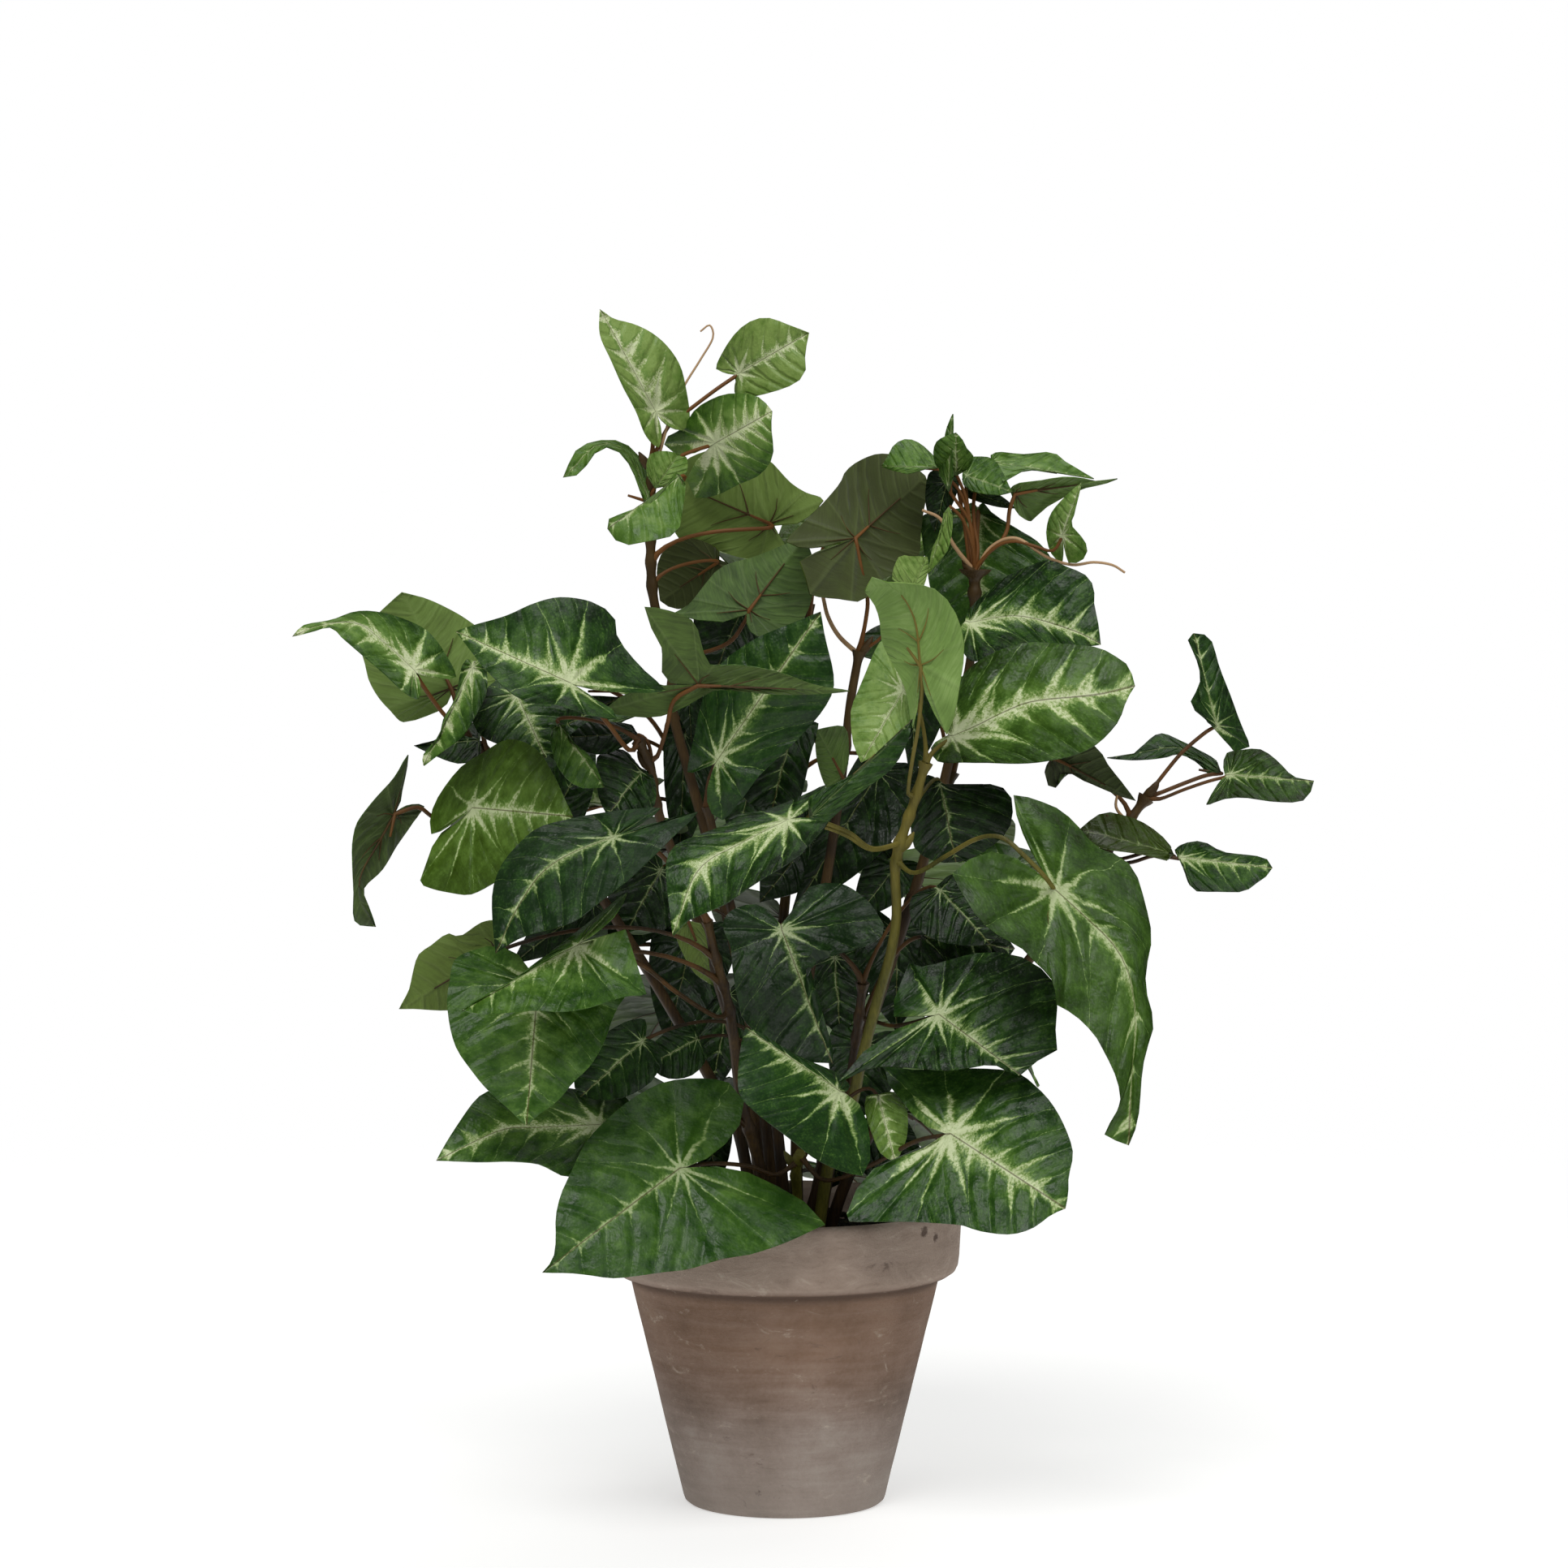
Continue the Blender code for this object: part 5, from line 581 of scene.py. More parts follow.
class Leaf:
    """A blade as a bent sheet, in mm: its joint J and tip T, its axes U along, V aside and N out of the blade, its
    length L, its midrib and margins, and coarse points P and faces that stalks are led clear of. A leaf in sight has
    its outline drawn as it looks from the front; one that isn't has it flat in its own plane."""

    def __init__(self, name, J, T, N, shape, mid, margins, sight):
        self.name, self.J, self.N, self.shape = name, J, N, shape
        self.mid, self.margins, self.sight = mid, margins, sight
        self.U = unit(T - J)
        self.V = np.cross(N, self.U)
        self.L = np.linalg.norm(T - J)
        small = "small" in shape or self.L < 30
        self.coarse(shape.get("cols") or ((2, 1, 1) if not sight else (3, 1, 1) if small else
                                          (5, 2, 2) if self.L > 60 else (4, 2, 1)))

    def strips(self, cols, fine=0):
        """For each side, the points of the midrib and of the margin that face each other, from the tip round to
        the notch: as far as the shoulder, to the end of the lobe, and back to the joint."""
        na, nb, nc = cols
        joint, tip = self.mid[0], self.mid[-1]
        U = unit(self.mid[1] - joint)
        L = np.linalg.norm(tip - joint)
        middle = rail(smooth(self.mid, fine) if fine and len(self.mid) > 2 else self.mid, na)[::-1]
        middle = np.vstack([middle, np.repeat(middle[-1:], nb + nc, 0)])
        ends = [np.array(m, float) for m in self.margins]
        notch = (ends[0][-1] + ends[1][-1]) / 2 - joint
        notch = joint + notch * min(1, 1.6 / (np.linalg.norm(notch) + 1e-9))
        made = []
        for m in ends:
            m = np.vstack([tip, m, notch])
            u = (m - joint) @ U
            # The shoulder is the margin's first point beside the joint, and the lobe ends furthest behind it.
            sh = next((i for i in range(1, len(m) - 1) if u[i] < .16 * L), len(m) - 2)
            far = -u[sh:-1] + .6 * np.linalg.norm(m[sh:-1] - joint, axis=1)
            lo = sh + int(np.argmax(far))
            if fine:
                curve, at = smooth(m, fine), [0]
                for i in (sh, lo, len(m) - 1):
                    at.append(int(np.argmin(np.linalg.norm(curve - m[i], axis=1))))
                m, (sh, lo) = curve, at[1:3]
            if lo > sh:
                edge = np.vstack([rail(m[:sh + 1], na), rail(m[sh:lo + 1], nb)[1:], rail(m[lo:], nc)[1:]])
            else:
                edge = np.vstack([rail(m[:sh + 1], na), rail(m[sh:], nb + nc)[1:]])
            made.append((middle, edge))
        return made

    def place(self, flat, share, relief=0):
        """Points of the bent blade for points of the flat outline."""
        J, U, V, N = self.J, self.U, self.V, self.N
        if self.sight:
            ray = np.stack([flat[:, 0], np.zeros(len(flat)), flat[:, 1]], 1) - EYE
            ray /= np.linalg.norm(ray, axis=1)[:, None]
            P = EYE + ray * (((J - EYE) @ N) / (ray @ N))[:, None]
            u, v = (P - J) @ U, (P - J) @ V
            c = ray @ N
            push = ray / (np.sign(c) * np.maximum(np.abs(c), .45))[:, None]
        else:
            u, v = flat.T
            P, push = J + u[:, None] * U + v[:, None] * V, N[None, :]
        return P + (self.lift(u, v, share) + relief)[:, None] * push

    def lift(self, u, v, share):
        """Height of the bent blade over its plane: arched along the midrib, folded about it, waved at the rim."""
        k, s = self.shape, u / self.L
        w = np.where(s >= 0, 4 * s * (1 - s), 2.4 * s) * k.get("arch", 2)
        w = w + k.get("fold", .1) * (np.sqrt(v * v + 4) - 2) + k.get("cup", 0) * (v / max(8, np.abs(v).max())) ** 2
        w = w + k.get("wave", .8) * np.sin(np.arctan2(v, u) * 4 + sum(map(ord, self.name))) * share ** 2
        return w + k.get("roll", 0) * s * v

    def coarse(self, cols):
        """Points and triangles of the bent blade, in two strips between its midrib and its margin."""
        points, share, index, faces = [], [], {}, []

        def add(key, p, s):
            if key not in index:
                index[key] = len(points)
                points.append(p)
                share.append(s)
            return index[key]

        na, last = cols[0], sum(cols)
        for sign, (middle, edge) in zip((1, -1), self.strips(cols)):
            strip = []
            for i in range(last + 1):
                a = add(("m", min(i, na)), middle[i], 0)
                strip.append((a, a if i == 0 else add("notch" if i == last else (sign, i), edge[i], 1)))
            for (a, b), (d, c) in zip(strip, strip[1:]):
                faces += [face for face in ((a, b, c), (a, c, d)) if len(set(face)) == 3]
        self.faces, self.P = faces, self.place(np.array(points), np.array(share, float))

    def keel(self):
        """Where the leaf stalk ends: under the joint, then along the midrib inside the blade."""
        off = self.P - self.J
        ahead = self.P[np.argmin(np.abs(off @ self.V) + 1e3 * (off @ self.U < 2))]
        step = ahead - self.J
        step = step * min(1, 7 / np.linalg.norm(step))
        return [self.J - self.N * .65 - self.U * .4, self.J + step - self.N * .2]


def plain(L, half, lobes):
    """Midrib and margins of a leaf that is given by its half widths and lobes."""
    return np.array([(0, 0), (L, 0)], float), [
        [(x * (L if x > 0 else lobes[k]), s * y * half[k]) for x, y in EDGE[1:-1]] for k, s in ((0, 1), (1, -1))]


def front_leaf(row):
    """A leaf from its row in LEAVES."""
    name, joint, tip, turn, a, b, shape = row
    J, T = seen(joint), seen(tip)
    U = unit(T - J)
    C = EYE - J
    C = unit(C - U * C.dot(U))
    r = math.radians(turn)
    N = math.cos(r) * C + math.sin(r) * np.cross(U, C)
    if isinstance(a, list):
        mid = np.array([joint[:2]] + list(shape.get("mid", [])) + [tip[:2]], float)
        return Leaf(name, J, T, N, shape, mid, [a, b], True)
    mid, margins = plain(np.linalg.norm(T - J), a, b)
    return Leaf(name, J, T, N, shape, mid, margins, False)


def rear_leaf(row):
    """A leaf from its row in REAR. Its tip swings a little to one side, by turns left and right."""
    name, az, rj, zj, rt, zt, roll, half, lobe = row
    out = np.array([math.sin(math.radians(az)), math.cos(math.radians(az)), 0])
    aside = 7 if int(name[1:]) % 2 else -7
    J = out * rj + (0, 0, zj)
    T = out * rt + (out[1] * aside, -out[0] * aside, zt)
    U = unit(T - J)
    up = unit(np.array([0, 0, 1.0]) - U * U[2])
    r = math.radians(roll)
    N = math.cos(r) * up + math.sin(r) * np.cross(U, up)
    mid, margins = plain(np.linalg.norm(T - J), (half, half * .94), (lobe, lobe * 1.1))
    return Leaf(name, J, T, N, dict(arch=4, fold=.18, wave=1.2), mid, margins, False)


def leaves_of(key):
    """Every leaf of a stem."""
    return [front_leaf(row) for row in LEAVES.get(key, [])] + [rear_leaf(row) for row in REAR.get(key, [])]


def stem_line(key):
    """A stem's axis, from its foot in the soil through the points that it passes."""
    (x, y), via = STEMS[key]
    base = [(x, y, SOIL_TOP - STEM_DEPTH), (x, y, SOIL_TOP - 8), (x, y, SOIL_TOP + 4)]
    return np.vstack([base[:1], smooth(base[1:] + [seen(p) for p in via], 60)])


def bezier(a, b, c, d, n):
    """n + 1 points on a cubic curve."""
    t = np.linspace(0, 1, n + 1)[:, None]
    return a * (1 - t) ** 3 + 3 * b * t * (1 - t) ** 2 + 3 * c * t * t * (1 - t) + d * t ** 3


def dense(points, step=1.5):
    """A polyline read off at even steps."""
    return rail(points, max(2, int(np.linalg.norm(np.diff(points, axis=0), axis=1).sum() / step)))


def air(points, lines, radius):
    """Least air between a stalk on these points and the round things laid so far, as (points, radius)."""
    least = 1e9
    for line, r in lines:
        d = np.linalg.norm(points[:, None, :] - line[None, :, :], axis=2).min()
        least = min(least, d - r - radius)
    return least


def blade_air(points, trees, radius):
    """Least air between a stalk on these points and the blades, each given as a tree of its faces."""
    least = 1e9
    for tree in trees:
        for p in points:
            hit = tree.find_nearest(Vector(p), least + BLADE / 2 + radius)
            if hit[0] is not None:
                least = min(least, hit[3] - BLADE / 2 - radius)
    return least


def stalk(leaf, line, trees, lines, used):
    """The leaf stalk from its stem to the joint, as a fine and a coarse line: through the points that the leaf names,
    or bent until it clears what belongs to other stems."""
    keel = leaf.keel()
    end = keel[0]
    via = [seen(p) for p in leaf.shape.get("via", ())]
    low = np.where(line[:, 2] < SOIL_TOP + STALK_FOOT, 1e3, 0)
    if via:
        S = line[np.argmin(np.linalg.norm(line - via[0], axis=1) + low)]
        fine = smooth([S] + via + [end], 2)
        path = rail(fine, max(2, min(4, int(np.linalg.norm(np.diff(fine, axis=0), axis=1).sum() / 12))))
        return fine, np.vstack([path, keel[1:]])
    # A stalk starts near its joint, rather below it than above, and apart from the stalks before it.
    cost = np.linalg.norm(line - end, axis=1) + np.maximum(0, line[:, 2] - end[2] + 4) * 1.5 + low
    for u in used:
        cost = cost + NODE_COST * (np.linalg.norm(line - u, axis=1) < NODE_GAP)
    best, best_air = None, -1e9
    for start in np.argsort(cost)[:5]:
        S = line[start]
        up = unit(line[min(start + 4, len(line) - 1)] - line[max(start - 4, 0)])
        reach = np.linalg.norm(end - S)
        for bend in BENDS:
            # It leaves up along the stem and comes in under the blade from behind.
            bend = np.array(bend, float) * min(1, reach / 25)
            B = S + (up * .3 + unit(end - S) * .2) * reach + bend
            C = end - (leaf.U * .75 + leaf.N * .45) * reach * .3 + bend * .6
            path = bezier(S, B, C, end, 2 if reach < 32 else 3)
            probe = dense(np.vstack([path, keel[1:]]))
            probe = probe[np.linalg.norm(probe - S, axis=1) > 2]
            a = min(air(probe, lines, PETIOLE_R), blade_air(probe, trees, PETIOLE_R))
            if a > best_air:
                best, best_air = (S, B, C, end, path), a
            if a > CLEAR:
                break
        if best_air > CLEAR:
            break
    return bezier(*best[:4], 14), np.vstack([best[4], keel[1:]])


def route(stems):
    """By stem, every leaf with its stalk's fine line and coarse line, and the axis of the stem."""
    leaves = {key: leaves_of(key) for key in stems}
    lines = {key: stem_line(key) for key in stems}
    trees = {key: [BVHTree.FromPolygons([Vector(p) for p in leaf.P], leaf.faces) for leaf in found]
             for key, found in leaves.items()}
    laid = {key: [(dense(line), STEM_R0)] for key, line in lines.items()}
    made = {}
    for key in stems:
        fine = dense(lines[key])
        others = [tree for k, found in trees.items() if k != key for tree in found]
        made[key], used = [], []
        for leaf in leaves[key]:
            rounds = [one for k, found in laid.items() if k != key for one in found]
            curve, path = stalk(leaf, fine, others, rounds, used)
            used.append(path[0])
            laid[key].append((dense(path), PETIOLE_R))
            made[key].append((leaf, curve, path))
    return made, lines



# Half outline of a leaf laid flat, as shares of its length: tip to shoulder, round the lobe, and in to the joint.
FLAT = (((1, 0), (.93, .06), (.80, .18), (.60, .33), (.36, .44), (.14, .495)),
        ((.14, .495), (-.10, .50), (-.28, .46), (-.42, .33)), ((-.42, .33), (-.34, .14), (-.06, 0)))

# Ribs of a leaf laid flat: radians between those that spread from the joint, side ribs to a leaf's length on its
# face and on its back, and how far the side ribs lean and bow towards the tip.
RIB_TURN, RIB_ROW, BACK_ROW = .62, 5.5, 6.5
RIB_LEAN, RIB_BOW = -.55, -.9
PUCKER, WAVE, FRILL = .024, .012, .008  # height of what is pressed into the cloth, as shares of the leaf's length

LARGE, RIBBED = 34.0, 22.0              # leaves from these lengths on, mm, get a finer grid and moulded ribs
LARGE_GRID, SMALL_GRID = ((18, 8, 5), 10), ((9, 5, 3), 6)   # columns to shoulder, lobe and notch, and rings
MARGIN_STEP = 1.5                       # how finely a margin's curve is read, mm
# Columns that moulded ribs are laid out on, and the side ribs, as (column where a rib leaves the midrib, column where
# it ends, share of the way to the margin).
ROD_COLS = (12, 6, 4)
ROD_RIBS = ((9.6, 7.4, .5), (12.6, 11.6, .55), (18.6, 18.6, .5))

# Dents in the pot's wall and humps of the moss, as (waves to a metre, height); the pot's in metres, the moss's in mm.
POT_DENTS = ((38, .00022), (140, .00008))
POT_INSET = .0002                       # how far the dented wall lies inside the pot's outline, m
POT_SPLIT = .014                        # longer edges of the outline are divided, m
MOSS_HUMPS = ((90, 1.7), (260, 1.1), (620, .6))
POT_STEPS, MOSS_STEPS, MOSS_RINGS = 144, 96, 26
TUFT_SIZES = 1.0, 2.3                   # radii of the smallest and the largest tuft of moss, mm
SLIM_FOOT, SLIM_TOP = .92, .8           # a dressed stem's radius against its solid's

# Colours are sRGB hex. Ramps run from their low to their high end, as (place, colour).
GREENS = (0, "0b2004"), (.2, "1d3e09"), (.42, "375a16"), (.68, "5c802f"), (1, "8ba757")
BACKS = (0, "141d0b"), (.3, "36491b"), (.6, "5b7831"), (.85, "769648"), (1, "8aa85c")
CLAYS = (.26, "5a493e"), (.40, "6f5d51"), (.53, "7f6e64"), (.68, "8f8278"), (.86, "a0958b")
MOSSES = (.30, "0b0b09"), (.52, "1b1c14"), (.66, "33301c"), (.82, "4c4428")
# Each plastic's ramp, and its colour on young wood.
PLASTICS = {"brown": (((.25, "20160a"), (.5, "382711"), (.7, "4e3a18"), (.9, "5a4c20")), "54401e"),
            "olive": (((.25, "403f14"), (.5, "5c5a1e"), (.75, "757029"), (.95, "857a38")), "857236"),
            "russet": (((.25, "241a09"), (.5, "3c2a10"), (.7, "4d3613"), (.9, "58491c")), "855424"),
            "tan": (((.25, "8a6238"), (.5, "a8804f"), (.75, "bd9a6c"), (.95, "c9ab82")), "c8a680")}
# Cream ink as it thickens: its colour, and where it starts, where it is full, and how much it covers then. The
# strength of the print is counted from bare cloth.
BARE = -1.4
INKS = (("5f8636", -1.5, .2, .7), ("a1b76d", -.55, .65, .85), ("d6dfb2", .15, 1.15, 1.0))
# Dark marks on the pot: the place and the radius in metres, and the colour.
MARKS = (((-.0085, -.0345, .0085), .0016, "3c302a"), ((.044, -.0365, .0925), .0022, "4c3c33"),
         ((.0478, -.031, .090), .0016, "4c3c33"))

# Soft lamps: name, compass angle from the front and height in degrees, spread, and share of the key light's strength.
LAMPS = (("key_light", -14, 52, 30, 1.0), ("fill_light", 38, 34, 50, .36), ("top_light", 160, 58, 50, .48))
# The camera: lens and sensor in mm, shift as a share of the frame, and degrees that it looks down.
LENS, SENSOR, SHIFT, LOOK_DOWN = 114.5, 36.0, -.0005, 3.287


def linear(code):
    """An sRGB hex colour as linear RGBA."""
    parts = [int(code[i:i + 2], 16) / 255 for i in (0, 2, 4)]
    return tuple(c / 12.92 if c <= .04045 else ((c + .055) / 1.055) ** 2.4 for c in parts) + (1.0,)


def put(tree, kind, inputs=(), out=0, **settings):
    """Adds a shader node with its settings, links or fills its inputs, and gives the output that is asked for. Inputs
    come by name or in their order, which for MapRange is value, from min, from max, to min, to max."""
    made = tree.nodes.new("ShaderNode" + kind)
    for key, value in settings.items():
        setattr(made, key, value)
    for key, value in inputs.items() if isinstance(inputs, dict) else enumerate(inputs):
        if isinstance(value, bpy.types.NodeSocket):
            tree.links.new(value, made.inputs[key])
        else:
            made.inputs[key].default_value = value
    return made.outputs[out] if len(made.outputs) else made


def stops(ramp, pairs):
    """Sets a colour ramp's stops from (place, hex colour)."""
    band = ramp.node.color_ramp
    while len(band.elements) < len(pairs):
        band.elements.new(.5)
    for stop, (place, code) in zip(band.elements, pairs):
        stop.position = place
        stop.color = linear(code)
    return ramp


def material(name):
    """An empty material and its node tree."""
    found = bpy.data.materials.new(name)
    found.use_nodes = True
    found.node_tree.nodes.clear()
    return found, found.node_tree


def stirred(t, base, stir, amount):
    """A value with noise added to it, counted from the middle of the noise so that the value keeps its level."""
    stir = put(t, "Math", (stir, .5), operation="SUBTRACT")
    return put(t, "Math", (stir, amount, base), operation="MULTIPLY_ADD")


def inside(t, distance, reach, **settings):
    """1 on a line, 0 at its reach, and below 0 beyond it."""
    share = put(t, "Math", (distance, reach), operation="DIVIDE")
    return put(t, "Math", (1.0, share), operation="SUBTRACT", **settings)


def leaf_print(t):
    """What a leaf says about its print: tone, share of cream, a number of its own, and hue."""
    look = put(t, "Attribute", out="Vector", attribute_name="print")
    hue = put(t, "Attribute", out="Alpha", attribute_name="print")
    return *(put(t, "SeparateXYZ", (look,), out=k) for k in range(3)), hue


def flat_place(t, seed, shake):
    """Flat leaf coordinates (along, off to the side), shaken by noise so that printed lines run jagged."""
    uv = put(t, "UVMap", uv_map="leaf")
    away = put(t, "CombineXYZ", (0.0, 0.0, put(t, "Math", (seed, 9.0), operation="MULTIPLY")))
    own = put(t, "VectorMath", (uv, away), operation="ADD")
    for scale, size in shake:
        jolt = put(t, "TexNoise", {"Vector": own, "Scale": scale, "Detail": 2.0}, out="Color")
        jolt = put(t, "VectorMath", (jolt, (.5, .5, .5)), operation="SUBTRACT")
        jolt = put(t, "VectorMath", (jolt, (size, size, 0.0)), operation="MULTIPLY")
        uv = put(t, "VectorMath", (uv, jolt), operation="ADD")
    return uv, own


def ribs(t, uv, count):
    """The rib pattern on flat leaf coordinates: along, away from the midrib, distance to the nearest radial rib and
    to the nearest side rib, place in the row of side ribs, and distance from the joint."""
    u, v = (put(t, "SeparateXYZ", (uv,), out=k) for k in range(2))
    a = put(t, "Math", (v,), operation="ABSOLUTE")
    r = put(t, "VectorMath", (uv,), out=1, operation="LENGTH")
    turn = put(t, "Math", (a, u), operation="ARCTAN2")
    step = put(t, "Math", (put(t, "Math", (turn, RIB_TURN), operation="DIVIDE"), .5), operation="PINGPONG")
    radial = put(t, "Math", (put(t, "Math", (step, RIB_TURN), operation="MULTIPLY"), r), operation="MULTIPLY")
    bow = put(t, "Math", (a, RIB_BOW, RIB_LEAN), operation="MULTIPLY_ADD")
    bow = put(t, "Math", (bow, a, u), operation="MULTIPLY_ADD")
    side = put(t, "Math", (put(t, "Math", (bow, count), operation="MULTIPLY"), .5), operation="PINGPONG")
    side = put(t, "Math", (side, count), operation="DIVIDE")
    # Side ribs fade out behind the joint.
    side = put(t, "Math", (side, put(t, "MapRange", (u, .02, .2, .08, 0.0))), operation="ADD")
    return u, a, radial, side, bow, r


def strokes(t, places, scales, rough):
    """Brush strokes near 1 mm wide along the side ribs, from the place in their row, off the midrib and the seed."""
    brush = [put(t, "Math", pair, operation="MULTIPLY") for pair in zip(places, scales)]
    return put(t, "TexNoise", {"Vector": put(t, "CombineXYZ", brush), "Scale": 1.0, "Detail": 4.0, "Roughness": rough})


def tapered(t, distance, left, width, gain, loss, cap):
    """Ink on a rib, from the distance to it: it thins and weakens with the share of the rib that is left."""
    ink = inside(t, distance, put(t, "Math", (left, width, .0015), operation="MULTIPLY_ADD"))
    ink = put(t, "Math", (ink, put(t, "Math", (left, gain, loss), operation="MULTIPLY_ADD")), operation="ADD")
    return put(t, "Math", (ink, put(t, "Math", (left, cap), operation="MULTIPLY")), operation="MINIMUM")


def leaf_cloth():
    # Printed polyester leaf cloth, heat-pressed with ribs: a satin green ground, cream ink that is dry-brushed out
    # from the midrib and the joint and ends in ragged spurs along the side ribs, a thin brown line on the midrib
    # itself, and shallow pressed puckers that catch a grey shine.
    made, t = material("printed_polyester_leaf_cloth")
    tone, cream, seed, hue = leaf_print(t)
    place, own = flat_place(t, seed, ((4.5, .060), (19.0, .018)))
    u, a, radial, side, bow, r = ribs(t, place, RIB_ROW)
    # Blotches about 4 mm across on a 50 mm leaf, and specks near 0.7 mm that break up dry-brushed ink.
    blotch = put(t, "TexNoise", {"Vector": own, "Scale": 9.0, "Detail": 5.0, "Roughness": .62})
    speck = put(t, "TexNoise", {"Vector": own, "Scale": 72.0, "Detail": 2.0, "Roughness": .65})
    stroke = strokes(t, (bow, a, seed), (42.0, 9.0, 31.0), .7)
    # How far each rib's print reaches, different from rib to rib.
    luck = [put(t, "Math", pair, operation="MULTIPLY") for pair in ((bow, 5.0), (seed, 23.0))]
    luck = put(t, "TexNoise", {"Vector": put(t, "CombineXYZ", luck), "Scale": 1.0, "Detail": 1.0})
    # Ink along the midrib, widest near the joint.
    fade = put(t, "MapRange", (u, .95, .30, .08, 1.0))
    width = put(t, "Math", (put(t, "Math", (cream, .052, .005), operation="MULTIPLY_ADD"), fade), operation="MULTIPLY")
    width = put(t, "Math", (width, put(t, "Math", (luck, 1.5, .25), operation="MULTIPLY_ADD")), operation="MULTIPLY")
    core = inside(t, a, width)
    # Spurs along the side ribs, each ending at its own distance and shorter towards the tip.
    reach = put(t, "Math", (put(t, "Math", (luck, 1.0, -.20), operation="MULTIPLY_ADD"),
                            put(t, "Math", (cream, .46, .20), operation="MULTIPLY_ADD")), operation="MULTIPLY")
    reach = put(t, "Math", (reach, put(t, "MapRange", (u, .95, .55, .3, 1.0))), operation="MULTIPLY")
    left = inside(t, a, put(t, "Math", (reach, .02), operation="MAXIMUM"), use_clamp=True)
    spur = tapered(t, side, left, put(t, "Math", (cream, .027, .004), operation="MULTIPLY_ADD"), 1.5, -.75, .78)
    # The star of ribs round the joint, and the joint itself.
    reach = put(t, "Math", (luck, put(t, "Math", (cream, .34, .34), operation="MULTIPLY_ADD")), operation="MULTIPLY")
    left = inside(t, r, put(t, "Math", (reach, .10), operation="ADD"), use_clamp=True)
    star = tapered(t, radial, left, put(t, "Math", (cream, .032), operation="MULTIPLY"), 1.6, -.7, 1.25)
    joint = put(t, "MapRange", (r, 0.0, put(t, "Math", (cream, .19, .05), operation="MULTIPLY_ADD"), .9, BARE))
    ink = put(t, "Math", (put(t, "Math", (core, spur), operation="MAXIMUM"),
                          put(t, "Math", (star, joint), operation="MAXIMUM")), operation="MAXIMUM")
    ink = put(t, "Math", (ink, BARE), operation="MAXIMUM")
    for stir, amount in ((stroke, 2.1), (blotch, 1.5), (speck, 2.6)):
        ink = stirred(t, ink, stir, amount)
    wet = put(t, "Math", (cream, .72, .22), operation="MULTIPLY_ADD")
    inks = []
    for shade, low, full, most in INKS:
        share = put(t, "MapRange", (ink, low, full, 0.0, most), interpolation_type="SMOOTHSTEP")
        inks.append((put(t, "Math", (share, wet), operation="MULTIPLY"), shade))
    # Ground: the tone of the leaf, clouded, lighter beside the midrib and darker at the margin.
    cloud = stirred(t, tone, blotch, .95)
    near = put(t, "MapRange", (a, 0.0, .42, .32, -.06))
    cloud = put(t, "Math", (cloud, put(t, "Math", (near, cream), operation="MULTIPLY")), operation="ADD")
    cloud = stirred(t, cloud, stroke, .20)
    cloud = put(t, "Math", (cloud, put(t, "MapRange", (u, .55, .95, 0.0, -.12))), operation="ADD")
    skin = stops(put(t, "ValToRGB", (cloud,)), GREENS)
    cool, warm = put(t, "MapRange", (hue, 0.0, -1.0, 0.0, .5)), put(t, "MapRange", (hue, 0.0, 1.0, 0.0, .6))
    middle = put(t, "SeparateXYZ", (put(t, "UVMap", uv_map="leaf"),), out=1)
    vein = put(t, "MapRange", (put(t, "Math", (middle,), operation="ABSOLUTE"), .0015, .0060, .75, 0.0))
    for share, shade in ((cool, "1f4119"), (warm, "6f7a26"), *inks, (vein, "4a3c1c")):
        skin = put(t, "Mix", {0: share, 6: skin, 7: linear(shade)}, out=2, data_type="RGBA")
    # Pressed ribs and puckers, crumple about 5 mm across, folds near 17 mm, and a weave drawn near 0.8 mm, which is
    # coarser than the real 0.3 mm so that it shows.
    true, _ = flat_place(t, seed, ((4.0, .06),))
    _, b, pressed, rib, *_ = ribs(t, true, RIB_ROW)
    groove = put(t, "Math", (put(t, "Math", (b, pressed), operation="MINIMUM"), rib), operation="MINIMUM")
    height = put(t, "MapRange", (groove, 0.0, .05, 0.0, .7), interpolation_type="SMOOTHSTEP")
    body = put(t, "TexCoord", out="Object")
    crumple = put(t, "TexNoise", {"Vector": body, "Scale": 150.0, "Detail": 3.0, "Roughness": .5})
    fold = put(t, "TexNoise", {"Vector": body, "Scale": 58.0, "Detail": 1.0})
    weave = put(t, "TexVoronoi", {"Vector": own, "Scale": 62.0})
    for part, amount in ((crumple, 1.9), (fold, 4.5), (stroke, .2), (weave, .08)):
        height = put(t, "Math", (part, amount, height), operation="MULTIPLY_ADD")
    bump = put(t, "Bump", {"Strength": .75, "Distance": .0008, "Height": height})
    rough = put(t, "MapRange", (blotch, .3, .7, .29, .47))
    shader = put(t, "BsdfPrincipled", {"Base Color": skin, "Roughness": rough, "Normal": bump, "IOR": 1.4,
                                       "Specular IOR Level": .42})
    put(t, "OutputMaterial", (shader,))
    return made


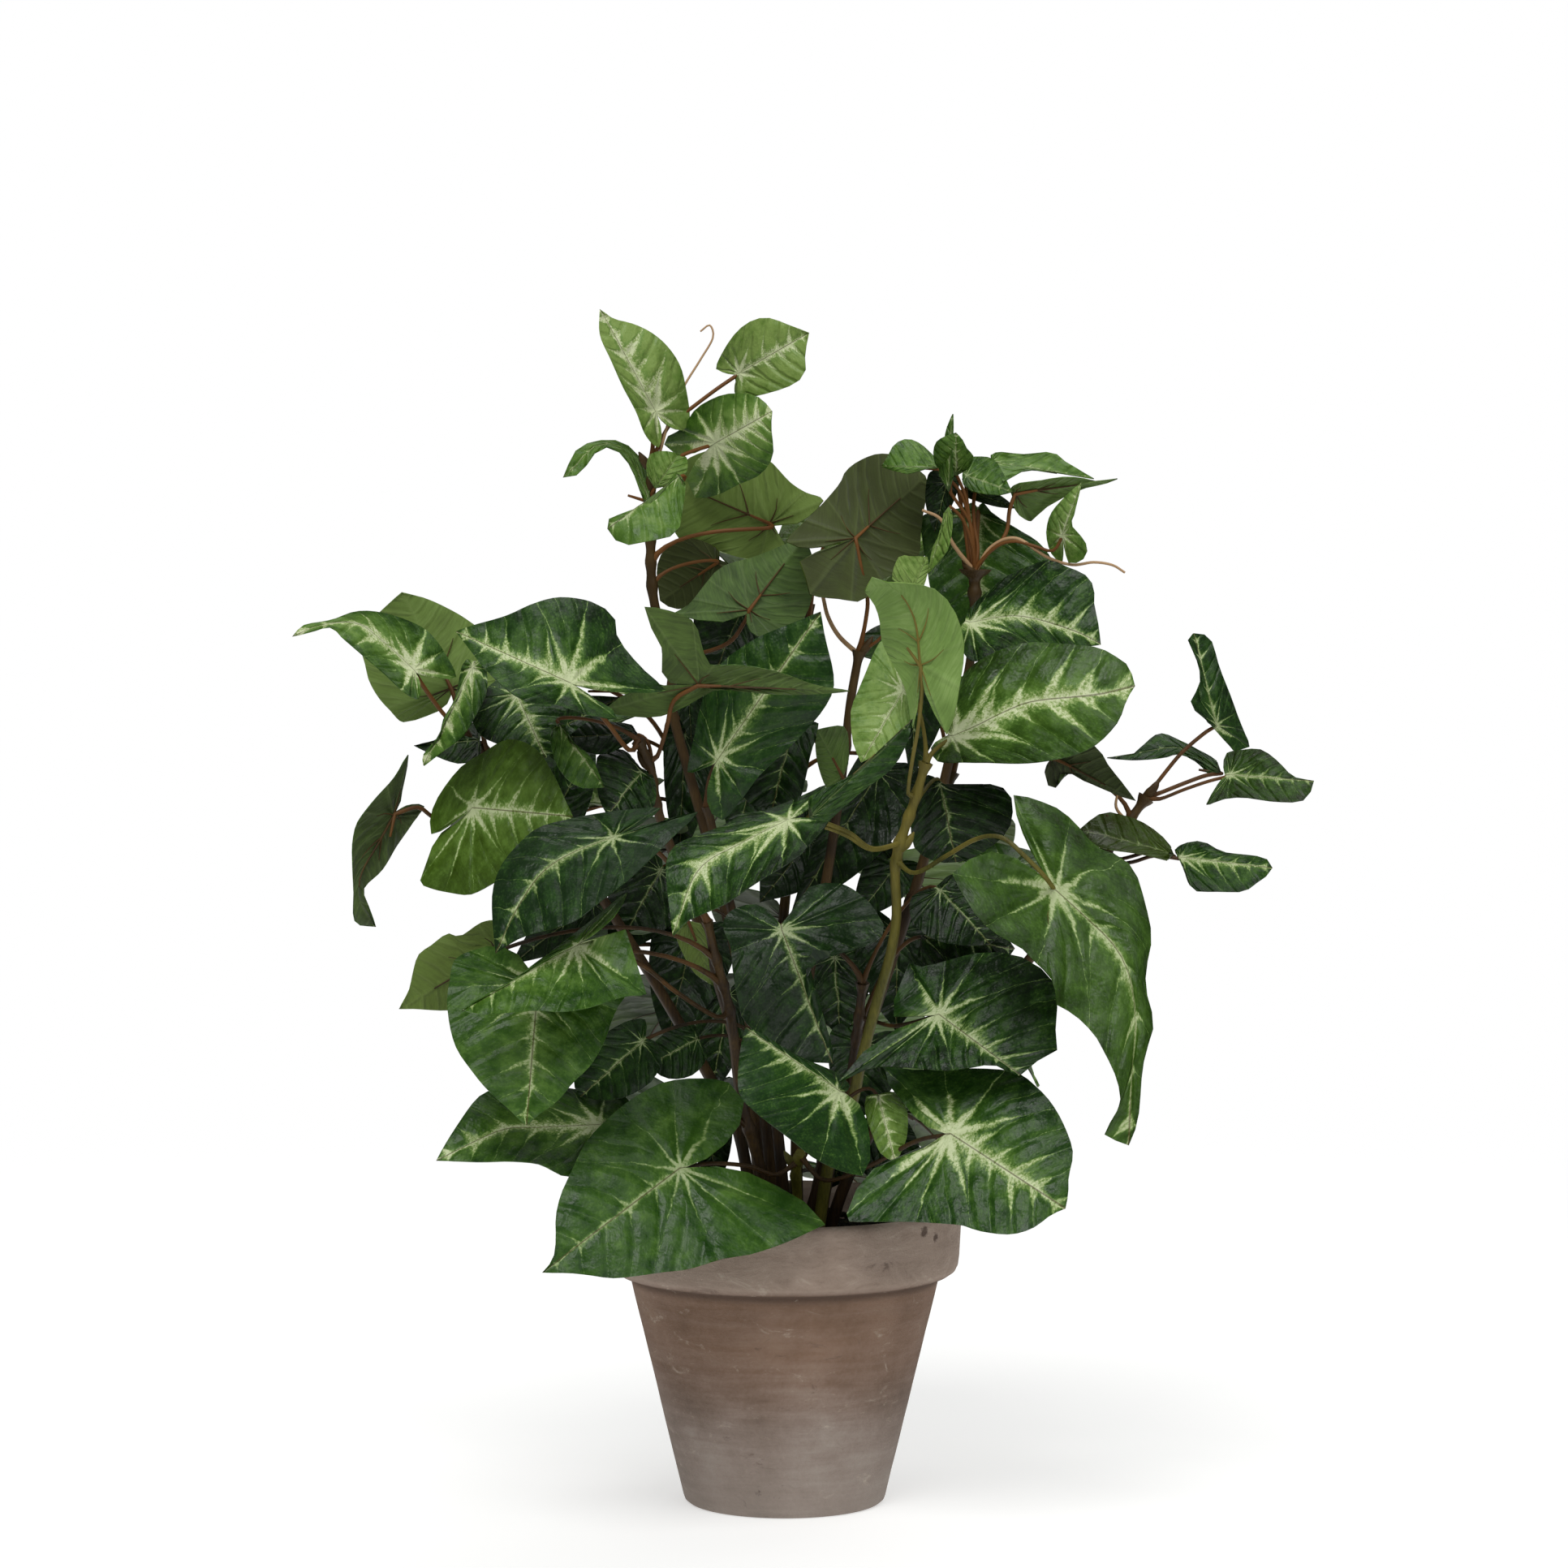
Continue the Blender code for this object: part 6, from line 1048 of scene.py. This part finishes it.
def leaf_back():
    # The unprinted back of the same cloth: dull and paler, the ribs faint, with fine fibre streaks.
    made, t = material("polyester_leaf_cloth_back")
    tone, _, seed, hue = leaf_print(t)
    place, _ = flat_place(t, seed, ((6.0, .03),))
    _, a, radial, side, bow, _ = ribs(t, place, BACK_ROW)
    stroke = strokes(t, (bow, a, seed), (40.0, 8.0, 17.0), .65)
    cloud = put(t, "TexNoise", {"Vector": put(t, "TexCoord", out="Object"), "Scale": 90.0, "Detail": 3.0})
    ground = stirred(t, stirred(t, tone, stroke, .5), cloud, .5)
    skin = stops(put(t, "ValToRGB", (ground,)), BACKS)
    groove = put(t, "Math", (put(t, "Math", (a, radial), operation="MINIMUM"), side), operation="MINIMUM")
    rib = put(t, "MapRange", (groove, .002, .014, .13, 0.0))
    warm, cool = put(t, "MapRange", (hue, 0.0, 1.0, 0.0, .55)), put(t, "MapRange", (hue, 0.0, -1.0, 0.0, .5))
    for share, shade in ((rib, "8fa06a"), (warm, "6e7a2c"), (cool, "3f5c48")):
        skin = put(t, "Mix", {0: share, 6: skin, 7: linear(shade)}, out=2, data_type="RGBA")
    height = put(t, "MapRange", (groove, 0.0, .04, 1.0, 0.0), interpolation_type="SMOOTHSTEP")
    for part, amount in ((stroke, .5), (cloud, .8)):
        height = put(t, "Math", (part, amount, height), operation="MULTIPLY_ADD")
    bump = put(t, "Bump", {"Strength": .6, "Distance": .0005, "Height": height})
    shader = put(t, "BsdfPrincipled", {"Base Color": skin, "Roughness": .68, "Normal": bump, "IOR": 1.5,
                                       "Specular IOR Level": .35, "Sheen Weight": .15, "Sheen Roughness": .5})
    put(t, "OutputMaterial", (shader,))
    return made


def stem_plastic(name):
    # Injection-moulded polyethylene: a waxy half shine, fine lengthwise drag lines, and a mottled tint that runs from
    # dark at the foot to the colour of young wood at the top sprays.
    shades, young = PLASTICS[name]
    made, t = material("moulded_polyethylene_" + name)
    body = put(t, "TexCoord", out="Object")
    long = put(t, "Mapping", {"Vector": body, "Scale": (1500.0, 1500.0, 60.0)})
    drag = put(t, "TexNoise", {"Vector": long, "Scale": 1.0, "Detail": 3.0})
    patch = put(t, "TexNoise", {"Vector": body, "Scale": 75.0, "Detail": 2.0})
    skin = stops(put(t, "ValToRGB", (stirred(t, patch, drag, .5),)), shades)
    high = stirred(t, put(t, "SeparateXYZ", (body,), out=2), patch, .16)
    share = put(t, "MapRange", (high, .17, .31, 0.0, .7))
    skin = put(t, "Mix", {0: share, 6: skin, 7: linear(young)}, out=2, data_type="RGBA")
    bump = put(t, "Bump", {"Strength": .35, "Distance": .0003, "Height": drag})
    rough = put(t, "MapRange", (patch, .3, .7, .48, .62))
    shader = put(t, "BsdfPrincipled", {"Base Color": skin, "Roughness": rough, "Normal": bump, "IOR": 1.5,
                                       "Specular IOR Level": .3})
    put(t, "OutputMaterial", (shader,))
    return made


def aged_clay():
    # Unglazed terracotta, washed with lime and rubbed back: matte grey-brown with level brush drag, chalky scuffs,
    # browner bare clay in patches, and fine grog in the surface.
    made, t = material("limewashed_terracotta")
    body = put(t, "TexCoord", out="Object")
    z = put(t, "SeparateXYZ", (body,), out=2)
    level = put(t, "Mapping", {"Vector": body, "Scale": (26.0, 26.0, 300.0)})
    drag = put(t, "TexNoise", {"Vector": level, "Scale": 1.0, "Detail": 5.0, "Roughness": .6, "Distortion": .25})
    patch = put(t, "TexNoise", {"Vector": body, "Scale": 34.0, "Detail": 5.0, "Roughness": .62})
    grog = put(t, "TexNoise", {"Vector": body, "Scale": 900.0, "Detail": 4.0, "Roughness": .7})
    wipe = put(t, "Mapping", {"Vector": body, "Scale": (70.0, 70.0, 150.0), "Location": (1.3, .4, 2.1)})
    scuff = put(t, "TexNoise", {"Vector": wipe, "Scale": 1.0, "Detail": 6.0, "Roughness": .75, "Distortion": .8})
    skin = stops(put(t, "ValToRGB", (stirred(t, stirred(t, patch, drag, .46), grog, .25),)), CLAYS)
    # The wash is greyer towards the foot, browner on the upper wall, and thick on the collar, whose lighter colour is
    # partly painted light.
    foot = put(t, "MapRange", (z, .002, .046, .55, 0.0))
    upper = put(t, "Math", (put(t, "MapRange", (z, .030, .055, 0.0, .55)),
                            put(t, "MapRange", (z, .0735, .0755, 1.0, .2))), operation="MULTIPLY")
    upper = put(t, "Math", (upper, put(t, "Math", (patch, 1.7), operation="MULTIPLY")), operation="MULTIPLY",
                use_clamp=True)
    # On the collar: thick lime wash, lightened further as painted light so that the collar looks more brightly lit.
    lime_wash_and_painted_light = put(t, "Math", (put(t, "MapRange", (z, .0748, .0765, 0.0, .62)),
                           put(t, "Math", (scuff, 1.9), operation="MULTIPLY")), operation="MULTIPLY", use_clamp=True)
    # Painted shade: a dark band in the corner under the collar, where the collar's shadow falls.
    under = put(t, "Math", (put(t, "MapRange", (z, .0700, .0738, 0.0, .75), interpolation_type="SMOOTHERSTEP"),
                            put(t, "MapRange", (z, .0742, .0752, 1.0, 0.0))), operation="MULTIPLY")
    # Chalk where the wash is rubbed thick, and bare clay where it is rubbed off.
    chalk = put(t, "MapRange", (scuff, .575, .72, 0.0, .6), interpolation_type="SMOOTHSTEP")
    fresh = put(t, "MapRange", (scuff, .40, .28, 0.0, .6), interpolation_type="SMOOTHSTEP")
    layers = [(foot, "989088"), (upper, "7e5e45"), (lime_wash_and_painted_light, "a89789"), (under, "43342b"), (chalk, "b3a798"),
              (fresh, "54443b")]
    for spot, size, shade in MARKS:
        far = put(t, "VectorMath", (body, spot), out=1, operation="DISTANCE")
        layers.append((put(t, "MapRange", (stirred(t, far, grog, size * 1.6), size * .55, size, .85, 0.0)), shade))
    for share, shade in layers:
        skin = put(t, "Mix", {0: share, 6: skin, 7: linear(shade)}, out=2, data_type="RGBA")
    height = put(t, "Math", (drag, .8, grog), operation="MULTIPLY_ADD")
    height = put(t, "Math", (scuff, .9, height), operation="MULTIPLY_ADD")
    bump = put(t, "Bump", {"Strength": .55, "Distance": .0006, "Height": height})
    rough = put(t, "MapRange", (patch, .3, .7, .82, .96))
    shader = put(t, "BsdfPrincipled", {"Base Color": skin, "Roughness": rough, "Normal": bump, "IOR": 1.5,
                                       "Specular IOR Level": .3})
    put(t, "OutputMaterial", (shader,))
    return made


def dark_moss():
    # Dyed fibre moss glued over foam: nearly black, rough, with olive and brown fibre ends.
    made, t = material("dyed_fibre_moss")
    body = put(t, "TexCoord", out="Object")
    clump = put(t, "TexNoise", {"Vector": body, "Scale": 170.0, "Detail": 4.0, "Roughness": .7})
    fibre = put(t, "TexNoise", {"Vector": body, "Scale": 1100.0, "Detail": 3.0, "Roughness": .75})
    skin = stops(put(t, "ValToRGB", (stirred(t, clump, fibre, .8),)), MOSSES)
    height = put(t, "Math", (fibre, .6, clump), operation="MULTIPLY_ADD")
    bump = put(t, "Bump", {"Strength": .9, "Distance": .0012, "Height": height})
    shader = put(t, "BsdfPrincipled", {"Base Color": skin, "Roughness": .95, "Normal": bump, "IOR": 1.5,
                                       "Specular IOR Level": .2})
    put(t, "OutputMaterial", (shader,))
    return made


def opal_sheet():
    # An opal acrylic sheet lit a little from below: matte white, with soft shadows, fading into the white sweep.
    made, t = material("opal_acrylic_light_table")
    body = put(t, "TexCoord", out="Object")
    grain = put(t, "TexNoise", {"Vector": body, "Scale": 3.0})
    shade = put(t, "Mix", {0: grain, 6: linear("cecfcd"), 7: linear("d4d4d2")}, out=2, data_type="RGBA")
    sheet = put(t, "BsdfPrincipled", {"Base Color": shade, "Roughness": .9, "Emission Color": linear("ffffff"),
                                      "Emission Strength": .50})
    far = put(t, "VectorMath", (body,), out=1, operation="LENGTH")
    end = put(t, "MapRange", (far, .25, .95, 0.0, 1.0), interpolation_type="SMOOTHSTEP")
    put(t, "OutputMaterial", (put(t, "MixShader", (end, sheet, put(t, "BsdfTransparent"))),))
    return made


def mesh_of(bm, name):
    """The finished mesh of a bmesh, shaded smooth."""
    for face in bm.faces:
        face.smooth = True
    mesh = bpy.data.meshes.new(name)
    bm.to_mesh(mesh)
    bm.free()
    return mesh


def placed(name, data):
    """A new object of the scene."""
    obj = bpy.data.objects.new(name, data)
    bpy.context.scene.collection.objects.link(obj)
    return obj


def linked(mesh, materials, nodes):
    """An object on this mesh, with its name, that stands for the named solids and rides with the body."""
    obj = placed(mesh.name, mesh)
    for one in materials:
        mesh.materials.append(one)
    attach(obj, "root")
    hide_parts(*nodes)
    return obj


def flat_strips(cols):
    """Midrib and margin of the leaf laid flat, column by column, as in Leaf.strips."""
    na, nb, nc = cols
    middle = np.concatenate([np.linspace(1, 0, na + 1), np.zeros(nb + nc)])
    middle = np.stack([middle, np.zeros(len(middle))], 1)
    edge = np.vstack([rail(FLAT[0], na), rail(FLAT[1], nb)[1:], rail(FLAT[2], nc)[1:]])
    return middle, edge


def relief(leaf, flat, share, seed):
    """Height that pressing gives the blade, mm: uneven puckers between the ribs, broad waves, a frilled margin."""
    u, v = flat[:, 0], flat[:, 1]
    a = np.abs(v)
    # Puckers follow the side ribs ahead of the joint and the spreading ribs round it. The lilt, waves and frill
    # take their phase from the leaf's own number, so that no two leaves are pressed alike.
    lilt = .5 * np.sin(6 * u + 4 * v + seed * 21)
    pinnate = .5 - .5 * np.cos(2 * math.pi * (RIB_ROW * (u + RIB_LEAN * a + RIB_BOW * a * a) + lilt * .35))
    turn = .5 - .5 * np.cos(2 * math.pi * np.arctan2(a, u) / RIB_TURN)
    ahead = np.clip((u - .04) / .2, 0, 1)
    puff = (pinnate * ahead + turn * (1 - ahead)) * np.clip(a / .14, 0, 1) * (.75 + lilt)
    wave = np.sin(4.2 * u + 7 * v + seed * 13) * np.clip(a / .2, 0, 1)
    frill = np.sin(u * 15 + seed * 9) + .6 * np.sin(u * 27 - v * 11 + seed * 5)
    return leaf.L * (PUCKER * puff * (1 - .6 * share ** 4) + WAVE * wave + FRILL * frill * share ** 3)


def rear_print(name):
    """Print of a leaf that isn't in the table: the same for the same name."""
    pick = random.Random(name)
    return pick.uniform(.15, .7), pick.uniform(.5, 1.1), pick.uniform(-.5, .35)


def blade(bm, leaf):
    """Adds one leaf blade: a grid whose columns run from the tip round to the notch on both sides."""
    tone, cream, hue = PRINT.get(leaf.name, rear_print(leaf.name))
    seed = (sum(map(ord, leaf.name)) * .137) % 1
    cols, rings = LARGE_GRID if leaf.L > LARGE and "small" not in leaf.shape else SMALL_GRID
    n = sum(cols)
    strips = leaf.strips(cols, MARGIN_STEP)
    middle, edge = flat_strips(cols)
    print_layer = bm.verts.layers.float_color["print"]
    uv = bm.loops.layers.uv["leaf"]
    grid = bmesh.ops.create_grid(bm, x_segments=n, y_segments=2 * rings, size=1.0)["verts"]
    # The grid's column and ring of each vertex; rings count from the midrib, below 0 on the second side.
    at = np.array([v.co[:2] for v in grid])
    i = np.rint((at[:, 0] + 1) / 2 * n).astype(int)
    j = np.rint((at[:, 1] + 1) * rings).astype(int) - rings
    share = np.abs(j) / rings
    r = share[:, None]
    drawn = np.where((j >= 0)[:, None], *(inner[i] * (1 - r) + outer[i] * r for inner, outer in strips))
    flat = middle[i] * (1 - r) + edge[i] * r
    flat[:, 1] *= np.sign(j)
    points = leaf.place(drawn, share, relief(leaf, flat, share, seed))
    where = {}
    for v, p, f in zip(grid, points, flat):
        v.co = Vector(p * MM)
        v[print_layer] = (tone, cream, seed, hue)
        where[v] = f
    faces = list({face for v in grid for face in v.link_faces})
    for loop in (loop for face in faces for loop in face.loops):
        loop[uv].uv = where[loop.vert]
    bmesh.ops.remove_doubles(bm, verts=grid, dist=2e-5)
    faces = [f for f in faces if f.is_valid]
    out = sum((f.normal * f.calc_area() for f in faces), Vector())
    if out.dot(Vector(leaf.N)) < 0:
        bmesh.ops.reverse_faces(bm, faces=faces)


def on_blade(leaf, strip, run):
    """Points just under the blade for (column, share of the way to the margin) pairs."""
    c, r = np.array(run).T
    k = np.arange(len(strip[0]))
    inner, outer = (np.stack([np.interp(c, k, line[:, x]) for x in (0, 1)], 1) for line in strip)
    return leaf.place(inner * (1 - r)[:, None] + outer * r[:, None], r, -.1) - leaf.N * .3


def rib_rods(leaf):
    """The moulded ribs that carry the blade from below: (points, radii, material)."""
    if leaf.L < RIBBED:
        return []
    strips = leaf.strips(ROD_COLS, MARGIN_STEP)
    count = ROD_COLS[0]
    rods = [(on_blade(leaf, strips[0], [(count - k * .7, 0) for k in range(count)]), np.linspace(.5, .2, count), 0)]
    for strip in strips:
        for start, end, far in ROD_RIBS:
            run = [(start + (end - start) * s, far * s) for s in np.linspace(.04, 1, 6)]
            rods.append((on_blade(leaf, strip, run), np.linspace(.28, .1, 6), 0))
    return rods


def rods_mesh(name, rods, materials):
    """A mesh of round rods, each given by its points and radii in mm and its material, from one bevelled curve."""
    curve = bpy.data.curves.new(name, "CURVE")
    curve.dimensions, curve.bevel_depth, curve.bevel_resolution = "3D", MM, 1
    curve.use_fill_caps, curve.resolution_u = True, 1
    for one in materials:
        curve.materials.append(one)
    for points, radii, kind in rods:
        spline = curve.splines.new("POLY")
        spline.material_index = kind
        spline.points.add(len(points) - 1)
        for point, p, r in zip(spline.points, points, radii):
            point.co, point.radius = (*(p * MM), 1.0), r
    guide = placed(name + "_guide", curve)
    mesh = bpy.data.meshes.new_from_object(guide.evaluated_get(bpy.context.evaluated_depsgraph_get()))
    mesh.name = name
    bpy.data.objects.remove(guide, do_unlink=True)
    bpy.data.curves.remove(curve)
    mesh.shade_smooth()
    return mesh


def swollen(line, joints, r0, r1):
    """Radii along a stem, with a swelling at each place where a stalk leaves it."""
    radii = np.linspace(r0, r1, len(line))
    for p in joints:
        radii += .5 * np.exp(-(np.linalg.norm(line - p, axis=1) / 2.2) ** 2)
    return radii


def stem_rods(key, line, laid, r0, r1):
    """The rods of one stem: the stem (0), its stalks (1) with the blades' ribs, its bud stubs and its tendrils (2)."""
    line = dense(smooth(line, 6), 1.2)
    line[:, 2] = np.maximum(line[:, 2], SOIL_TOP - STEM_DEPTH)
    joints = [curve[0] for _, curve, _ in laid]
    rods = [(line, swollen(line, joints, r0 * SLIM_FOOT, STEM_R1 * SLIM_TOP), 0)]
    for leaf, curve, path in laid:
        run = np.vstack([curve, path[-1:]])
        # Smaller leaves have thinner stalks. A stalk widens where it leaves the stem and ends thin under the blade.
        thick = r1 * np.interp(leaf.L, (14, 40), (.52, .74))
        radii = np.full(len(run), thick)
        radii[:3] = thick * 1.9, thick * 1.4, thick * 1.15
        radii[-1] = .4
        rods += [(run, radii, 1)] + rib_rods(leaf)
    for _, x, z, y, lean in (row for row in BUDS if row[0] == key):
        p = seen((x, z, y))
        tip = smooth([p, p + (lean * 2.4, -.6, 2.6), p + (lean * 4.2, -1.0, 5.6)], .6)
        rods.append((tip, BUD_R * np.interp(np.linspace(0, 1, len(tip)), (0, .3, .7, 1), (.9, 1.1, .75, .15)), 0))
    for _, r, points in (row for row in TENDRILS if row[0] == key):
        run = smooth([seen(p) for p in points], 1.2)
        rods.append((run, np.linspace(r, r * .6, len(run)) * .85, 2))
    return rods


class SyngoniumLooks(bpy.types.PropertyGroup):
    """Sizes and strengths that may be changed before the pieces are made."""
    cloth_thickness: bpy.props.FloatProperty(name="Leaf cloth", description="Thickness of the leaf cloth",
                                             default=.0004, min=.0001, max=.001, subtype="DISTANCE", unit="LENGTH")
    stem_radius: bpy.props.FloatProperty(name="Stem radius", description="Radius of a stem where it leaves the moss",
                                         default=STEM_R0 * MM, min=.001, max=.004, subtype="DISTANCE", unit="LENGTH")
    stalk_radius: bpy.props.FloatProperty(name="Stalk radius", description="Radius of a leaf stalk",
                                          default=PETIOLE_R * MM, min=.0004, max=.002, subtype="DISTANCE",
                                          unit="LENGTH")
    tufts: bpy.props.IntProperty(name="Moss tufts", description="How many tufts lie on the moss", default=420, min=0,
                                 max=1500)
    light: bpy.props.FloatProperty(name="Key light", description="Strength of the key light, W per square metre",
                                   default=1.5, min=0, max=10)


class SYNGONIUM_OT_pot(bpy.types.Operator):
    """Turn the clay pot with its collar"""
    bl_idname = "syngonium.pot"
    bl_label = "Clay pot"

    def execute(self, context):
        # Radius and height along the half outline, mm: foot, wall, under the collar, collar and lip, then back down.
        R, top, low, w = POT_RIM_R, POT_RIM_TOP, POT_RIM_TOP - POT_COLLAR, POT_WALL
        outside = [(0, 0), (28, 0), (31.2, .15), (32.5, 1.0), (33.0, 2.4), (33.6, 5.0), (41.6, 38), (50.0, low - 1.2),
                   (50.6, low - .5), (51.8, low - .1), (53.8, low + .2), (55.4, low + 1.3), (56.2, low + 3.0),
                   (56.6, low + 6), (57.2, top - 6), (R, top - 2.8), (57.2, top - 1.2), (56.5, top - .3),
                   (55.4, top)]
        inside_wall = [(R - w + .8, top), (R - w - .3, top - .5), (R - w - .8, top - 1.6), (R - w - 1.6, low + 2),
                       (48.9 - w, low - 8), (33.4 - w + 1.6, POT_FLOOR + 3.5), (28.6, POT_FLOOR), (0, POT_FLOOR)]
        bm = bmesh.new()
        chain = [bm.verts.new((r * MM, 0, z * MM)) for r, z in outside + inside_wall]
        edges = [bm.edges.new(pair) for pair in zip(chain, chain[1:])]
        bmesh.ops.subdivide_edges(bm, edges=[e for e in edges if e.calc_length() > POT_SPLIT], cuts=5)
        bmesh.ops.spin(bm, geom=bm.verts[:] + bm.edges[:], cent=(0, 0, 0), axis=(0, 0, 1), angle=2 * math.pi,
                       steps=POT_STEPS, use_merge=True)
        bmesh.ops.remove_doubles(bm, verts=bm.verts, dist=1e-6)
        bmesh.ops.recalc_face_normals(bm, faces=bm.faces)
        for v in bm.verts:
            far = math.hypot(v.co.x, v.co.y)
            if far > .03 and v.co.z > .001:
                # Inset, so that the pot doesn't outgrow its solid.
                dent = sum(noise.noise(v.co * often) * size for often, size in POT_DENTS) - POT_INSET
                v.co.x *= 1 + dent / far
                v.co.y *= 1 + dent / far
        linked(mesh_of(bm, "clay_pot"), [aged_clay()], ["pot"])
        return {"FINISHED"}


class SYNGONIUM_OT_moss(bpy.types.Operator):
    """Lay the mossy fill with its tufts"""
    bl_idname = "syngonium.moss"
    bl_label = "Mossy fill"

    def execute(self, context):
        pick = random.Random(7)
        edge = POT_RIM_R - POT_WALL - 1.8
        bm = bmesh.new()
        made = bmesh.ops.create_circle(bm, cap_ends=False, radius=.2 * MM, segments=MOSS_STEPS)["verts"]
        rim = list({e for v in made for e in v.link_edges})
        bmesh.ops.contextual_create(bm, geom=rim)

        def ring():
            out = bmesh.ops.extrude_edge_only(bm, edges=rim)["geom"]
            return [[g for g in out if isinstance(g, kind)] for kind in (bmesh.types.BMVert, bmesh.types.BMEdge)]

        for k in range(1, MOSS_RINGS + 1):
            made, rim = ring()
            for v in made:
                v.co.xy = v.co.xy.normalized() * (edge * k / MOSS_RINGS) * MM
        # Humps, with a dip of 2.5 mm along the pot's wall.
        for v in bm.verts:
            p, far = v.co.copy(), math.hypot(v.co.x, v.co.y) / MM
            z = sum((size * noise.noise(p * often) for often, size in MOSS_HUMPS), SOIL_TOP - .4)
            v.co.z = (z - 2.5 * max(0, far / edge - .86) / .14) * MM
        # A skirt and a bottom close it below.
        made, rim = ring()
        for v in made:
            v.co.z = (SOIL_TOP - 9) * MM
            v.co.xy *= .99
        bmesh.ops.contextual_create(bm, geom=rim)
        # Tufts are flattened balls that keep clear of the stems.
        for _ in range(context.scene.syngonium_looks.tufts):
            far, turn = edge * math.sqrt(pick.random()) * .97, pick.uniform(0, 2 * math.pi)
            size = pick.uniform(*TUFT_SIZES)
            x, y = far * math.cos(turn), far * math.sin(turn)
            if min(math.hypot(x - a, y - b) for (a, b), _ in STEMS.values()) < size + STEM_R0 + .5:
                continue
            tuft = bmesh.ops.create_icosphere(bm, subdivisions=1, radius=size * MM)["verts"]
            for v in tuft:
                v.co *= 1 + .5 * noise.noise(v.co * 700 + Vector((x, y, 0)))
                v.co.z *= .6
            bmesh.ops.translate(bm, verts=tuft, vec=Vector((x, y, SOIL_TOP + pick.uniform(-.6, .5))) * MM)
        bmesh.ops.recalc_face_normals(bm, faces=bm.faces)
        linked(mesh_of(bm, "mossy_fill"), [dark_moss()], ["soil"])
        return {"FINISHED"}


class SYNGONIUM_OT_leafy_stems(bpy.types.Operator):
    """Make the cloth leaves and the moulded stalks of every leafy stem"""
    bl_idname = "syngonium.leafy_stems"
    bl_label = "Leafy stems"

    def execute(self, context):
        looks = context.scene.syngonium_looks
        front, back = leaf_cloth(), leaf_back()
        brown, olive, russet, tan = (stem_plastic(name) for name in ("brown", "olive", "russet", "tan"))
        made, lines = route(STEMS)
        for key, node in NAMES.items():
            bm = bmesh.new()
            bm.verts.layers.float_color.new("print")
            bm.loops.layers.uv.new("leaf")
            for leaf, _, _ in made[key]:
                blade(bm, leaf)
            # The cloth's cut edge stays sharp, so that its shade doesn't bleed into the blade.
            for rim in bm.edges:
                rim.smooth = not rim.is_boundary
            short = node.replace("leafy_stem_", "")
            cloth = linked(mesh_of(bm, "leaves_" + short), [front, back], [node])
            wall = cloth.modifiers.new("cloth", "SOLIDIFY")
            wall.thickness, wall.offset, wall.material_offset = looks.cloth_thickness, 0.0, 1
            rods = stem_rods(key, lines[key], made[key], looks.stem_radius / MM, looks.stalk_radius / MM)
            paints = [olive if key in "dk" else brown, olive if key == "d" else russet, tan]
            linked(rods_mesh("stalks_" + short, rods, paints), (), [node])
        return {"FINISHED"}


class SYNGONIUM_OT_stage(bpy.types.Operator):
    """Set the floor, the soft lights and the camera"""
    bl_idname = "syngonium.stage"
    bl_label = "Stage"

    def execute(self, context):
        scene = context.scene
        bm = bmesh.new()
        bmesh.ops.create_circle(bm, cap_ends=True, radius=1.0, segments=96)
        floor = placed("floor", mesh_of(bm, "floor"))
        floor.data.materials.append(opal_sheet())
        scene.view_settings.view_transform = "Standard"
        sky = bpy.data.worlds.new("studio")
        sky.use_nodes = True
        scene.world = sky
        t = sky.node_tree
        back = t.nodes["Background"]
        back.inputs["Color"].default_value = linear("ffffff")
        # The white sweep shows at full strength and lights the plant at less, so that it stays modelled.
        strength = put(t, "MapRange", {"Value": put(t, "LightPath", out="Is Camera Ray"), "To Min": .28, "To Max": 1.0})
        mirrored = put(t, "LightPath", out="Is Glossy Ray")
        strength = put(t, "Math", (mirrored, -.16, strength), operation="MULTIPLY_ADD")
        t.links.new(strength, back.inputs["Strength"])
        for name, turn, high, spread, share in LAMPS:
            lamp = bpy.data.lights.new(name, "SUN")
            lamp.angle, lamp.energy = math.radians(spread), scene.syngonium_looks.light * share
            a, b = math.radians(turn), math.radians(high)
            way = Vector((math.sin(a) * math.cos(b), -math.cos(a) * math.cos(b), math.sin(b)))
            placed(name, lamp).rotation_euler = way.to_track_quat("Z", "Y").to_euler()
        view = bpy.data.cameras.new("camera")
        view.lens, view.sensor_width, view.shift_x = LENS, SENSOR, SHIFT
        camera = placed("camera", view)
        camera.location = EYE * MM
        camera.rotation_euler = (math.radians(90 - LOOK_DOWN), 0, 0)
        scene.camera = camera
        return {"FINISHED"}


class SYNGONIUM_PT_panel(bpy.types.Panel):
    """Lists the sizes and the steps that make the plant"""
    bl_idname = "SYNGONIUM_PT_panel"
    bl_label = "Potted syngonium"
    bl_space_type = "VIEW_3D"
    bl_region_type = "UI"
    bl_category = "Syngonium"

    def draw(self, context):
        looks = context.scene.syngonium_looks
        for name in ("cloth_thickness", "stem_radius", "stalk_radius", "tufts", "light"):
            self.layout.prop(looks, name)
        for step in STEPS:
            self.layout.operator(step.bl_idname)


STEPS = (SYNGONIUM_OT_stage, SYNGONIUM_OT_pot, SYNGONIUM_OT_moss, SYNGONIUM_OT_leafy_stems)


def register():
    for one in (SyngoniumLooks, *STEPS, SYNGONIUM_PT_panel):
        bpy.utils.register_class(one)
    bpy.types.Scene.syngonium_looks = bpy.props.PointerProperty(type=SyngoniumLooks)


def unregister():
    del bpy.types.Scene.syngonium_looks
    for one in (SYNGONIUM_PT_panel, *reversed(STEPS), SyngoniumLooks):
        bpy.utils.unregister_class(one)


def main():
    register()
    bpy.ops.syngonium.stage()
    bpy.ops.syngonium.pot()
    bpy.ops.syngonium.moss()
    bpy.ops.syngonium.leafy_stems()


if __name__ == "__main__":
    main()
